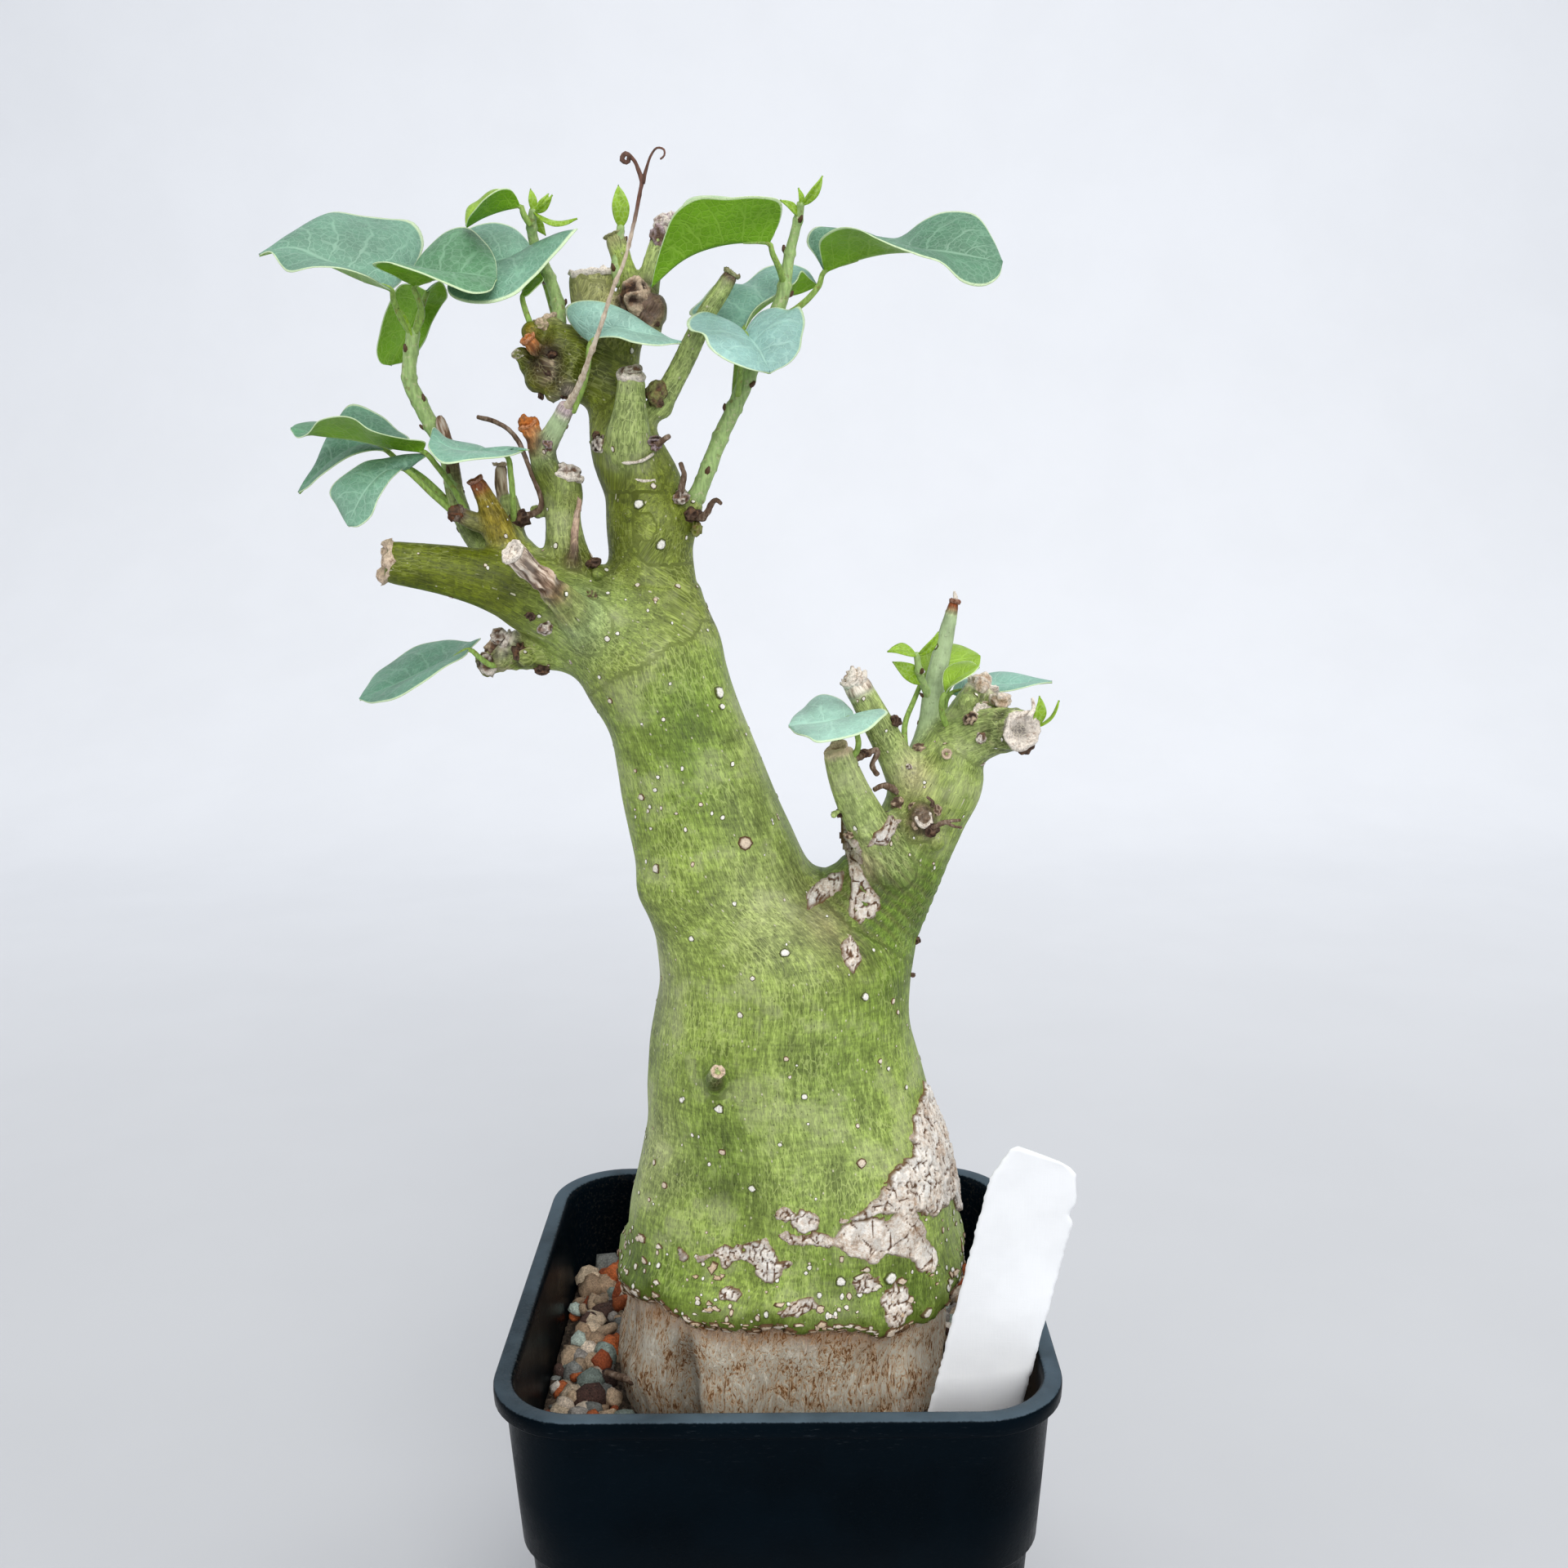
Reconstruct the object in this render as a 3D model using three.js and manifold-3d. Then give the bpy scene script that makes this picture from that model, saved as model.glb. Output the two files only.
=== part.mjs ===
// A potted succulent with a swollen green trunk, cut back limbs and leafy shoots.
// Millimetres, +Z up. The origin is the centre of the pot's base, and the front faces -Y.
// Each mesh is one closed solid: the pot, the grit, the woody body, each shoot, each leaf,
// the dried stem, the hooked tendril and the plant label.

import * as THREE from "three";
import { mergeVertices } from "three/addons/utils/BufferGeometryUtils.js";
import Module from "manifold-3d";

const wasm = await Module();
wasm.setup();

// Driving dimensions
const GAP = 0.3; // clear space between pieces that touch
const SMALLEST_DETAIL = 0.03; // smaller crumbs and edges are merged away
const POT_HEIGHT = 95;
const POT_RIM = 100; // outer width of the rim
const POT_WALL = 1.3;
const POT_FLOOR = 1.6;
const POT_BASE = 80; // outer width of the base
const LIP_DEPTH = 3.2; // height of the turned-down lip
const STEP_HEIGHT = 60; // height of the ledge in the wall
const DRAIN_HOLE = 9; // diameter
const DRAIN_PITCH = 44; // distance between drain holes
const SOIL_TOP = 75;
const PEBBLE_PITCH = 8.4;
const PEBBLE_RADIUS = [3.2, 4.4];
const ROOT_BOTTOM = 42; // depth to which the trunk stands in the grit
const BLADE = 0.8; // thickness of a leaf blade
const STALK_RADIUS = 0.6;
const TAG_WIDTH = 16.2;
const TAG_THICKNESS = 0.9;
const TAG_LENGTH = 82;
const TAG_LEAN = 13; // degrees to the right

// Colours
const COLOUR = {
  pot: 0x1c2226,
  grit: 0x9a7d63,
  bark: 0x7f9a4c,
  stem: 0x8fae5e,
  leaf: 0x7fb39a,
  young: 0x86b52a,
  dry: 0xa58d74,
  dark: 0x4b352b,
  tag: 0xf2f3f5,
};

// Basic tools

function closedSolid(geometry) {
  const bare = geometry.index ? geometry.clone() : geometry;
  bare.deleteAttribute("normal");
  bare.deleteAttribute("uv");
  const merged = mergeVertices(bare, 1e-4);
  return new wasm.Manifold(new wasm.Mesh({
    numProp: 3,
    vertProperties: new Float32Array(merged.attributes.position.array),
    triVerts: new Uint32Array(merged.index.array),
  }));
}

function geometryFrom(points, triangles) {
  const geometry = new THREE.BufferGeometry();
  geometry.setAttribute("position", new THREE.Float32BufferAttribute(points.flatMap((p) => p.toArray()), 3));
  geometry.setIndex(triangles.flat());
  return geometry;
}

function meshFrom(name, solid, colour, roughness = 0.6) {
  const { vertProperties, triVerts } = solid.simplify(SMALLEST_DETAIL).getMesh();
  const geometry = new THREE.BufferGeometry();
  geometry.setAttribute("position", new THREE.BufferAttribute(new Float32Array(vertProperties), 3));
  geometry.setIndex(new THREE.BufferAttribute(new Uint32Array(triVerts), 1));
  geometry.computeVertexNormals();
  const material = new THREE.MeshStandardMaterial({ color: colour, roughness, metalness: 0 });
  const mesh = new THREE.Mesh(geometry, material);
  mesh.name = name;
  return mesh;
}

function joined(solids) {
  return wasm.Manifold.union(solids);
}

// The largest body of a solid, without the crumbs that a cut leaves beside it
function mainBody(solid) {
  return solid.decompose().reduce((best, body) => (body.volume() > best.volume() ? body : best));
}

function vector([x, y, z]) {
  return new THREE.Vector3(x, y, z);
}

// Closed solid through rings of equal count, each ring running anticlockwise seen from the end
function loft(rings) {
  const sides = rings[0].length;
  const points = rings.flat();
  const triangles = [];
  for (let i = 0; i + 1 < rings.length; i++) {
    for (let j = 0; j < sides; j++) {
      const k = (j + 1) % sides;
      const [a, b, c, d] = [i * sides + j, i * sides + k, (i + 1) * sides + k, (i + 1) * sides + j];
      triangles.push([a, b, c], [a, c, d]);
    }
  }
  const middle = (ring) => ring.reduce((sum, p) => sum.add(p), new THREE.Vector3()).divideScalar(sides);
  const [start, end, last] = [points.length, points.length + 1, (rings.length - 1) * sides];
  points.push(middle(rings[0]), middle(rings.at(-1)));
  for (let j = 0; j < sides; j++) {
    const k = (j + 1) % sides;
    triangles.push([start, k, j], [end, last + j, last + k]);
  }
  return closedSolid(geometryFrom(points, triangles));
}

// Tapered tube through points [x, y, z, radius], its rings square to the path
function tube(stations, { sides = 8, grow = 0, steps = 0 } = {}) {
  const path = stations.map(vector);
  let centres = path;
  let radii = stations.map((s) => s[3]);
  if (steps) {
    const curve = new THREE.CatmullRomCurve3(path, false, "centripetal");
    const at = Array.from({ length: steps + 1 }, (_, i) => i / steps);
    centres = at.map((t) => curve.getPoint(t));
    radii = at.map((t) => {
      const place = t * (stations.length - 1);
      const low = Math.min(Math.floor(place), stations.length - 2);
      return THREE.MathUtils.lerp(radii[low], radii[low + 1], place - low);
    });
  }
  let side = null;
  const rings = centres.map((centre, i) => {
    const ahead = centres[Math.min(i + 1, centres.length - 1)];
    const behind = centres[Math.max(i - 1, 0)];
    const along = ahead.clone().sub(behind).normalize();
    if (!side) {
      side = new THREE.Vector3(0, -1, 0);
      if (Math.abs(along.y) > 0.9) side.set(1, 0, 0);
    }
    side = side.sub(along.clone().multiplyScalar(side.dot(along))).normalize();
    const across = along.clone().cross(side);
    const end = i === 0 ? -grow : i === centres.length - 1 ? grow : 0;
    return Array.from({ length: sides }, (_, j) => {
      const turn = (2 * Math.PI * j) / sides;
      const radius = radii[i] + grow;
      return centre.clone()
        .addScaledVector(along, end)
        .addScaledVector(side, radius * Math.cos(turn))
        .addScaledVector(across, radius * Math.sin(turn));
    });
  });
  return loft(rings);
}

// Rounded square at a height, from its half width and corner radius
function roundedSquare(z, half, radius, perCorner = 5) {
  const ring = [];
  const inner = half - radius;
  for (const [quarter, sx, sy] of [[0, 1, 1], [1, -1, 1], [2, -1, -1], [3, 1, -1]]) {
    for (let i = 0; i < perCorner; i++) {
      const turn = (quarter + i / (perCorner - 1)) * (Math.PI / 2);
      ring.push(new THREE.Vector3(sx * inner + radius * Math.cos(turn), sy * inner + radius * Math.sin(turn), z));
    }
  }
  return ring;
}

// Small repeatable random numbers
function seeded(seed) {
  let state = seed;
  return () => {
    state = (state + 0x6d2b79f5) | 0;
    let t = Math.imul(state ^ (state >>> 15), 1 | state);
    t = (t + Math.imul(t ^ (t >>> 7), 61 | t)) ^ t;
    return ((t ^ (t >>> 14)) >>> 0) / 4294967296;
  };
}

// Pot

const RIM_HALF = POT_RIM / 2;
const BASE_HALF = POT_BASE / 2;
const LEDGE = 1.4; // how far the wall steps in at the ledge
const UNDER_LIP = 1.8; // how far the lip stands out from the wall
const wallUnderLip = RIM_HALF - UNDER_LIP;
const wallAboveStep = wallUnderLip - 2;
const wallBelowStep = wallAboveStep - LEDGE;

// Inner half width of the pot at a height above its floor
function potInner(z) {
  const above = (z - STEP_HEIGHT) / (POT_HEIGHT - STEP_HEIGHT);
  const below = (z - POT_FLOOR) / (STEP_HEIGHT - POT_FLOOR);
  if (z > STEP_HEIGHT) return THREE.MathUtils.lerp(wallAboveStep, RIM_HALF - 3.5 + POT_WALL, above) - POT_WALL;
  return THREE.MathUtils.lerp(BASE_HALF + 0.3, wallBelowStep, below) - POT_WALL;
}

// Inner corner radius of the pot at a height
function potCorner(z) {
  return z > STEP_HEIGHT ? 12.2 : THREE.MathUtils.lerp(9.6, 11.7, (z - POT_FLOOR) / (STEP_HEIGHT - 2 - POT_FLOOR));
}

function potSolid() {
  const outside = [
    [0, BASE_HALF - 0.8, 10.5],
    [0.8, BASE_HALF, 11],
    [STEP_HEIGHT - 2, wallBelowStep, 13],
    [STEP_HEIGHT + 1.5, wallAboveStep, 13.6],
    [POT_HEIGHT - LIP_DEPTH, wallUnderLip, 14.4],
    [POT_HEIGHT - LIP_DEPTH, RIM_HALF - 0.2, 15.2],
    [POT_HEIGHT - 0.8, RIM_HALF, 15.4],
    [POT_HEIGHT, RIM_HALF - 0.7, 15],
  ];
  const inside = [
    [POT_HEIGHT, RIM_HALF - 3.1, 12.6],
    ...[POT_HEIGHT - 0.5, STEP_HEIGHT + 1.5, STEP_HEIGHT - 2, POT_FLOOR].map((z) => [z, potInner(z), potCorner(z)]),
  ];
  const shell = loft([...outside, ...inside].map(([z, half, radius]) => roundedSquare(z, half, radius)));
  const offset = DRAIN_PITCH / 2;
  const holes = [[1, 1], [-1, 1], [-1, -1], [1, -1]].map(([sx, sy]) => {
    const hole = new THREE.CylinderGeometry(DRAIN_HOLE / 2, DRAIN_HOLE / 2, 4 * POT_FLOOR, 14);
    hole.rotateX(Math.PI / 2);
    hole.translate(sx * offset, sy * offset, POT_FLOOR / 2);
    return closedSolid(hole);
  });
  return shell.subtract(joined(holes));
}

// Woody body: trunk

// Trunk stations: height, centre in X, half width, depth as a share of the half width
const TRUNK = [
  [ROOT_BOTTOM, 0, 20, 0.85],
  [56, 0, 28, 0.84],
  [66, 0.6, 31.2, 0.83],
  [75, 0.7, 32.6, 0.83],
  [83, 0.4, 33.5, 0.83],
  [88, 0.9, 32.8, 0.84],
  [91, 1.2, 33, 0.87],
  [95, 1.6, 33, 0.88],
  [101, 2.4, 32.6, 0.88],
  [107, 3, 32, 0.88],
  [115, 3, 31, 0.88],
  [122, 3.2, 29.7, 0.88],
  [130, 2.8, 27.7, 0.89],
  [136, 1.7, 26.7, 0.9],
  [146, 1, 24.8, 0.9],
  [156, 1.6, 23.3, 0.9],
  [161, 1.4, 23.2, 0.9],
  [166, -0.2, 22.2, 0.9],
  [171, -4.6, 19.4, 0.92],
  [175, -8.5, 17, 0.94],
  [180, -10, 15.8, 0.95],
  [190, -12.9, 14.6, 0.95],
  [200, -15.7, 13.3, 0.95],
  [210, -18.6, 12.3, 0.95],
  [215, -20, 11.7, 0.95],
  [220, -20.8, 10.5, 0.95],
  [225, -21.3, 8.5, 0.95],
  [230, -21.4, 7.6, 0.95],
];

const TRUNK_SIDES = 20;

// Swellings and hollows of the trunk: bearing in degrees (-90 is the front), height,
// spread in degrees, spread in height, rise
const SWELLS = [
  [-72, 97, 42, 6, 2],
  [-122, 95, 16, 7, 1],
  [-128, 76, 9, 9, -3.2],
  [-112, 118, 10, 14, -2],
  [-150, 112, 20, 16, 1.2],
  [-60, 122, 26, 16, 1.6],
  [-95, 160, 30, 10, 0.8],
  [60, 100, 40, 12, 1.5],
  [120, 130, 30, 16, 1.2],
  [95, 82, 12, 10, -2],
];

function trunkRise(bearing, z) {
  return SWELLS.reduce((sum, [at, height, spread, spreadZ, rise]) => {
    const turn = ((bearing - at + 540) % 360) - 180;
    return sum + rise * Math.exp(-((turn / spread) ** 2) - ((z - height) / spreadZ) ** 2);
  }, 0);
}

function trunkRing([z, cx, half, depth], grow, lift) {
  return Array.from({ length: TRUNK_SIDES }, (_, j) => {
    const turn = (2 * Math.PI * j) / TRUNK_SIDES;
    const [c, s] = [Math.cos(turn), Math.sin(turn)];
    const square = (Math.abs(c) ** 2.3 + Math.abs(s) ** 2.3) ** (-1 / 2.3);
    const rise = trunkRise(THREE.MathUtils.radToDeg(turn), z) + grow;
    return new THREE.Vector3(cx + c * (half * square + rise), s * (half * depth * square + rise), z + lift);
  });
}

function trunkSolid(grow = 0) {
  const last = TRUNK.length - 1;
  return loft(TRUNK.map((station, i) => trunkRing(station, grow, i === 0 ? -grow : i === last ? grow : 0)));
}

// The hole in the grit for the trunk's root, carried on upwards to clear the pebbles
function trunkHoleSolid() {
  const foot = TRUNK.filter(([z]) => z <= 83);
  return loft([
    trunkRing(foot[0], GAP, -GAP),
    ...foot.slice(1).map((station) => trunkRing(station, GAP, 0)),
    trunkRing(foot.at(-1), GAP, 12),
  ]);
}

// Limbs, stubs and twigs grown from the trunk: points [x, y, z, radius]
const LIMBS = {
  main_top: [[-23, 0, 218, 11], [-21.6, 1, 227, 8.2], [-21.8, 1, 235, 7.5], [-21.8, 0, 242, 7.7],
    [-22.5, 1, 248, 7.1], [-25.7, 2, 254, 5.4], [-27.9, 3, 262.5, 4.6], [-28.3, 4, 271, 4.3]],
  crown_left: [[-28.3, 4, 270, 4.3], [-29.8, 4, 276.8, 4.1], [-31.2, 4, 281, 3.9], [-31.6, 4, 286.2, 3.8]],
  crown_right: [[-28.1, 5, 271, 4.1], [-25.2, 4, 277.4, 4], [-22.8, 3, 281, 3.5]],
  crown_right_a: [[-23.6, 4, 280, 2.4], [-25.5, 5, 286.7, 1.9], [-27.3, 6, 292.7, 1.9]],
  crown_right_b: [[-22.2, 4, 280, 2.4], [-20.4, 6, 288, 1.9], [-18.1, 8, 294.6, 1.9]],
  gnarl: [[-29, 4, 267.5, 4.4], [-34.5, 3, 269.8, 6.2], [-38.6, 1, 271.4, 5.9], [-41, -1, 273, 3.6]],
  gnarl_top: [[-37.7, 2, 272.5, 3.2], [-39, 2, 276, 2.6], [-40, 2, 277.8, 2.3]],
  gnarl_tip: [[-40, -1, 272, 2.2], [-43, -3, 272, 1.1]],
  front_stub: [[-24.2, -2, 252, 4.8], [-24.2, -5, 259, 3.7], [-24, -6, 264, 2.7], [-23.7, -6.5, 267.5, 2.1]],
  right_twig: [[-23, 1, 259.5, 2], [-19.2, -1, 263.2, 2.2], [-16.4, -2, 267.4, 2], [-13.5, -3, 272.5, 1.9],
    [-10.4, -4, 278.3, 1.7], [-8, -4, 281.6, 1.6], [-6, -4, 284.7, 1.4]],
  left_limb: [[-23, 0, 218, 9.5], [-33, -4, 225, 7.7], [-42.4, -8, 230, 6.1], [-53, -11, 233.8, 4.7],
    [-66.2, -14.4, 236.4, 3.6]],
  under_left: [[-28, -1, 221, 6], [-36.4, -2, 220.3, 4.8], [-43, -2, 219.6, 3.6], [-47.8, -1, 218.8, 3],
    [-53, 0, 216.5, 2]],
  under_left_knob: [[-42, -2, 219.2, 3], [-48, -3, 221.5, 1.9]],
  dry_stub: [[-32, -9, 224, 4], [-35.5, -16, 229.4, 2.6], [-39.4, -21, 234.6, 2.2], [-42.3, -25, 238, 2]],
  fork_stub: [[-33, -2, 226, 6.2], [-36.3, -4, 235, 3.6], [-36.8, -4, 242.4, 3.1], [-36.6, -4, 248, 3.2],
    [-35.9, -4, 250.5, 2.6]],
  fork_stub_left: [[-36.6, -4, 247, 3.2], [-39.6, -4, 252, 2.5], [-40.5, -4, 255.5, 2], [-42.4, -4, 259.3, 1.7]],
  fork_stub_twig: [[-40, -4, 253.5, 1.9], [-38.6, -5, 256.7, 1.9], [-36.4, -6.5, 260, 1.7], [-34.6, -7.5, 263, 1.5]],
  shared_base: [[-42.5, -6, 228.5, 5.2], [-47, -5, 237.5, 4.8]],
  left_twig: [[-47, -5, 235, 3.8], [-53.4, -3, 240.4, 1.9], [-55.7, -2, 245.4, 1.8], [-57, -1.5, 250.5, 1.6]],
  left_dry: [[-56, -2, 250, 1.2], [-57, -3, 256.5, 1.3], [-58.4, -3, 261.5, 0.7]],
  yellow_stub: [[-46, -6, 236, 3.2], [-47.8, -9, 242.6, 2.4], [-49.2, -11, 247, 1.7], [-50.6, -12, 250, 1.4]],
  side_stub: [[-48, -7, 241.5, 1.9], [-52.3, -10, 243.2, 1.6], [-54.1, -11, 244.4, 1.4]],
  right_stub: [[-45, -4, 235, 2.8], [-45.8, -4, 242.5, 2], [-46.5, -4, 247.5, 1.6]],
  pale_stub: [[-46.5, -3, 241, 1.4], [-48, -1, 248.2, 1.2], [-48.2, -1, 252.8, 1.2]],
  pink_twig: [[-35.5, -5, 233, 1.4], [-34.5, -9, 237, 1], [-34, -9, 242, 0.8], [-33, -8.5, 247, 0.6]],
  right_limb: [[0, 0, 146, 18.5], [7, 0, 156, 15.5], [13, 0, 164, 12.4], [18.5, 0, 171, 10.2], [24, 0, 179, 8.4],
    [28, 0, 187.4, 7.9], [30.9, 0, 193.6, 7.5], [33, 1, 198, 6.4]],
  limb_left: [[28, -1, 188, 5.2], [22.8, -3, 198.8, 3.3], [18.8, -5, 206.7, 2.8], [14.4, -6, 215, 2.2]],
  limb_right: [[31.5, 0, 194, 6.8], [34, 2, 201, 5], [37.3, 4, 206.7, 4], [39.3, 5, 211.5, 2.8]],
  limb_end: [[34, 0, 200.5, 4.8], [40, -4, 204, 4], [45, -8, 205, 3.2]],
  limb_green: [[27, 1, 195, 3.6], [29, 3, 204, 2.1], [30.2, 4, 211.4, 2], [32, 5, 219, 1.7], [34, 6, 227, 1]],
  limb_low: [[22, -5, 179, 5], [16.6, -9, 189, 3.9], [13.3, -10, 196.4, 3.2], [11.7, -10, 202, 2.7]],
  limb_knob: [[26.5, -5, 186, 3.4], [27.3, -10, 189, 1.6]],
  trunk_stub: [[-10.5, -16, 141.5, 2.6], [-10.5, -26.5, 146.5, 1.5], [-9.8, -29, 148.5, 1.1]],
  stem_foot: [[-17, 0, 241, 3.4], [-14.5, -1, 244.5, 2.4], [-13.5, -1, 246.5, 1.9]],
};

// Thin dried bits grown on the wood, six-sided
const DRIED_BITS = {
  right_dead: [[-15, -1, 244, 0.9], [-15.5, -5, 248, 0.6], [-15, -6, 250.5, 0.5], [-15.5, -6, 252.5, 0.4]],
  right_curl: [[-14, -1, 244, 0.9], [-12, -4.5, 243, 0.7], [-9.5, -7, 246, 0.5], [-8.5, -8, 245.5, 0.4]],
  limb_dead: [[26, -6, 187, 0.9], [28.5, -10.5, 187.5, 0.6], [31, -11.5, 189, 0.5], [34, -12, 189, 0.4]],
  limb_hook: [[12.5, -10, 199.5, 1], [16, -9.4, 200.6, 0.7], [19, -8.5, 201.5, 0.5], [18, -8.5, 198.5, 0.5], [19, -8, 197, 0.5]],
  limb_bit: [[24, -4, 192.5, 0.9], [20.5, -6, 194.5, 0.6], [18.5, -7, 194, 0.5]],
};

function caudexSolid(grow = 0) {
  const limbs = Object.values(LIMBS).map((stations) => {
    const thick = Math.max(...stations.map((s) => s[3]));
    return tube(stations, { sides: thick > 6 ? 10 : thick > 3 ? 8 : 6, grow });
  });
  const bits = Object.values(DRIED_BITS).map((stations) => tube(stations, { sides: 4, grow }));
  return joined([trunkSolid(grow), ...limbs, ...bits]);
}

// Grit: soil block with a cover of pebbles in relief

function soilSolid(trunkHole, tagHole) {
  const bottom = POT_FLOOR + GAP;
  const stations = [bottom, STEP_HEIGHT - 2, STEP_HEIGHT + 1.5, SOIL_TOP].map((z) => [z, potInner(z) - GAP]);
  const block = loft(stations.map(([z, half]) => roundedSquare(z, half, potCorner(z) - GAP)));
  const random = seeded(5);
  const reach = potInner(SOIL_TOP) - GAP;
  const pebbles = [];
  for (let x = -reach + 2.5, row = 0; x < reach; x += PEBBLE_PITCH, row++) {
    for (let y = -reach + 2 + (row % 2) * (PEBBLE_PITCH / 2); y < reach; y += PEBBLE_PITCH) {
      const radius = THREE.MathUtils.lerp(...PEBBLE_RADIUS, random());
      const px = x + (random() - 0.5) * 3;
      const py = y + (random() - 0.5) * 3;
      const [tiltX, tiltY, tiltZ, flat] = [random() * 3, random() * 3, random() * 6, 0.6 + 0.3 * random()];
      if (Math.hypot(px / 31, py / 25) < 1) continue;
      const pebble = new THREE.IcosahedronGeometry(radius, 0);
      pebble.scale(1, 0.8, flat);
      pebble.rotateX(tiltX);
      pebble.rotateY(tiltY);
      pebble.rotateZ(tiltZ);
      pebble.translate(px, py, SOIL_TOP - 0.1 * radius);
      pebbles.push(closedSolid(pebble));
    }
  }
  const insidePot = loft([bottom, SOIL_TOP + 12].map((z) => roundedSquare(z, reach, potCorner(SOIL_TOP) - GAP)));
  const filled = block.add(joined(pebbles).intersect(insidePot));
  return mainBody(filled.subtract(trunkHole).subtract(tagHole));
}

// Plant label: a flat stake with clipped top corners and a small torn ear on its right edge

const TAG_FOOT = [28.4, -30, 54]; // middle of its lower end, in the grit
const TAG_OUTLINE = [
  [0, 0], [TAG_WIDTH / 2, 16], [TAG_WIDTH / 2, 70], [TAG_WIDTH / 2 - 0.8, 71.5], [TAG_WIDTH / 2 - 0.2, 73],
  [TAG_WIDTH / 2 - 2.6, TAG_LENGTH - 0.8], [-TAG_WIDTH / 2 + 2.2, TAG_LENGTH], [-TAG_WIDTH / 2 - 0.1, 73],
  [-TAG_WIDTH / 2, 16],
];

function tagSolid(grow = 0) {
  const shape = new THREE.Shape(TAG_OUTLINE.map(([x, y]) => new THREE.Vector2(
    x + Math.sign(x) * grow,
    y + (y === 0 ? -grow : 0),
  )));
  const plate = new THREE.ExtrudeGeometry(shape, { depth: TAG_THICKNESS + 2 * grow, bevelEnabled: false });
  plate.translate(0, 0, -TAG_THICKNESS / 2 - grow);
  plate.rotateX(Math.PI / 2);
  plate.rotateY(THREE.MathUtils.degToRad(TAG_LEAN));
  plate.translate(...TAG_FOOT);
  return closedSolid(plate);
}

// Leaves

function spaced(points, steps) {
  return new THREE.CatmullRomCurve3(points, false, "centripetal").getSpacedPoints(steps);
}

// Leaf blade: each half is ruled from the rib to its edge, and the sheet has two parallel faces.
// Left and right are as seen from the base towards the tip with the upper face up.
function bladeSolid({ rib, left, right }, rows, perHalf) {
  const ribPoints = rib.map(vector);
  const [base, tip] = [ribPoints[0], ribPoints.at(-1)];
  const ribLine = spaced(ribPoints, rows);
  const leftLine = spaced([base, ...left.map(vector), tip], rows);
  const rightLine = spaced([base, ...right.map(vector), tip], rows);
  const sheet = [base];
  for (let i = 1; i < rows; i++) {
    for (let j = -perHalf; j <= perHalf; j++) {
      const edge = j < 0 ? leftLine[i] : rightLine[i];
      sheet.push(ribLine[i].clone().lerp(edge, Math.abs(j) / perHalf));
    }
  }
  sheet.push(tip);
  const width = 2 * perHalf + 1;
  const at = (i, j) => 1 + (i - 1) * width + j;
  const [first, last] = [0, sheet.length - 1];
  const faces = [];
  for (let j = 0; j + 1 < width; j++) {
    faces.push([first, at(1, j + 1), at(1, j)]);
    for (let i = 1; i + 1 < rows; i++) {
      faces.push([at(i, j), at(i, j + 1), at(i + 1, j + 1)], [at(i, j), at(i + 1, j + 1), at(i + 1, j)]);
    }
    faces.push([at(rows - 1, j), at(rows - 1, j + 1), last]);
  }
  const middle = geometryFrom(sheet, faces);
  middle.computeVertexNormals();
  const normals = middle.attributes.normal;
  const shifted = (offset) => sheet.map((p, i) => p.clone().addScaledVector(
    new THREE.Vector3().fromBufferAttribute(normals, i), offset));
  const points = [...shifted(BLADE / 2), ...shifted(-BLADE / 2)];
  const under = sheet.length;
  const loop = [first];
  for (let i = 1; i < rows; i++) loop.push(at(i, width - 1));
  loop.push(last);
  for (let i = rows - 1; i > 0; i--) loop.push(at(i, 0));
  const triangles = [...faces, ...faces.map(([a, b, c]) => [under + a, under + c, under + b])];
  loop.forEach((a, i) => {
    const b = loop[(i + 1) % loop.length];
    triangles.push([a, under + a, under + b], [a, under + b, b]);
  });
  return closedSolid(geometryFrom(points, triangles));
}

// Stalk that runs from the stem up to the blade and a little way along its rib
function stalkSolid({ stalk, rib }, rows) {
  const run = [...stalk.slice(0, -1).map(vector), ...spaced(rib.map(vector), rows).slice(0, 2)];
  return tube(run.map((p) => [p.x, p.y, p.z, STALK_RADIUS]), { sides: 5 });
}

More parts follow.
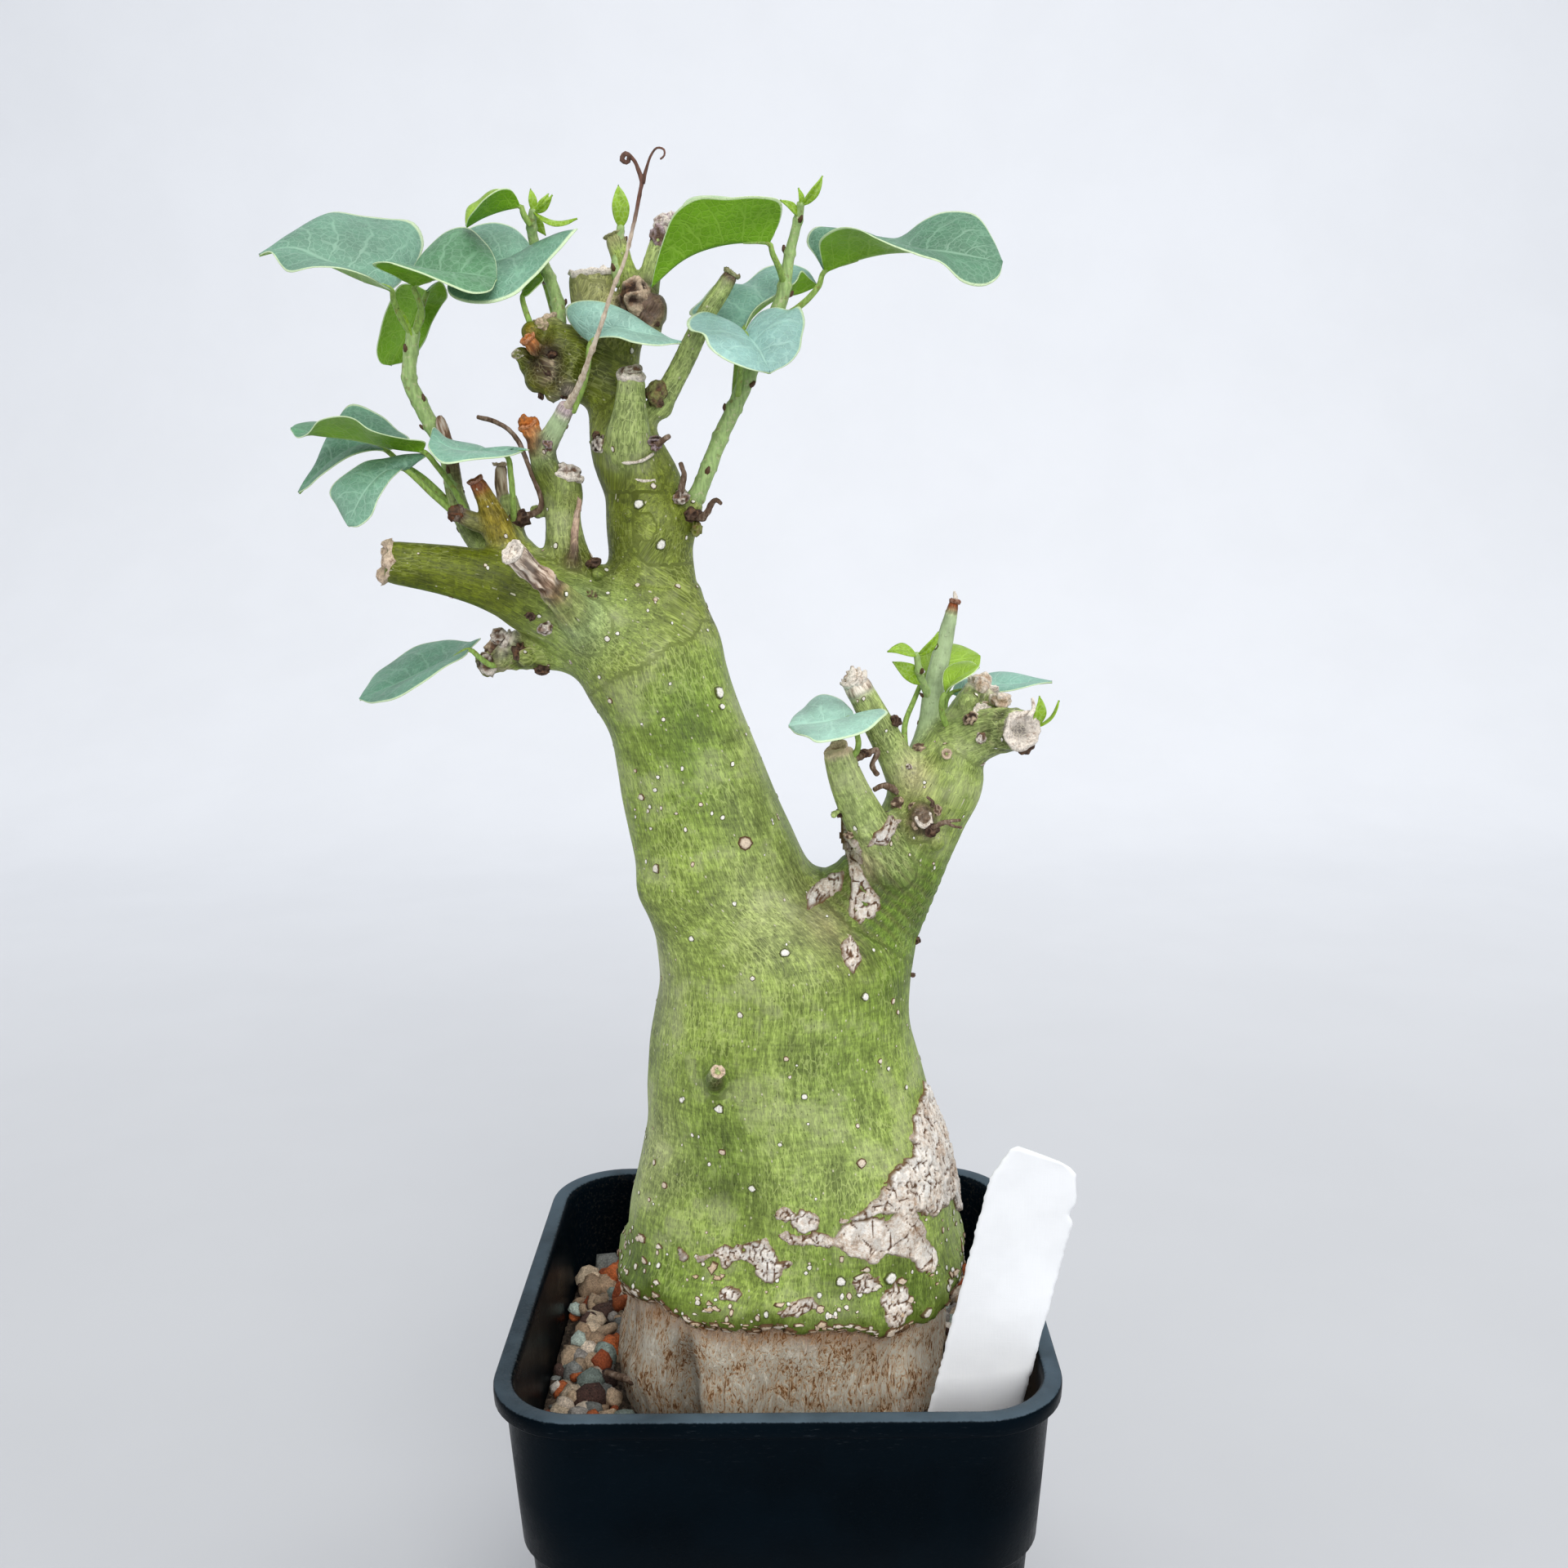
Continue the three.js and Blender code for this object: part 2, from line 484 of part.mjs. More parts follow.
// Large leaves: rib, left edge, right edge and stalk, as points [x, y, z]
const LEAVES = {
  left_a: {
    rib: [[-65, -5, 282.5], [-70, -6, 284], [-75.5, -6, 286.5], [-81, -7, 289], [-86.5, -8, 288]],
    left: [[-65, -9, 282.5], [-66.5, -14, 283.5], [-70.5, -17, 284.5], [-74.5, -18, 284.5], [-78.5, -17, 284],
      [-81, -14, 285.5], [-83.5, -11, 288]],
    right: [[-64.5, 2, 285], [-63, 9, 289.5], [-63, 13, 293.5], [-65, 14, 296.5], [-69.5, 13, 297],
      [-73.5, 12, 297.5], [-78, 10, 298], [-80.5, 6, 296], [-84, -1, 292]],
    stalk: [[-62.5, -1.4, 275], [-64.2, -2.2, 278], [-65, -3.8, 281], [-65, -5.5, 282.5]],
  },
  left_b: {
    rib: [[-61, -5, 283], [-57, -5.5, 284], [-52, -6, 284.5], [-46, -8.5, 283.5]],
    left: [[-62, -2, 285], [-61, 2, 289], [-57.5, 6, 293.5], [-54, 7, 294.5], [-50.5, 5, 292], [-47.5, -1, 288]],
    right: [[-63, -9, 284], [-65, -11, 285], [-66, -13, 285.5], [-63, -15, 285.5], [-59.5, -16, 284.5],
      [-56.5, -17, 283.5], [-53, -17, 282], [-49, -16, 280.5], [-46.5, -12.5, 281]],
    stalk: [[-62.4, -1.2, 275], [-60.4, -2.8, 278.5], [-60.5, -4.4, 281], [-61, -5.5, 283.5]],
  },
  left_c: {
    rib: [[-60.5, 3, 283], [-64, 9, 280], [-67, 12, 276], [-70, 12, 271]],
    left: [[-64.5, 8, 285], [-67.5, 11, 285], [-70.5, 14, 281.5], [-72.5, 15, 277], [-73, 14, 273.5],
      [-72, 13, 271.5]],
    right: [[-58.5, 5, 285], [-58, 8, 283], [-59.5, 10, 281.5], [-61.5, 10, 278.5], [-63, 10, 275], [-66, 11, 272]],
    stalk: [[-62.5, 0, 275.5], [-62.5, 3, 278], [-61.5, 4, 281.5], [-60.5, 3.5, 283.5]],
  },
  mid_a: {
    rib: [[-42.5, 6, 289.5], [-46, 5, 288.5], [-50.5, 3, 287.5], [-55, 1, 287]],
    left: [[-40, 4, 290], [-36, 2, 291.5], [-33, 0, 293], [-34.5, -3, 290.5], [-37, -5, 287.5], [-40.5, -7, 283.5],
      [-43, -9, 281], [-47, -10, 279.5], [-52, -8, 280], [-55.5, -4, 282.5]],
    right: [[-42.5, 9, 291], [-44, 12, 293], [-46.5, 14, 295.5], [-50.5, 15, 296.5], [-54, 13, 295.5],
      [-56, 8, 292]],
    stalk: [[-38, 5, 277], [-39.5, 8, 282], [-41, 9, 286.5], [-42.5, 7, 289.5]],
  },
  mid_b: {
    rib: [[-43, 1, 297], [-46.5, 0, 296], [-49.5, 0, 295], [-52.5, 0, 293.5]],
    left: [[-43.5, -1, 298.5], [-44, -3, 299], [-45.5, -5, 298.5], [-48, -6, 297], [-50, -5, 295.5],
      [-51.5, -3, 294.5]],
    right: [[-44.5, 3, 299.5], [-47, 5, 300.5], [-49.5, 7, 300.5], [-51.5, 7, 299], [-53, 5, 297.5], [-53, 2, 295]],
    stalk: [[-41.5, 1.5, 294], [-42.5, 1, 295.5], [-43, 1, 297]],
  },
  mid_c: {
    rib: [[-43, -1, 281.5], [-42.5, 1, 283.5], [-41.5, 3, 285], [-40.5, 5, 286]],
    left: [[-42, -2, 281.5], [-40.5, -1, 283], [-39.5, 1, 284.5]],
    right: [[-43.5, 4, 284], [-42.5, 7, 285.5], [-41, 7, 286.5]],
    stalk: [[-41, -1, 275], [-41.5, -2, 276.5], [-42.5, -2, 279.5], [-43, -1, 282]],
  },
  crown_front: {
    rib: [[-30.5, -7, 273], [-26.5, -8, 275], [-21, -10, 274], [-14.5, -12, 272.5]],
    left: [[-32.5, -4, 274.5], [-35, -2.5, 277.5], [-35.5, -1.5, 279.5], [-34, -1.5, 280.5], [-29.5, -2, 280.5],
      [-25, -3, 279], [-21.5, -5, 276], [-18, -8, 274]],
    right: [[-28, -12, 273.5], [-25, -15, 273], [-22, -17, 272], [-18, -16, 271.5]],
    stalk: [[-34, -7.2, 261.5], [-32, -7, 266], [-31, -7.5, 269.5], [-30.5, -7.5, 273]],
  },
  right_a: {
    rib: [[0.5, -4, 289.5], [-4.5, -5, 289.5], [-9.5, -6, 288.5], [-14.5, -6, 286.5], [-20, -5, 282.5]],
    left: [[2.5, -7, 293], [2.5, -10, 295.5], [-1, -12, 296], [-6.5, -13, 295.5], [-11.5, -13, 295.5],
      [-15, -12, 293.5], [-17, -10, 290], [-19, -7, 285.5]],
    right: [[1.5, 0, 292], [1, 4, 295.5], [-4, 8, 298.5], [-10, 9, 299.5], [-14, 8, 299], [-16, 5, 295.5],
      [-18, 0, 288.5]],
    stalk: [[2.9, 0.8, 283.5], [2, -2, 286], [1, -3.5, 288], [0.5, -4, 290]],
  },
  right_b: {
    rib: [[10, -2, 285], [15.5, -4, 286.5], [22, -6, 287.5], [29.5, -8, 287], [40, -10, 285]],
    left: [[8.5, 1, 288], [7, 6, 291.5], [9, 10, 294.5], [13.5, 12, 294], [18.5, 10, 292.5], [23.5, 6, 291.5],
      [27.5, 4, 294], [31.5, 3, 295.5], [36, 1, 295], [39, -4, 290]],
    right: [[9.5, -5, 286.5], [9, -9, 289], [10.5, -12, 290], [13, -14, 290.5], [15.5, -15, 290], [18, -16, 288.5],
      [21, -17, 287], [25, -18, 285.5], [28.5, -19, 284], [32.5, -18, 281], [36, -16, 280.5], [39, -13, 282.5]],
    stalk: [[1.2, 1, 277], [6, -2, 279.5], [9, -3, 282.5], [10, -2.5, 285]],
  },
  right_c: {
    rib: [[-4.5, 2, 275.5], [-2.5, 5, 278.5], [1.5, 7, 281.5], [5.5, 8, 282.5], [9, 8, 284]],
    left: [[-6.5, 5, 276.5], [-11, 8, 278], [-14.5, 10, 279.5], [-12.5, 13, 282], [-9, 15, 285.5], [-5, 17, 285.5],
      [-0.5, 18, 288.5], [3.5, 18, 289], [7, 14, 287.5]],
    right: [[-3.5, 2, 277.5], [-1.5, 2, 280], [2, 2.4, 282], [5, 3.4, 284], [6, 4, 286], [7.5, 6, 285]],
    stalk: [[-6.2, 0, 262], [-6, 3.4, 266.5], [-5.5, 4, 271.5], [-4.5, 3, 275.5]],
  },
  right_d: {
    rib: [[-4, -6, 274.5], [-1.5, -12, 271], [0.5, -18, 267]],
    left: [[-3, -4, 275.5], [-1.5, -2, 278], [1.5, -2, 279], [4, -3, 278.5], [5.5, -4, 279], [6.5, -7, 276.5],
      [6, -10, 273.5], [5.5, -13, 271], [3.5, -16, 268.5]],
    right: [[-6, -6, 275], [-8, -5, 277], [-11, -6, 278], [-13.5, -9, 276.5], [-13, -13, 274.5],
      [-10.5, -16, 273.5], [-9.5, -18, 271], [-7, -19, 269], [-3, -20, 267.5]],
    stalk: [[-5.6, 0, 263], [-5, -3, 267], [-4.5, -5, 270], [-4, -6.5, 274]],
  },
  low_a: {
    rib: [[-60.5, -7, 255], [-65, -8, 255.5], [-71.5, -9, 257], [-78.5, -10, 258], [-82.5, -10, 259]],
    left: [[-59.5, -9, 256.5], [-62, -12, 257], [-64.5, -15, 257.5], [-67, -18, 258.5], [-69, -19, 260],
      [-72, -19, 260.5], [-75.5, -17, 260], [-78, -15, 258], [-81, -12, 257.5]],
    right: [[-62, -2, 256], [-66.5, 1, 257], [-72.5, 2, 258], [-77.5, 0, 260], [-80.5, -2, 260.5], [-82.5, -6, 260]],
    stalk: [[-52.5, -9.5, 243.5], [-55.5, -8, 249], [-58, -8, 252.5], [-60, -8, 255]],
  },
  low_b: {
    rib: [[-69.5, 3, 255.5], [-74, 5, 256.5], [-80, 5, 253.5], [-85.5, 2, 248]],
    left: [[-71.5, 1, 255.5], [-74.5, 0, 254.5], [-77.5, -1, 253], [-80.5, -1, 251], [-83, 0, 249]],
    right: [[-68, 6, 256], [-66.5, 9, 257.5], [-69.5, 12, 259.5], [-73.5, 15, 262.5], [-79, 16, 264.5],
      [-81.5, 13, 260.5], [-83.5, 8, 254], [-85, 4, 250]],
    stalk: [[-55, -2.4, 243.5], [-61.5, -1, 250], [-67, 2, 253.5], [-69.5, 3, 255.5]],
  },
  low_c: {
    rib: [[-63.5, -9, 252], [-65.5, -13, 251.5], [-68, -18, 248], [-70.5, -21, 242.5]],
    left: [[-63.5, -12, 251.5], [-64.5, -16, 249.5], [-65.5, -19, 247], [-66.5, -21, 244], [-68.5, -22, 242.5]],
    right: [[-61.5, -8, 253], [-60, -6, 254.5], [-64, -4, 254.5], [-67, -5, 254], [-70, -8, 253.5],
      [-72, -11, 252], [-74.5, -14, 249.5], [-75, -15, 248], [-73.5, -17, 246], [-72, -19, 244]],
    stalk: [[-53.2, -10.6, 243], [-58.5, -9.5, 247.5], [-61.4, -9.2, 250.3], [-63.5, -9.5, 252.5]],
  },
  low_d: {
    rib: [[-45.5, -9, 254], [-49.5, -11, 254.5], [-54, -12, 255], [-58, -12, 257]],
    left: [[-42.5, -10, 254.5], [-44, -15, 254], [-47, -19, 253.5], [-49.5, -22, 253], [-53, -23, 252.5],
      [-55.5, -20, 253.5], [-57.5, -16, 255.5]],
    right: [[-44, -7, 255], [-42, -6, 255], [-45, -5, 255.5], [-48.5, -4.5, 255], [-50.5, -5, 256],
      [-52.5, -5, 256.5], [-55, -6, 257], [-56.5, -7, 257.5], [-58, -8.5, 259]],
    stalk: [[-45.6, -4.4, 241], [-45, -7.5, 245.5], [-45, -8.5, 250.5], [-45, -9.5, 254]],
  },
  under: {
    rib: [[-54.5, -5, 220], [-59.5, -5, 217.5], [-67, -6, 214], [-74, -8, 211.5]],
    left: [[-54.5, -9, 219.5], [-57.5, -14, 217.5], [-61, -17, 215], [-64.5, -17, 213], [-70, -13, 211.5]],
    right: [[-53.5, 1, 221.5], [-56, 4, 220.5], [-62, 7, 220.5], [-67, 8, 219.5], [-71, 7, 217], [-74, 4, 214.5],
      [-74.5, -3, 212.5]],
    stalk: [[-48, -2, 218], [-50.5, -4.2, 217], [-52.5, -5.4, 218.5], [-55, -5.5, 220]],
  },
  limb_a: {
    rib: [[14.5, -12, 208], [9.5, -12, 207], [3, -12, 206.5]],
    left: [[17, -12, 209], [19.5, -12, 209.5], [20.5, -14, 209], [19, -18, 208.5], [16.5, -21, 207],
      [12.5, -23, 206], [8, -24, 205.5], [6.5, -22, 206], [4.5, -18, 206]],
    right: [[14.5, -8, 208.5], [12.5, -3, 210], [9, 0, 210.5], [7, 0, 209.5], [6, -1, 208.5], [4, -6, 207.5]],
    stalk: [[12.4, -10, 199.5], [15, -11, 201.5], [15.4, -12, 203.5], [15, -12.5, 205.5], [14.5, -12.5, 208]],
  },
  limb_b: {
    rib: [[29, 6.5, 213.5], [32.5, 9, 215], [39.5, 10, 216]],
    left: [[28, 9, 215], [28.5, 12, 217.5], [32, 15, 218.5], [36, 16, 218], [39, 13, 216.5]],
    right: [[30.5, 6.8, 213], [33, 6.6, 213], [36.5, 7, 213], [39, 8, 214.5]],
    stalk: [[25, 0, 197], [24.6, 2.4, 204], [26.6, 6, 208.5], [29.5, 6.6, 213.5]],
  },
  limb_c: {
    rib: [[31.5, -4, 211], [33.5, -5, 213.5], [37.5, -5, 216]],
    left: [[31, -4, 213], [31.5, -2, 215], [33.5, 0, 216], [36, 0, 216.5]],
    right: [[32, -7, 212.5], [34, -9, 214], [36, -8, 215]],
    stalk: [[32.5, -1, 203.5], [31, -3.2, 207.5], [31, -4.5, 210.5], [31.5, -4, 211.5]],
  },
  limb_d: {
    rib: [[34, 9, 209.5], [40, 10, 210.5], [46.5, 11, 210.5], [53.5, 12, 211]],
    left: [[35, 13, 210.5], [39, 18, 211.5], [44.5, 20, 212], [50, 17, 211.5]],
    right: [[35, 8, 209], [39.5, 8.6, 209.5], [44.5, 6, 210], [49.5, 7, 211]],
    stalk: [[33.4, 3, 203], [32.6, 7.4, 206.5], [33, 8.4, 208.5], [34, 9, 209.5]],
  },
};

function leafSolid(leaf) {
  const span = spaced([leaf.rib[0], ...leaf.left].map(vector), 1);
  const small = span[0].distanceTo(span[1]) < 8 && leaf.left.length < 5;
  const large = leaf.left.length + leaf.right.length > 12;
  const rows = small ? 6 : large ? 10 : 7;
  return bladeSolid(leaf, rows, 2).add(stalkSolid(leaf, rows));
}

// Young leaf: a small pointed blade from base to tip, its width set by a side vector
function youngLeaf({ base, tip, side, bow = 0.12 }) {
  const [from, to, across] = [vector(base), vector(tip), vector(side)];
  const up = across.clone().cross(to.clone().sub(from)).normalize();
  const length = from.distanceTo(to);
  const at = (share, wide, rise) => from.clone().lerp(to, share)
    .addScaledVector(across, wide)
    .addScaledVector(up, rise * length)
    .toArray();
  return bladeSolid({
    rib: [base, at(0.5, 0, bow), tip],
    left: [at(0.22, -0.75, bow * 0.9), at(0.5, -1, bow * 1.5), at(0.8, -0.55, bow)],
    right: [at(0.22, 0.75, bow * 0.9), at(0.5, 1, bow * 1.5), at(0.8, 0.55, bow)],
  }, 5, 1);
}

// Shoots: soft green stems with their youngest leaves
const SHOOTS = {
  shoot_left: {
    stem: [[-56.6, -2, 249, 1.5], [-58, -1, 256, 1.45], [-60, -1, 259.5, 1.4], [-62, -1, 263.5, 1.35],
      [-63.5, -1, 267, 1.3], [-63.5, -1, 270, 1.25], [-63, -1, 273, 1.2], [-62.5, -1, 275.8, 1.2]],
    young: [{ base: [-62.5, -1.8, 274.6], tip: [-63.2, -7.4, 279.4], side: [-0.6, 0, 0] }],
  },
  shoot_mid: {
    stem: [[-37.4, 2, 274, 1.4], [-37.4, 4, 280, 1.2], [-38.5, 5, 284, 1.1], [-40, 6.5, 287.5, 1.05],
      [-41.5, 5, 291.5, 0.95], [-41.5, 3, 294.5, 0.85], [-41, 2, 296.4, 0.7]],
    young: [
      { base: [-41, 2, 296], tip: [-41.3, 2, 300], side: [0.7, 0.3, 0] },
      { base: [-41, 2, 296], tip: [-38.4, 3.5, 299.4], side: [0.5, 0.4, -0.4] },
      { base: [-40.8, 2, 296], tip: [-37.2, 0, 298.6], side: [0.3, 0.6, -0.4] },
      { base: [-41, 1.6, 296], tip: [-33, 0, 294.6], side: [0, 1.4, 0.6] },
      { base: [-41, 2.4, 295.6], tip: [-39.4, 5, 292.6], side: [0.9, 0.5, 0.4] },
    ],
  },
  shoot_bud: {
    stem: [[-26.6, 4, 284, 1], [-27, 4, 287, 0.85], [-26.5, 5, 290.5, 0.8], [-26, 5, 294, 0.7]],
    young: [{ base: [-26, 5, 293.4], tip: [-26.2, 5, 301], side: [1.5, 0.4, 0] }],
  },
  shoot_right: {
    stem: [[-14.4, -1, 244.5, 1.7], [-13, -1, 247, 1.6], [-11, -1, 251.5, 1.5], [-8.5, 0, 257.5, 1.45],
      [-5.5, 0, 263.5, 1.45], [-1, 1, 273.5, 1.4], [2.5, 1, 281, 1.25], [4, 1, 288.5, 0.95], [5.5, 0, 294, 0.8],
      [6, -1, 296.5, 0.7]],
    young: [
      { base: [6, -1, 296], tip: [9.8, -1, 301], side: [0.6, 0.5, -0.5] },
      { base: [5.6, -0.2, 294.4], tip: [2.4, -3, 296.8], side: [0.3, 0.5, 0.7] },
      { base: [6, -1, 296], tip: [5.6, -1.4, 299], side: [0.5, 0.4, 0] },
    ],
  },
  shoot_tuft: {
    stem: [[30.4, 4, 208, 0.9], [28.2, 2, 211.5, 0.75], [27, 0, 215, 0.65], [26.5, -1, 218, 0.6]],
    young: [
      { base: [26.6, -1, 217.6], tip: [21, -3, 218.7], side: [-0.2, 1.6, 1] },
      { base: [26.6, -1, 217.6], tip: [30.5, -1, 222], side: [0.7, 0.6, -0.6] },
      { base: [28, 1.6, 212], tip: [22.2, 1, 216.4], side: [1, 0.6, 1.2] },
    ],
  },
  shoot_end: {
    stem: [[44, -7.6, 204.2, 0.8], [46.8, -7.2, 204.4, 0.7], [47.6, -7, 205.4, 0.6]],
    young: [
      { base: [47.4, -7, 205], tip: [48, -8, 211], side: [1.2, 0.5, 0] },
      { base: [47.4, -7, 205], tip: [51.7, -7, 210], side: [0.2, 1.2, 0] },
    ],
  },
};

function shootSolid({ stem, young }) {
  return tube(stem, { sides: 7 }).add(joined(young.map(youngLeaf)));
}

// Dried flower stem with its forked tip, and the hooked tendril
const DRIED_STEM = {
  main: [[-35.6, -7, 261.4, 0.9], [-32.6, -11, 265, 0.7], [-30, -15, 269.5, 0.65], [-27.5, -18, 274.5, 0.6],
    [-25, -19.5, 280.5, 0.55], [-23, -20.5, 284.5, 0.5], [-21, -21, 291, 0.5], [-19.5, -21, 297.5, 0.5]],
  left: [[-19.6, -21, 296.6, 0.5], [-20.4, -21, 299.4, 0.45], [-21.5, -21, 301.4, 0.45]],
  right: [[-19.6, -21, 296.6, 0.5], [-18.2, -21, 300, 0.45], [-17.2, -21, 302, 0.4], [-16.2, -21, 301, 0.4]],
};
const HOOK = [[-45, -3.6, 243.6, 0.7], [-42, -4.6, 244, 0.6], [-40.5, -5, 245.2, 0.55], [-40.6, -5, 247.5, 0.5],
  [-41.6, -4.6, 250, 0.5], [-42.8, -4, 253, 0.45], [-44.2, -3.5, 256.4, 0.45], [-46, -4, 258.8, 0.45],
  [-48.5, -5, 260.2, 0.4], [-50.8, -6, 260.8, 0.4]];

// Assembly

const caudex = caudexSolid();
const caudexClear = caudexSolid(GAP);
const clearTube = (stations, sides = 7) => tube(stations, { sides, grow: GAP });

const plant = new THREE.Group();
plant.add(meshFrom("pot", potSolid(), COLOUR.pot, 0.45));
plant.add(meshFrom("grit", soilSolid(trunkHoleSolid(), tagSolid(GAP)), COLOUR.grit, 0.95));
plant.add(meshFrom("caudex", caudex, COLOUR.bark, 0.6));
plant.add(meshFrom("label", tagSolid(), COLOUR.tag, 0.4));

const shoots = new THREE.Group();
const shootsClear = joined(Object.values(SHOOTS).map(({ stem }) => clearTube(stem)));
for (const [name, shoot] of Object.entries(SHOOTS)) {
  shoots.add(meshFrom(name, mainBody(shootSolid(shoot).subtract(caudexClear)), COLOUR.stem, 0.5));
}
plant.add(shoots);

const dried = new THREE.Group();
const driedStem = joined(Object.values(DRIED_STEM).map((stations) => tube(stations, { sides: 6 })));
dried.add(meshFrom("dried_stem", mainBody(driedStem.subtract(caudexClear)), COLOUR.dry, 0.85));
const hook = mainBody(tube(HOOK, { sides: 6 }).subtract(caudexClear));
dried.add(meshFrom("hooked_tendril", hook, COLOUR.dark, 0.85));
plant.add(dried);

const leaves = new THREE.Group();
const stemsClear = caudexClear.add(shootsClear);
for (const [name, leaf] of Object.entries(LEAVES)) {
  const young = ["mid_b", "limb_b", "limb_c"].includes(name);
  const blade = mainBody(leafSolid(leaf).subtract(stemsClear));
  leaves.add(meshFrom(`leaf_${name}`, blade, young ? COLOUR.young : COLOUR.leaf, 0.5));
}
plant.add(leaves);

export default plant;
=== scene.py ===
"""Potted adenia spinosa: its finished surfaces, made over the plain solids.

Shapes are worked out in millimetres on the solids' own axes (+Z up, the front faces -Y) and are put into
meshes in metres.
"""

import functools

import bpy
import numpy as np
from mathutils import Matrix, Vector


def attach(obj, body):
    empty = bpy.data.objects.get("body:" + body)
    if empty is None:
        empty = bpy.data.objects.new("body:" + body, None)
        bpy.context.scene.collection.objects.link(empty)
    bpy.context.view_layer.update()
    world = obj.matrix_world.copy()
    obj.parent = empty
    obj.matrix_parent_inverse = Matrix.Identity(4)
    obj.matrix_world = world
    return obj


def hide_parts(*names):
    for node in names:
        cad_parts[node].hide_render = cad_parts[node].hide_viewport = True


bl_info = {
    "name": "Potted Adenia",
    "version": (1, 0, 0),
    "blender": (4, 5, 0),
    "location": "3D View > Sidebar > Plant",
    "description": "Makes a potted adenia spinosa with its bark, leaves, gravel, pot and label",
    "category": "Object",
}

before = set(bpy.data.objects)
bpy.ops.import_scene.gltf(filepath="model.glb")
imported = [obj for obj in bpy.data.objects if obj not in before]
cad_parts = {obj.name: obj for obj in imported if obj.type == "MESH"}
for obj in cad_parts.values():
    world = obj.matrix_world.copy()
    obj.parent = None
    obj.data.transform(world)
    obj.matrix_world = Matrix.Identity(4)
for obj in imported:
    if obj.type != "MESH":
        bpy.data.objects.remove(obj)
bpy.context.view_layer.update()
MM = 0.001

# Measured shapes, in millimetres

SOIL_TOP = 75

# Trunk stations: height, centre in X, half width, depth as a share of the half width
TRUNK = np.array([
    [42, 0, 20, 0.85], [56, 0, 28, 0.84], [66, 0.6, 31.2, 0.83], [75, 0.7, 32.6, 0.83],
    [83, 0.4, 33.5, 0.83], [88, 0.9, 32.8, 0.84], [91, 1.2, 33, 0.87], [95, 1.6, 33, 0.88],
    [101, 2.4, 32.6, 0.88], [107, 3, 32, 0.88], [115, 3, 31, 0.88], [122, 3.2, 29.7, 0.88],
    [130, 2.8, 27.7, 0.89], [136, 1.7, 26.7, 0.9], [146, 1, 24.8, 0.9], [156, 1.6, 23.3, 0.9],
    [161, 1.4, 23.2, 0.9], [166, -0.2, 22.2, 0.9], [171, -4.6, 19.4, 0.92], [175, -8.5, 17, 0.94],
    [180, -10, 15.8, 0.95], [190, -12.9, 14.6, 0.95], [200, -15.7, 13.3, 0.95], [210, -18.6, 12.3, 0.95],
    [215, -20, 11.7, 0.95], [220, -20.8, 10.4, 0.95], [224, -21.4, 8.4, 0.95], [227, -21.7, 6.6, 0.95],
    [230, -21.8, 5, 0.95],
])
ROUNDNESS = 2.3  # exponent of the trunk's section, 2 for an ellipse

# Swellings and hollows: bearing (-90 is the front), height, spread in degrees, spread in height, rise
SWELLS = [
    [-72, 97, 42, 6, 2], [-122, 96, 16, 6, 1.2], [-121, 80, 5, 13, -2.6], [-140, 84, 10, 9, 0.8],
    [-100, 82, 8, 10, 0.7], [-68, 84, 12, 8, 0.8], [-50, 90, 5, 7, -0.8], [-112, 118, 10, 14, -2],
    [-150, 112, 20, 16, 1.2], [-60, 122, 26, 16, 1.6], [-95, 160, 30, 10, 0.8], [60, 100, 40, 12, 1.5],
    [120, 130, 30, 16, 1.2], [95, 82, 12, 10, -2], [-112, 143, 5, 2.6, -1.2], [-150, 176, 14, 5, 0.8],
    [-80, 128, 5, 16, -0.5], [-40, 104, 8, 4, 0.6], [-100, 105, 14, 4, 0.6],
]

# Height of the ragged lower edge of the green bark over the corky foot, by bearing
GREEN_EDGE = np.array([
    [-180, 98.5], [-157, 97.5], [-136, 101.5], [-123, 100], [-112, 99], [-103, 99], [-98, 100.5],
    [-85, 98.5], [-77, 99.5], [-57, 97.5], [-45, 97], [-28, 98.5], [0, 100], [30, 101.5], [60, 99],
    [90, 101], [120, 98.5], [150, 100.5], [180, 98.5],
])

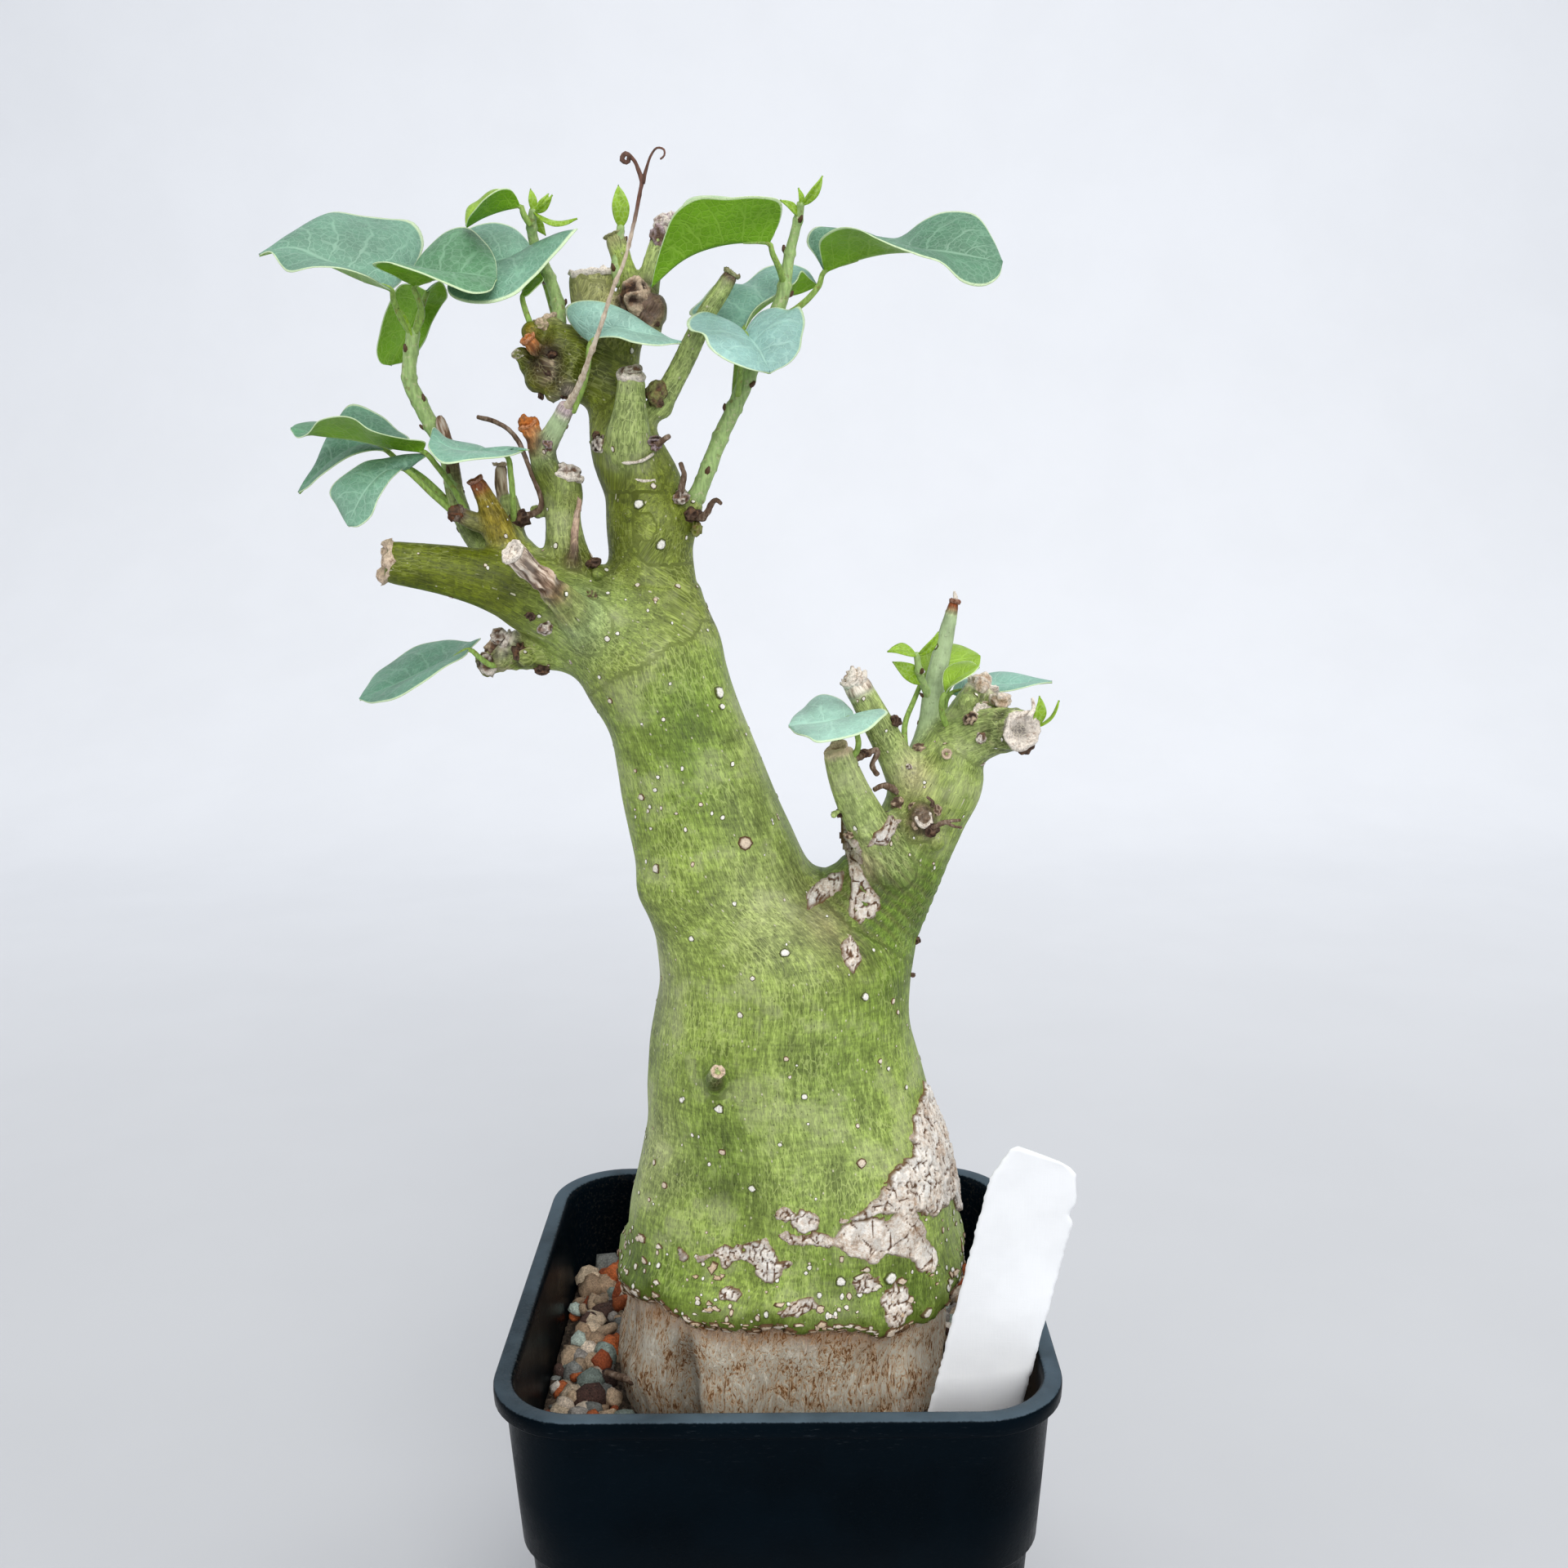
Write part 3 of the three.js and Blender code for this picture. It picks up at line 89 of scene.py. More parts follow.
# Limbs: points [x, y, z, radius], blend with the parent, colour at the root and at the tip, length of
# the tip's colour, dryness of the tip
LIMBS = {
    "main_top": ([[-23, 0, 218, 11], [-21.6, 1, 227, 8.2], [-21.8, 1, 235, 7.5], [-21.8, 0, 242, 7.7],
                  [-22.7, 1, 248, 7.1], [-25.6, 1.4, 255, 6.5], [-27.6, 3, 262.5, 5], [-28.3, 4, 271, 4.3]],
                 7, "moss", "moss", 1, 0),
    "crown_left": ([[-28.3, 4, 270, 4.3], [-29.8, 4, 276.8, 4.1], [-31.2, 4, 281, 3.9],
                    [-31.6, 4, 286.2, 3.8]], 2, "khaki", "khaki", 2, 0),
    "crown_right": ([[-28.1, 5, 271, 4.1], [-25.2, 4, 277.4, 4], [-22.8, 3, 281, 3.5]], 2, "olive",
                    "umber", 5, 0.3),
    "crown_right_a": ([[-23.6, 4, 280, 2.4], [-25.5, 5, 286.7, 1.9], [-27.3, 6, 292.7, 1.9]], 1.2, "green",
                      "khaki", 3, 0),
    "crown_right_b": ([[-22.2, 4, 280, 2.4], [-20.4, 6, 288, 1.9], [-18.1, 8, 294.6, 1.9]], 1.2,
                      "pale_green", "cork", 3, 0.5),
    "gnarl": ([[-29, 4, 267.5, 4.4], [-34.5, 3, 269.8, 6.2], [-38.6, 1, 271.4, 5.9], [-41, -1, 273, 3.6]],
              2.5, "olive", "olive", 2, 0),
    "gnarl_top": ([[-37.7, 2, 272.5, 3.2], [-39, 2, 276, 2.6], [-40, 2, 277.8, 2.3]], 1.5, "khaki",
                  "khaki", 2, 0),
    "gnarl_tip": ([[-38.6, -2, 269.6, 1.7], [-40.2, -4.6, 271.8, 1.45], [-41.6, -5.8, 274, 1.3]], 0.5,
                  "rust", "orange", 2.4, 0.1),
    "front_stub": ([[-25, -3.6, 254.4, 3.9], [-24.7, -4.4, 257.4, 3.9], [-24.2, -5.3, 261, 3.2],
                    [-24, -6, 264, 2.7], [-23.7, -6.5, 267.5, 2.4]],
                   0.6, "pale_green", "pale_green", 2, 0.2),
    "right_twig": ([[-23, 1, 259.5, 2], [-19.2, -1, 263.2, 2.2], [-16.4, -2, 267.4, 2],
                    [-13.5, -3, 272.5, 1.9], [-10.4, -4, 278.3, 1.7], [-8, -4, 281.6, 1.6],
                    [-6, -4, 284.7, 1.4]], 1.5, "pale_green", "umber", 2, 0.3),
    "left_limb": ([[-23, 0, 218, 9.5], [-33, -4, 225, 7.7], [-42.4, -8, 230, 6.1], [-53, -11, 233.8, 4.7],
                   [-66.2, -14.4, 236.4, 3.6]], 6, "green", "olive", 34, 0),
    "under_left": ([[-28, -1, 221, 6], [-36.4, -2, 220.3, 4.8], [-43, -2, 219.6, 3.6], [-47.8, -1, 218.8, 3],
                    [-53, 0, 216.5, 2]], 3, "green", "khaki", 7, 0),
    "under_left_knob": ([[-42, -2, 219.2, 3], [-48, -3, 221.5, 1.9]], 1.2, "khaki", "cork", 2, 0.3),
    "dry_stub": ([[-32, -9, 224, 4], [-35.5, -16, 229.4, 2.6], [-39.4, -21, 234.6, 2.2],
                  [-42.3, -25, 238, 2]], 1.2, "pale_green", "cork", 12, 1),
    "fork_stub": ([[-33, -2, 226, 6.2], [-35.8, -4, 234.6, 4.2], [-36.8, -4, 242.4, 3.1],
                   [-36.6, -4, 248, 3.2], [-35.9, -4, 250.5, 2.6]], 3, "olive", "pale_green", 16, 0),
    "fork_stub_left": ([[-36.6, -4, 247, 3.2], [-39.6, -4, 252, 2.5], [-40.5, -4, 255.5, 2],
                        [-42.4, -4, 259.3, 1.7]], 1, "olive", "orange", 6, 0.25),
    "fork_stub_twig": ([[-40, -4, 253.5, 1.9], [-38.6, -5, 256.7, 1.9], [-36.4, -6.5, 260, 1.7],
                        [-34.6, -7.5, 263, 1.5]], 0.8, "mint", "lilac", 3, 0.2),
    "shared_base": ([[-42.5, -6, 228.5, 5.2], [-47, -5, 237.5, 4.8]], 3, "olive", "green", 6, 0),
    "left_twig": ([[-47, -5, 235, 3.8], [-53.4, -3, 240.4, 1.9], [-55.7, -2, 245.4, 1.8],
                   [-57, -1.5, 250.5, 1.6]], 1.8, "pale_green", "pale_green", 2, 0),
    "left_dry": ([[-56, -2, 250, 1.2], [-57, -3, 256.5, 1.3], [-58.4, -3, 261.5, 0.7]], 0.6, "umber",
                 "umber", 9, 0.9),
    "yellow_stub": ([[-46, -6, 236, 3.2], [-47.8, -9, 242.6, 2.4], [-49.2, -11, 247, 1.7],
                     [-50.6, -12, 250, 1.4]], 1.2, "ochre", "rust", 3, 0.3),
    "side_stub": ([[-48, -7, 241.5, 1.9], [-52.3, -10, 243.2, 1.6], [-54.1, -11, 244.4, 1.4]], 0.8,
                  "khaki", "umber", 1.5, 0.5),
    "right_stub": ([[-45, -4, 235, 2.8], [-45.8, -4, 242.5, 2], [-46.5, -4, 247.5, 1.6]], 1.2,
                   "pale_green", "pale_green", 2, 0),
    "pale_stub": ([[-46.5, -3, 241, 1.4], [-48, -1, 248.2, 1.2], [-48.2, -1, 252.8, 1.2]], 0.6, "straw",
                  "straw", 8, 0.8),
    "pink_twig": ([[-35.5, -5, 233, 1.4], [-34.5, -9, 237, 1], [-34, -9, 242, 0.8], [-33, -8.5, 247, 0.6]],
                  0.5, "umber", "pink", 11, 0.4),
    "right_limb": ([[0, 0, 146, 18.5], [7, 0, 156, 15.5], [13, 0, 164, 12.4], [18.5, 0, 171, 10.2],
                    [24, 0, 179, 8.4], [28, 0, 187.4, 7.9], [30.9, 0, 193.6, 7.5], [33, 1, 198, 6.4]],
                   5, "deep_green", "green", 20, 0),
    "limb_left": ([[28, -1, 188, 5.2], [22.8, -3, 198.8, 3.3], [18.8, -5, 206.7, 2.8], [15, -6, 213.8, 2.3]],
                  2, "pale_green", "cork", 3, 0.8),
    "limb_right": ([[31.5, 0, 194, 6.8], [34, 2, 201, 5], [37.3, 4, 206.7, 4], [39.3, 5, 211.5, 2.8]], 3,
                   "pale_green", "cork", 2, 0.3),
    "limb_end": ([[34, 0, 200.5, 4.8], [40.2, -3.4, 203.8, 4.3], [43.6, -6.6, 204.7, 3.9],
                  [44.7, -9.2, 205, 3.5]], 2, "pale_green", "cork", 1.2, 0.2),
    "limb_green": ([[27, 1, 195, 3.6], [29, 3, 204, 2.1], [30.2, 4, 211.4, 2], [32, 5, 219, 1.7],
                    [34, 6, 227, 1]], 1.2, "mint", "rust", 2.6, 0),
    "limb_low": ([[22, -5, 179, 5], [16.6, -9, 189, 3.9], [13.3, -10, 196.4, 3.2], [11.7, -10, 202, 2.7]],
                 2, "pale_green", "straw", 1.5, 0.3),
    "limb_knob": ([[26.5, -5, 186, 3.4], [27.3, -10, 189, 1.6]], 1.2, "khaki", "umber", 3, 0.4),
    "trunk_stub": ([[-10.5, -16, 141.5, 2.6], [-10.5, -26.5, 146.5, 1.6], [-9.8, -29, 148.6, 1.3]], 0.5,
                   "deep_green", "pale_green", 3, 0),
    "stem_foot": ([[-17, 0, 241, 3.4], [-14.5, -1, 244.5, 2.4], [-13.5, -1, 246.5, 1.9]], 1.6, "olive",
                  "pale_green", 2, 0),
}

# Rounded knots, buds and calluses grown on the wood: x, y, z, radius, blend
KNOTS = [
    [-41.4, -2, 275.4, 2, 1.2], [-43.4, -2, 271.6, 1.6, 0.8], [-33.5, -2.4, 271.6, 2.2, 1],
    [-35.2, -3, 266.4, 2.4, 0.8], [-40.8, -1.8, 267.2, 2.5, 0.8], [-38, -2.6, 264.6, 1.6, 0.6],
    [-42.6, -0.8, 269.6, 1.8, 0.6], [-34.4, -4.2, 269, 1.3, 0.5], [-21, 0, 279, 3.4, 1.4],
    [-20.4, -1.4, 275.5, 1.8, 1], [-29.4, -4.4, 255.8, 1.2, 0.8], [-20.6, -5, 255.8, 1.2, 0.8],
    [-29.5, 0, 256, 1.4, 0.8], [-18.6, -1, 262, 1.6, 0.8], [-30.5, -8.5, 233.5, 1.1, 0.6],
    [-41.5, -3.6, 244.3, 1.4, 0.6], [-29.5, -9.5, 225.5, 2.2, 1.5], [-33, -10.5, 222.5, 2, 1.4],
    [-48.5, -8, 240, 1.6, 0.8], [-55, -3, 243.5, 1.2, 0.6], [-38.4, -6, 252, 1.5, 0.6],
    [-38.6, -6.4, 255.4, 1.1, 0.5], [31.5, -6, 200.5, 1.6, 0.8], [22.5, -6.5, 189, 1.7, 0.9],
    [38, -3, 205.5, 2, 1], [41, 0, 206.5, 2, 1], [36, 0, 209, 1.8, 0.8], [27, -8, 190, 2.4, 1.2],
    [11, -12, 190.5, 1, 0.5], [16.5, -12.5, 186.5, 1.1, 0.6], [30, -7.8, 184, 1.5, 0.8],
    [-44, -6, 218.5, 1.6, 0.8], [-49, -3.4, 218, 1.6, 0.8], [-24.5, -10.5, 244, 1, 0.5],
    [-51.5, -14.2, 233, 1.1, 0.6],
]

# Pits and hollows cut into the wood: x, y, z, radius
HOLLOWS = [
    [-37.6, -6, 270.6, 2.5], [-38, -5.4, 267.6, 1.6], [-36.2, -5.6, 273, 1.3], [-43.8, -3.6, 272, 0.6],
    [-40.8, -4.4, 270.2, 1], [-32.4, -5, 269.6, 1], [-20, -3.4, 278.4, 1.3], [-42.9, -25.8, 238.6, 1.1],
    [-9, -28.2, 146.4, 1.1], [-12.4, -27.4, 145.6, 1], [-23.8, -7, 268.6, 1],
]

# Crumbled, corky areas of the skin: x, y, z, reach, depth of the furrows
CRUMBLED = [
    [-39, -3, 270, 3.6, 0.7], [-22.6, 1, 280, 4.5, 1.3], [-47.5, -3, 219, 6, 0.8], [42.5, -6, 205, 5, 0.7],
    [-24, -5, 266, 3, 0.5], [-41, -4, 256, 3.5, 0.5], [-38.5, -20, 233.5, 6, 0.8], [27, -8, 188.5, 3, 0.8],
    [38, 3, 208, 4, 0.6], [-18, 7.5, 293, 3, 0.6], [-55, -9, 243.5, 3, 0.6], [21, -9, 187, 3, 0.5],
    [-43, -4, 243, 3, 0.6],
]

# Crumbly growths on the skin: x, y, z, radius, colour of the furrows and of the ridges
GROWTHS = [
    [-40.2, -1, 276.4, 1.7, "khaki", "straw"], [-43.8, -2.6, 271.6, 1, "khaki", "cork"],
    [-37.8, -3.4, 271.4, 1.1, "coal", "coal"], [-38.6, -3.4, 268.4, 0.9, "coal", "umber"],
    [-40.2, -1.8, 264.6, 0.8, "coal", "umber"], [-36, -3.2, 264.4, 0.7, "coal", "umber"],
    [-23.2, -0.4, 280.9, 2.8, "coal", "straw"], [-21.6, -1, 278.8, 1.6, "coal", "cork"],
    [-21.4, -1, 282, 1.2, "coal", "straw"], [-19.6, -1.6, 276.4, 1.1, "coal", "umber"],
    [-36.1, -16.9, 229.9, 1.9, "coal", "rust"], [-18, 7.6, 294.6, 2.3, "lilac", "cork"],
    [-19.4, 6.6, 292.2, 1.9, "umber", "lilac"], [-29.9, -4.6, 256, 1.5, "coal", "cork"],
    [-30.4, -2.6, 257.4, 0.9, "coal", "umber"], [-20, -5.4, 256, 1.4, "coal", "lilac"],
    [-30.6, -0.6, 259.8, 0.8, "coal", "umber"], [-19.6, -3.4, 264.2, 2.1, "umber", "khaki"],
    [-15.6, -4.6, 246.6, 1.6, "umber", "cork"], [-14, -3.6, 243.6, 1.7, "coal", "umber"],
    [-13.2, -3, 241.2, 1.5, "olive", "khaki"], [-41.8, -13.4, 226.6, 1.1, "coal", "umber"],
    [-39.3, -12.8, 224.4, 1.4, "umber", "cork"], [-31.5, -10.6, 229.8, 1, "umber", "pale_green"],
    [-31.2, -7.6, 235.4, 1.3, "coal", "umber"], [-49.2, -3.8, 222.2, 1.9, "umber", "cork"],
    [-45.3, -5, 219.4, 1.6, "coal", "umber"], [-51.8, -3, 217.2, 2, "umber", "cork"],
    [-41.4, -4, 216.2, 1.4, "coal", "umber"], [-35.3, -7.4, 218.2, 1, "umber", "cork"],
    [-50, -1.6, 219.8, 1.8, "umber", "straw"], [-54.4, -11, 244.3, 1.6, "umber", "rust"],
    [-44.2, -5, 243.2, 1.8, "coal", "umber"], [-38.6, -6.8, 255.6, 1.2, "umber", "lilac"],
    [-46.8, -7.6, 236.6, 1.3, "coal", "umber"], [26.5, -9, 188.2, 1.3, "umber", "straw"],
    [28.6, -10.6, 187, 1.2, "coal", "umber"], [25.6, -8.2, 190.6, 1.1, "umber", "straw"],
    [29.6, -8, 190.2, 1, "umber", "straw"], [12, -10.6, 190.4, 0.9, "coal", "umber"],
    [13.6, -10.8, 186.4, 0.9, "umber", "straw"], [20, -11, 185.4, 1.6, "umber", "cork"],
    [21.6, -7.4, 188.2, 1.6, "umber", "cork"], [22.8, -5.6, 191, 1.3, "umber", "straw"],
    [22.4, -5.8, 206.4, 1.1, "coal", "umber"], [24.8, -6, 198, 0.8, "umber", "cork"],
    [36.2, -4.6, 206.4, 1.3, "coal", "straw"], [37.8, -6.8, 203.2, 1.2, "umber", "cork"],
    [45.8, -7.4, 201.8, 1.4, "coal", "umber"], [42, -2.4, 209.4, 1.7, "straw", "cork"],
    [38.8, 3.6, 211.4, 2.2, "straw", "cork"], [39.6, 0.8, 208, 1.2, "straw", "cork"],
    [27.4, -2, 200.4, 1.4, "umber", "straw"], [37.7, -3.2, 198, 1.1, "umber", "cork"],
    [16.6, -9.2, 201, 1, "coal", "umber"], [26.4, -3.4, 164.4, 0.8, "coal", "umber"],
    [25.8, -4.4, 158, 0.6, "umber", "umber"], [14.7, -6, 214.6, 1.6, "straw", "cork"],
    [-42.4, -4, 259.4, 1.5, "orange", "orange"], [-36.2, -4.2, 251, 2.2, "umber", "cork"],
    [-23.7, -6.2, 267.8, 2, "umber", "cork"],
]

# Painted shade, darkening the wood's colour in hollows and creases, and a darker ring at the dry stub's
# base: x, y, z, reach, strength
PAINTED_SHADES = [
    [-9.7, -23, 124, 3.2, 0.5], [-9.8, -24.4, 132, 2.6, 0.45], [-10, -25, 138, 2.2, 0.35],
    [-24.4, -7, 251.6, 3.5, 0.35], [26, -7, 170, 3, 0.3], [5, -12, 172, 4, 0.3], [-30, -8, 231, 3, 0.3],
    [-35.4, -15.6, 229, 1.5, 0.55], [-10.2, -25.6, 144.6, 1.8, 0.6], [-12, -24, 147, 3, 0.3],
    [12, -26, 104, 5, 0.3], [-24, -16, 104, 6, 0.3], [22, -20, 103, 5, 0.35], [-4, -28, 101, 4, 0.25],
]

FORK_FOLDS = [20, -10, 174]  # middle of the folds in the fork
FOLD_RUN = [0.68, 0.05, 0.73]  # direction in which one fold follows the next
FOLD_START = 1.36  # how far before the middle their sine starts, in millimetres

# Thin ridges left by old rings and creases: lines on the skin with a radius
RIDGES = [
    [[-28.6, -3.4, 254.2, 0.25], [-27, -5.8, 253.2, 0.3], [-24.4, -7, 252.7, 0.35], [-22, -6.4, 253.1, 0.3],
     [-20.4, -4.8, 254.2, 0.25]],
    [[-23.8, -5.6, 249.9, 0.2], [-22, -5.8, 249.5, 0.3], [-20.2, -5.2, 249.7, 0.2]],
    [[14.8, -6.4, 213.4, 1.2], [14.6, -6.6, 215, 0.9], [14.5, -6.8, 216.4, 0.35]],
    [[15.8, -6.6, 213.8, 0.8], [15.7, -6.6, 216.2, 0.3]],
    [[34.2, 6, 226.4, 0.6], [34.2, 6, 227.8, 0.5], [34, 6, 228.8, 0.2]],
    [[45.8, -10.4, 207.6, 0.5], [46.8, -9, 208.8, 0.4], [46.8, -7.4, 210.4, 0.3]],
]

# Thin dried curls on the wood
CURLS = [
    [[-15, -1, 244, 0.9], [-15.5, -5, 248, 0.6], [-15, -6, 250.5, 0.5], [-15.5, -6, 252.5, 0.4]],
    [[-14, -1, 244, 0.9], [-12, -4.5, 243, 0.7], [-9.5, -7, 246, 0.5], [-8.5, -8, 245.5, 0.4]],
    [[26, -6, 187, 0.7], [28.5, -10.5, 187.5, 0.5], [31, -11.5, 188.8, 0.4], [33.6, -12, 189.2, 0.3]],
    [[31, -11.5, 188.8, 0.35], [32.4, -12.4, 188.2, 0.25], [33.8, -12.6, 188, 0.2]],
    [[28.6, -8, 190.6, 0.5], [28.8, -10, 192.2, 0.35], [27.8, -10.6, 193.2, 0.25]],
    [[12.5, -10, 199.5, 1], [16, -9.4, 200.6, 0.7], [19, -8.5, 201.5, 0.5], [18, -8.5, 198.5, 0.5],
     [19, -8, 197, 0.5]],
    [[-20.2, -5.4, 255.8, 0.8], [-18.6, -6.2, 256.4, 0.6], [-17.4, -6.6, 257.2, 0.45]],
    [[24, -4, 192.5, 0.9], [20.5, -6, 194.5, 0.6], [18.5, -7, 194, 0.5]],
]

# Twigs lying on the gravel
LITTER = [
    [[-33.4, -11, 80.6, 0.6], [-28, -15, 81.2, 0.7], [-22.1, -20.2, 80.4, 0.5]],
    [[7, -36, 80.2, 0.4], [10, -37.5, 80.8, 0.45], [14, -37, 80.2, 0.35]],
    [[35, -22, 80.2, 0.5], [38, -18, 80.9, 0.5], [40, -12, 80.3, 0.35]],
    [[-20, -36, 80.3, 0.35], [-15, -38, 80.9, 0.4], [-11, -36.5, 80.4, 0.3]],
    [[-30, 20, 80.4, 0.5], [-24, 31, 81, 0.5], [-16, 36, 80.3, 0.4]],
    [[14, 34, 80.3, 0.4], [22, 36, 80.9, 0.45], [31, 30, 80.3, 0.4]],
]

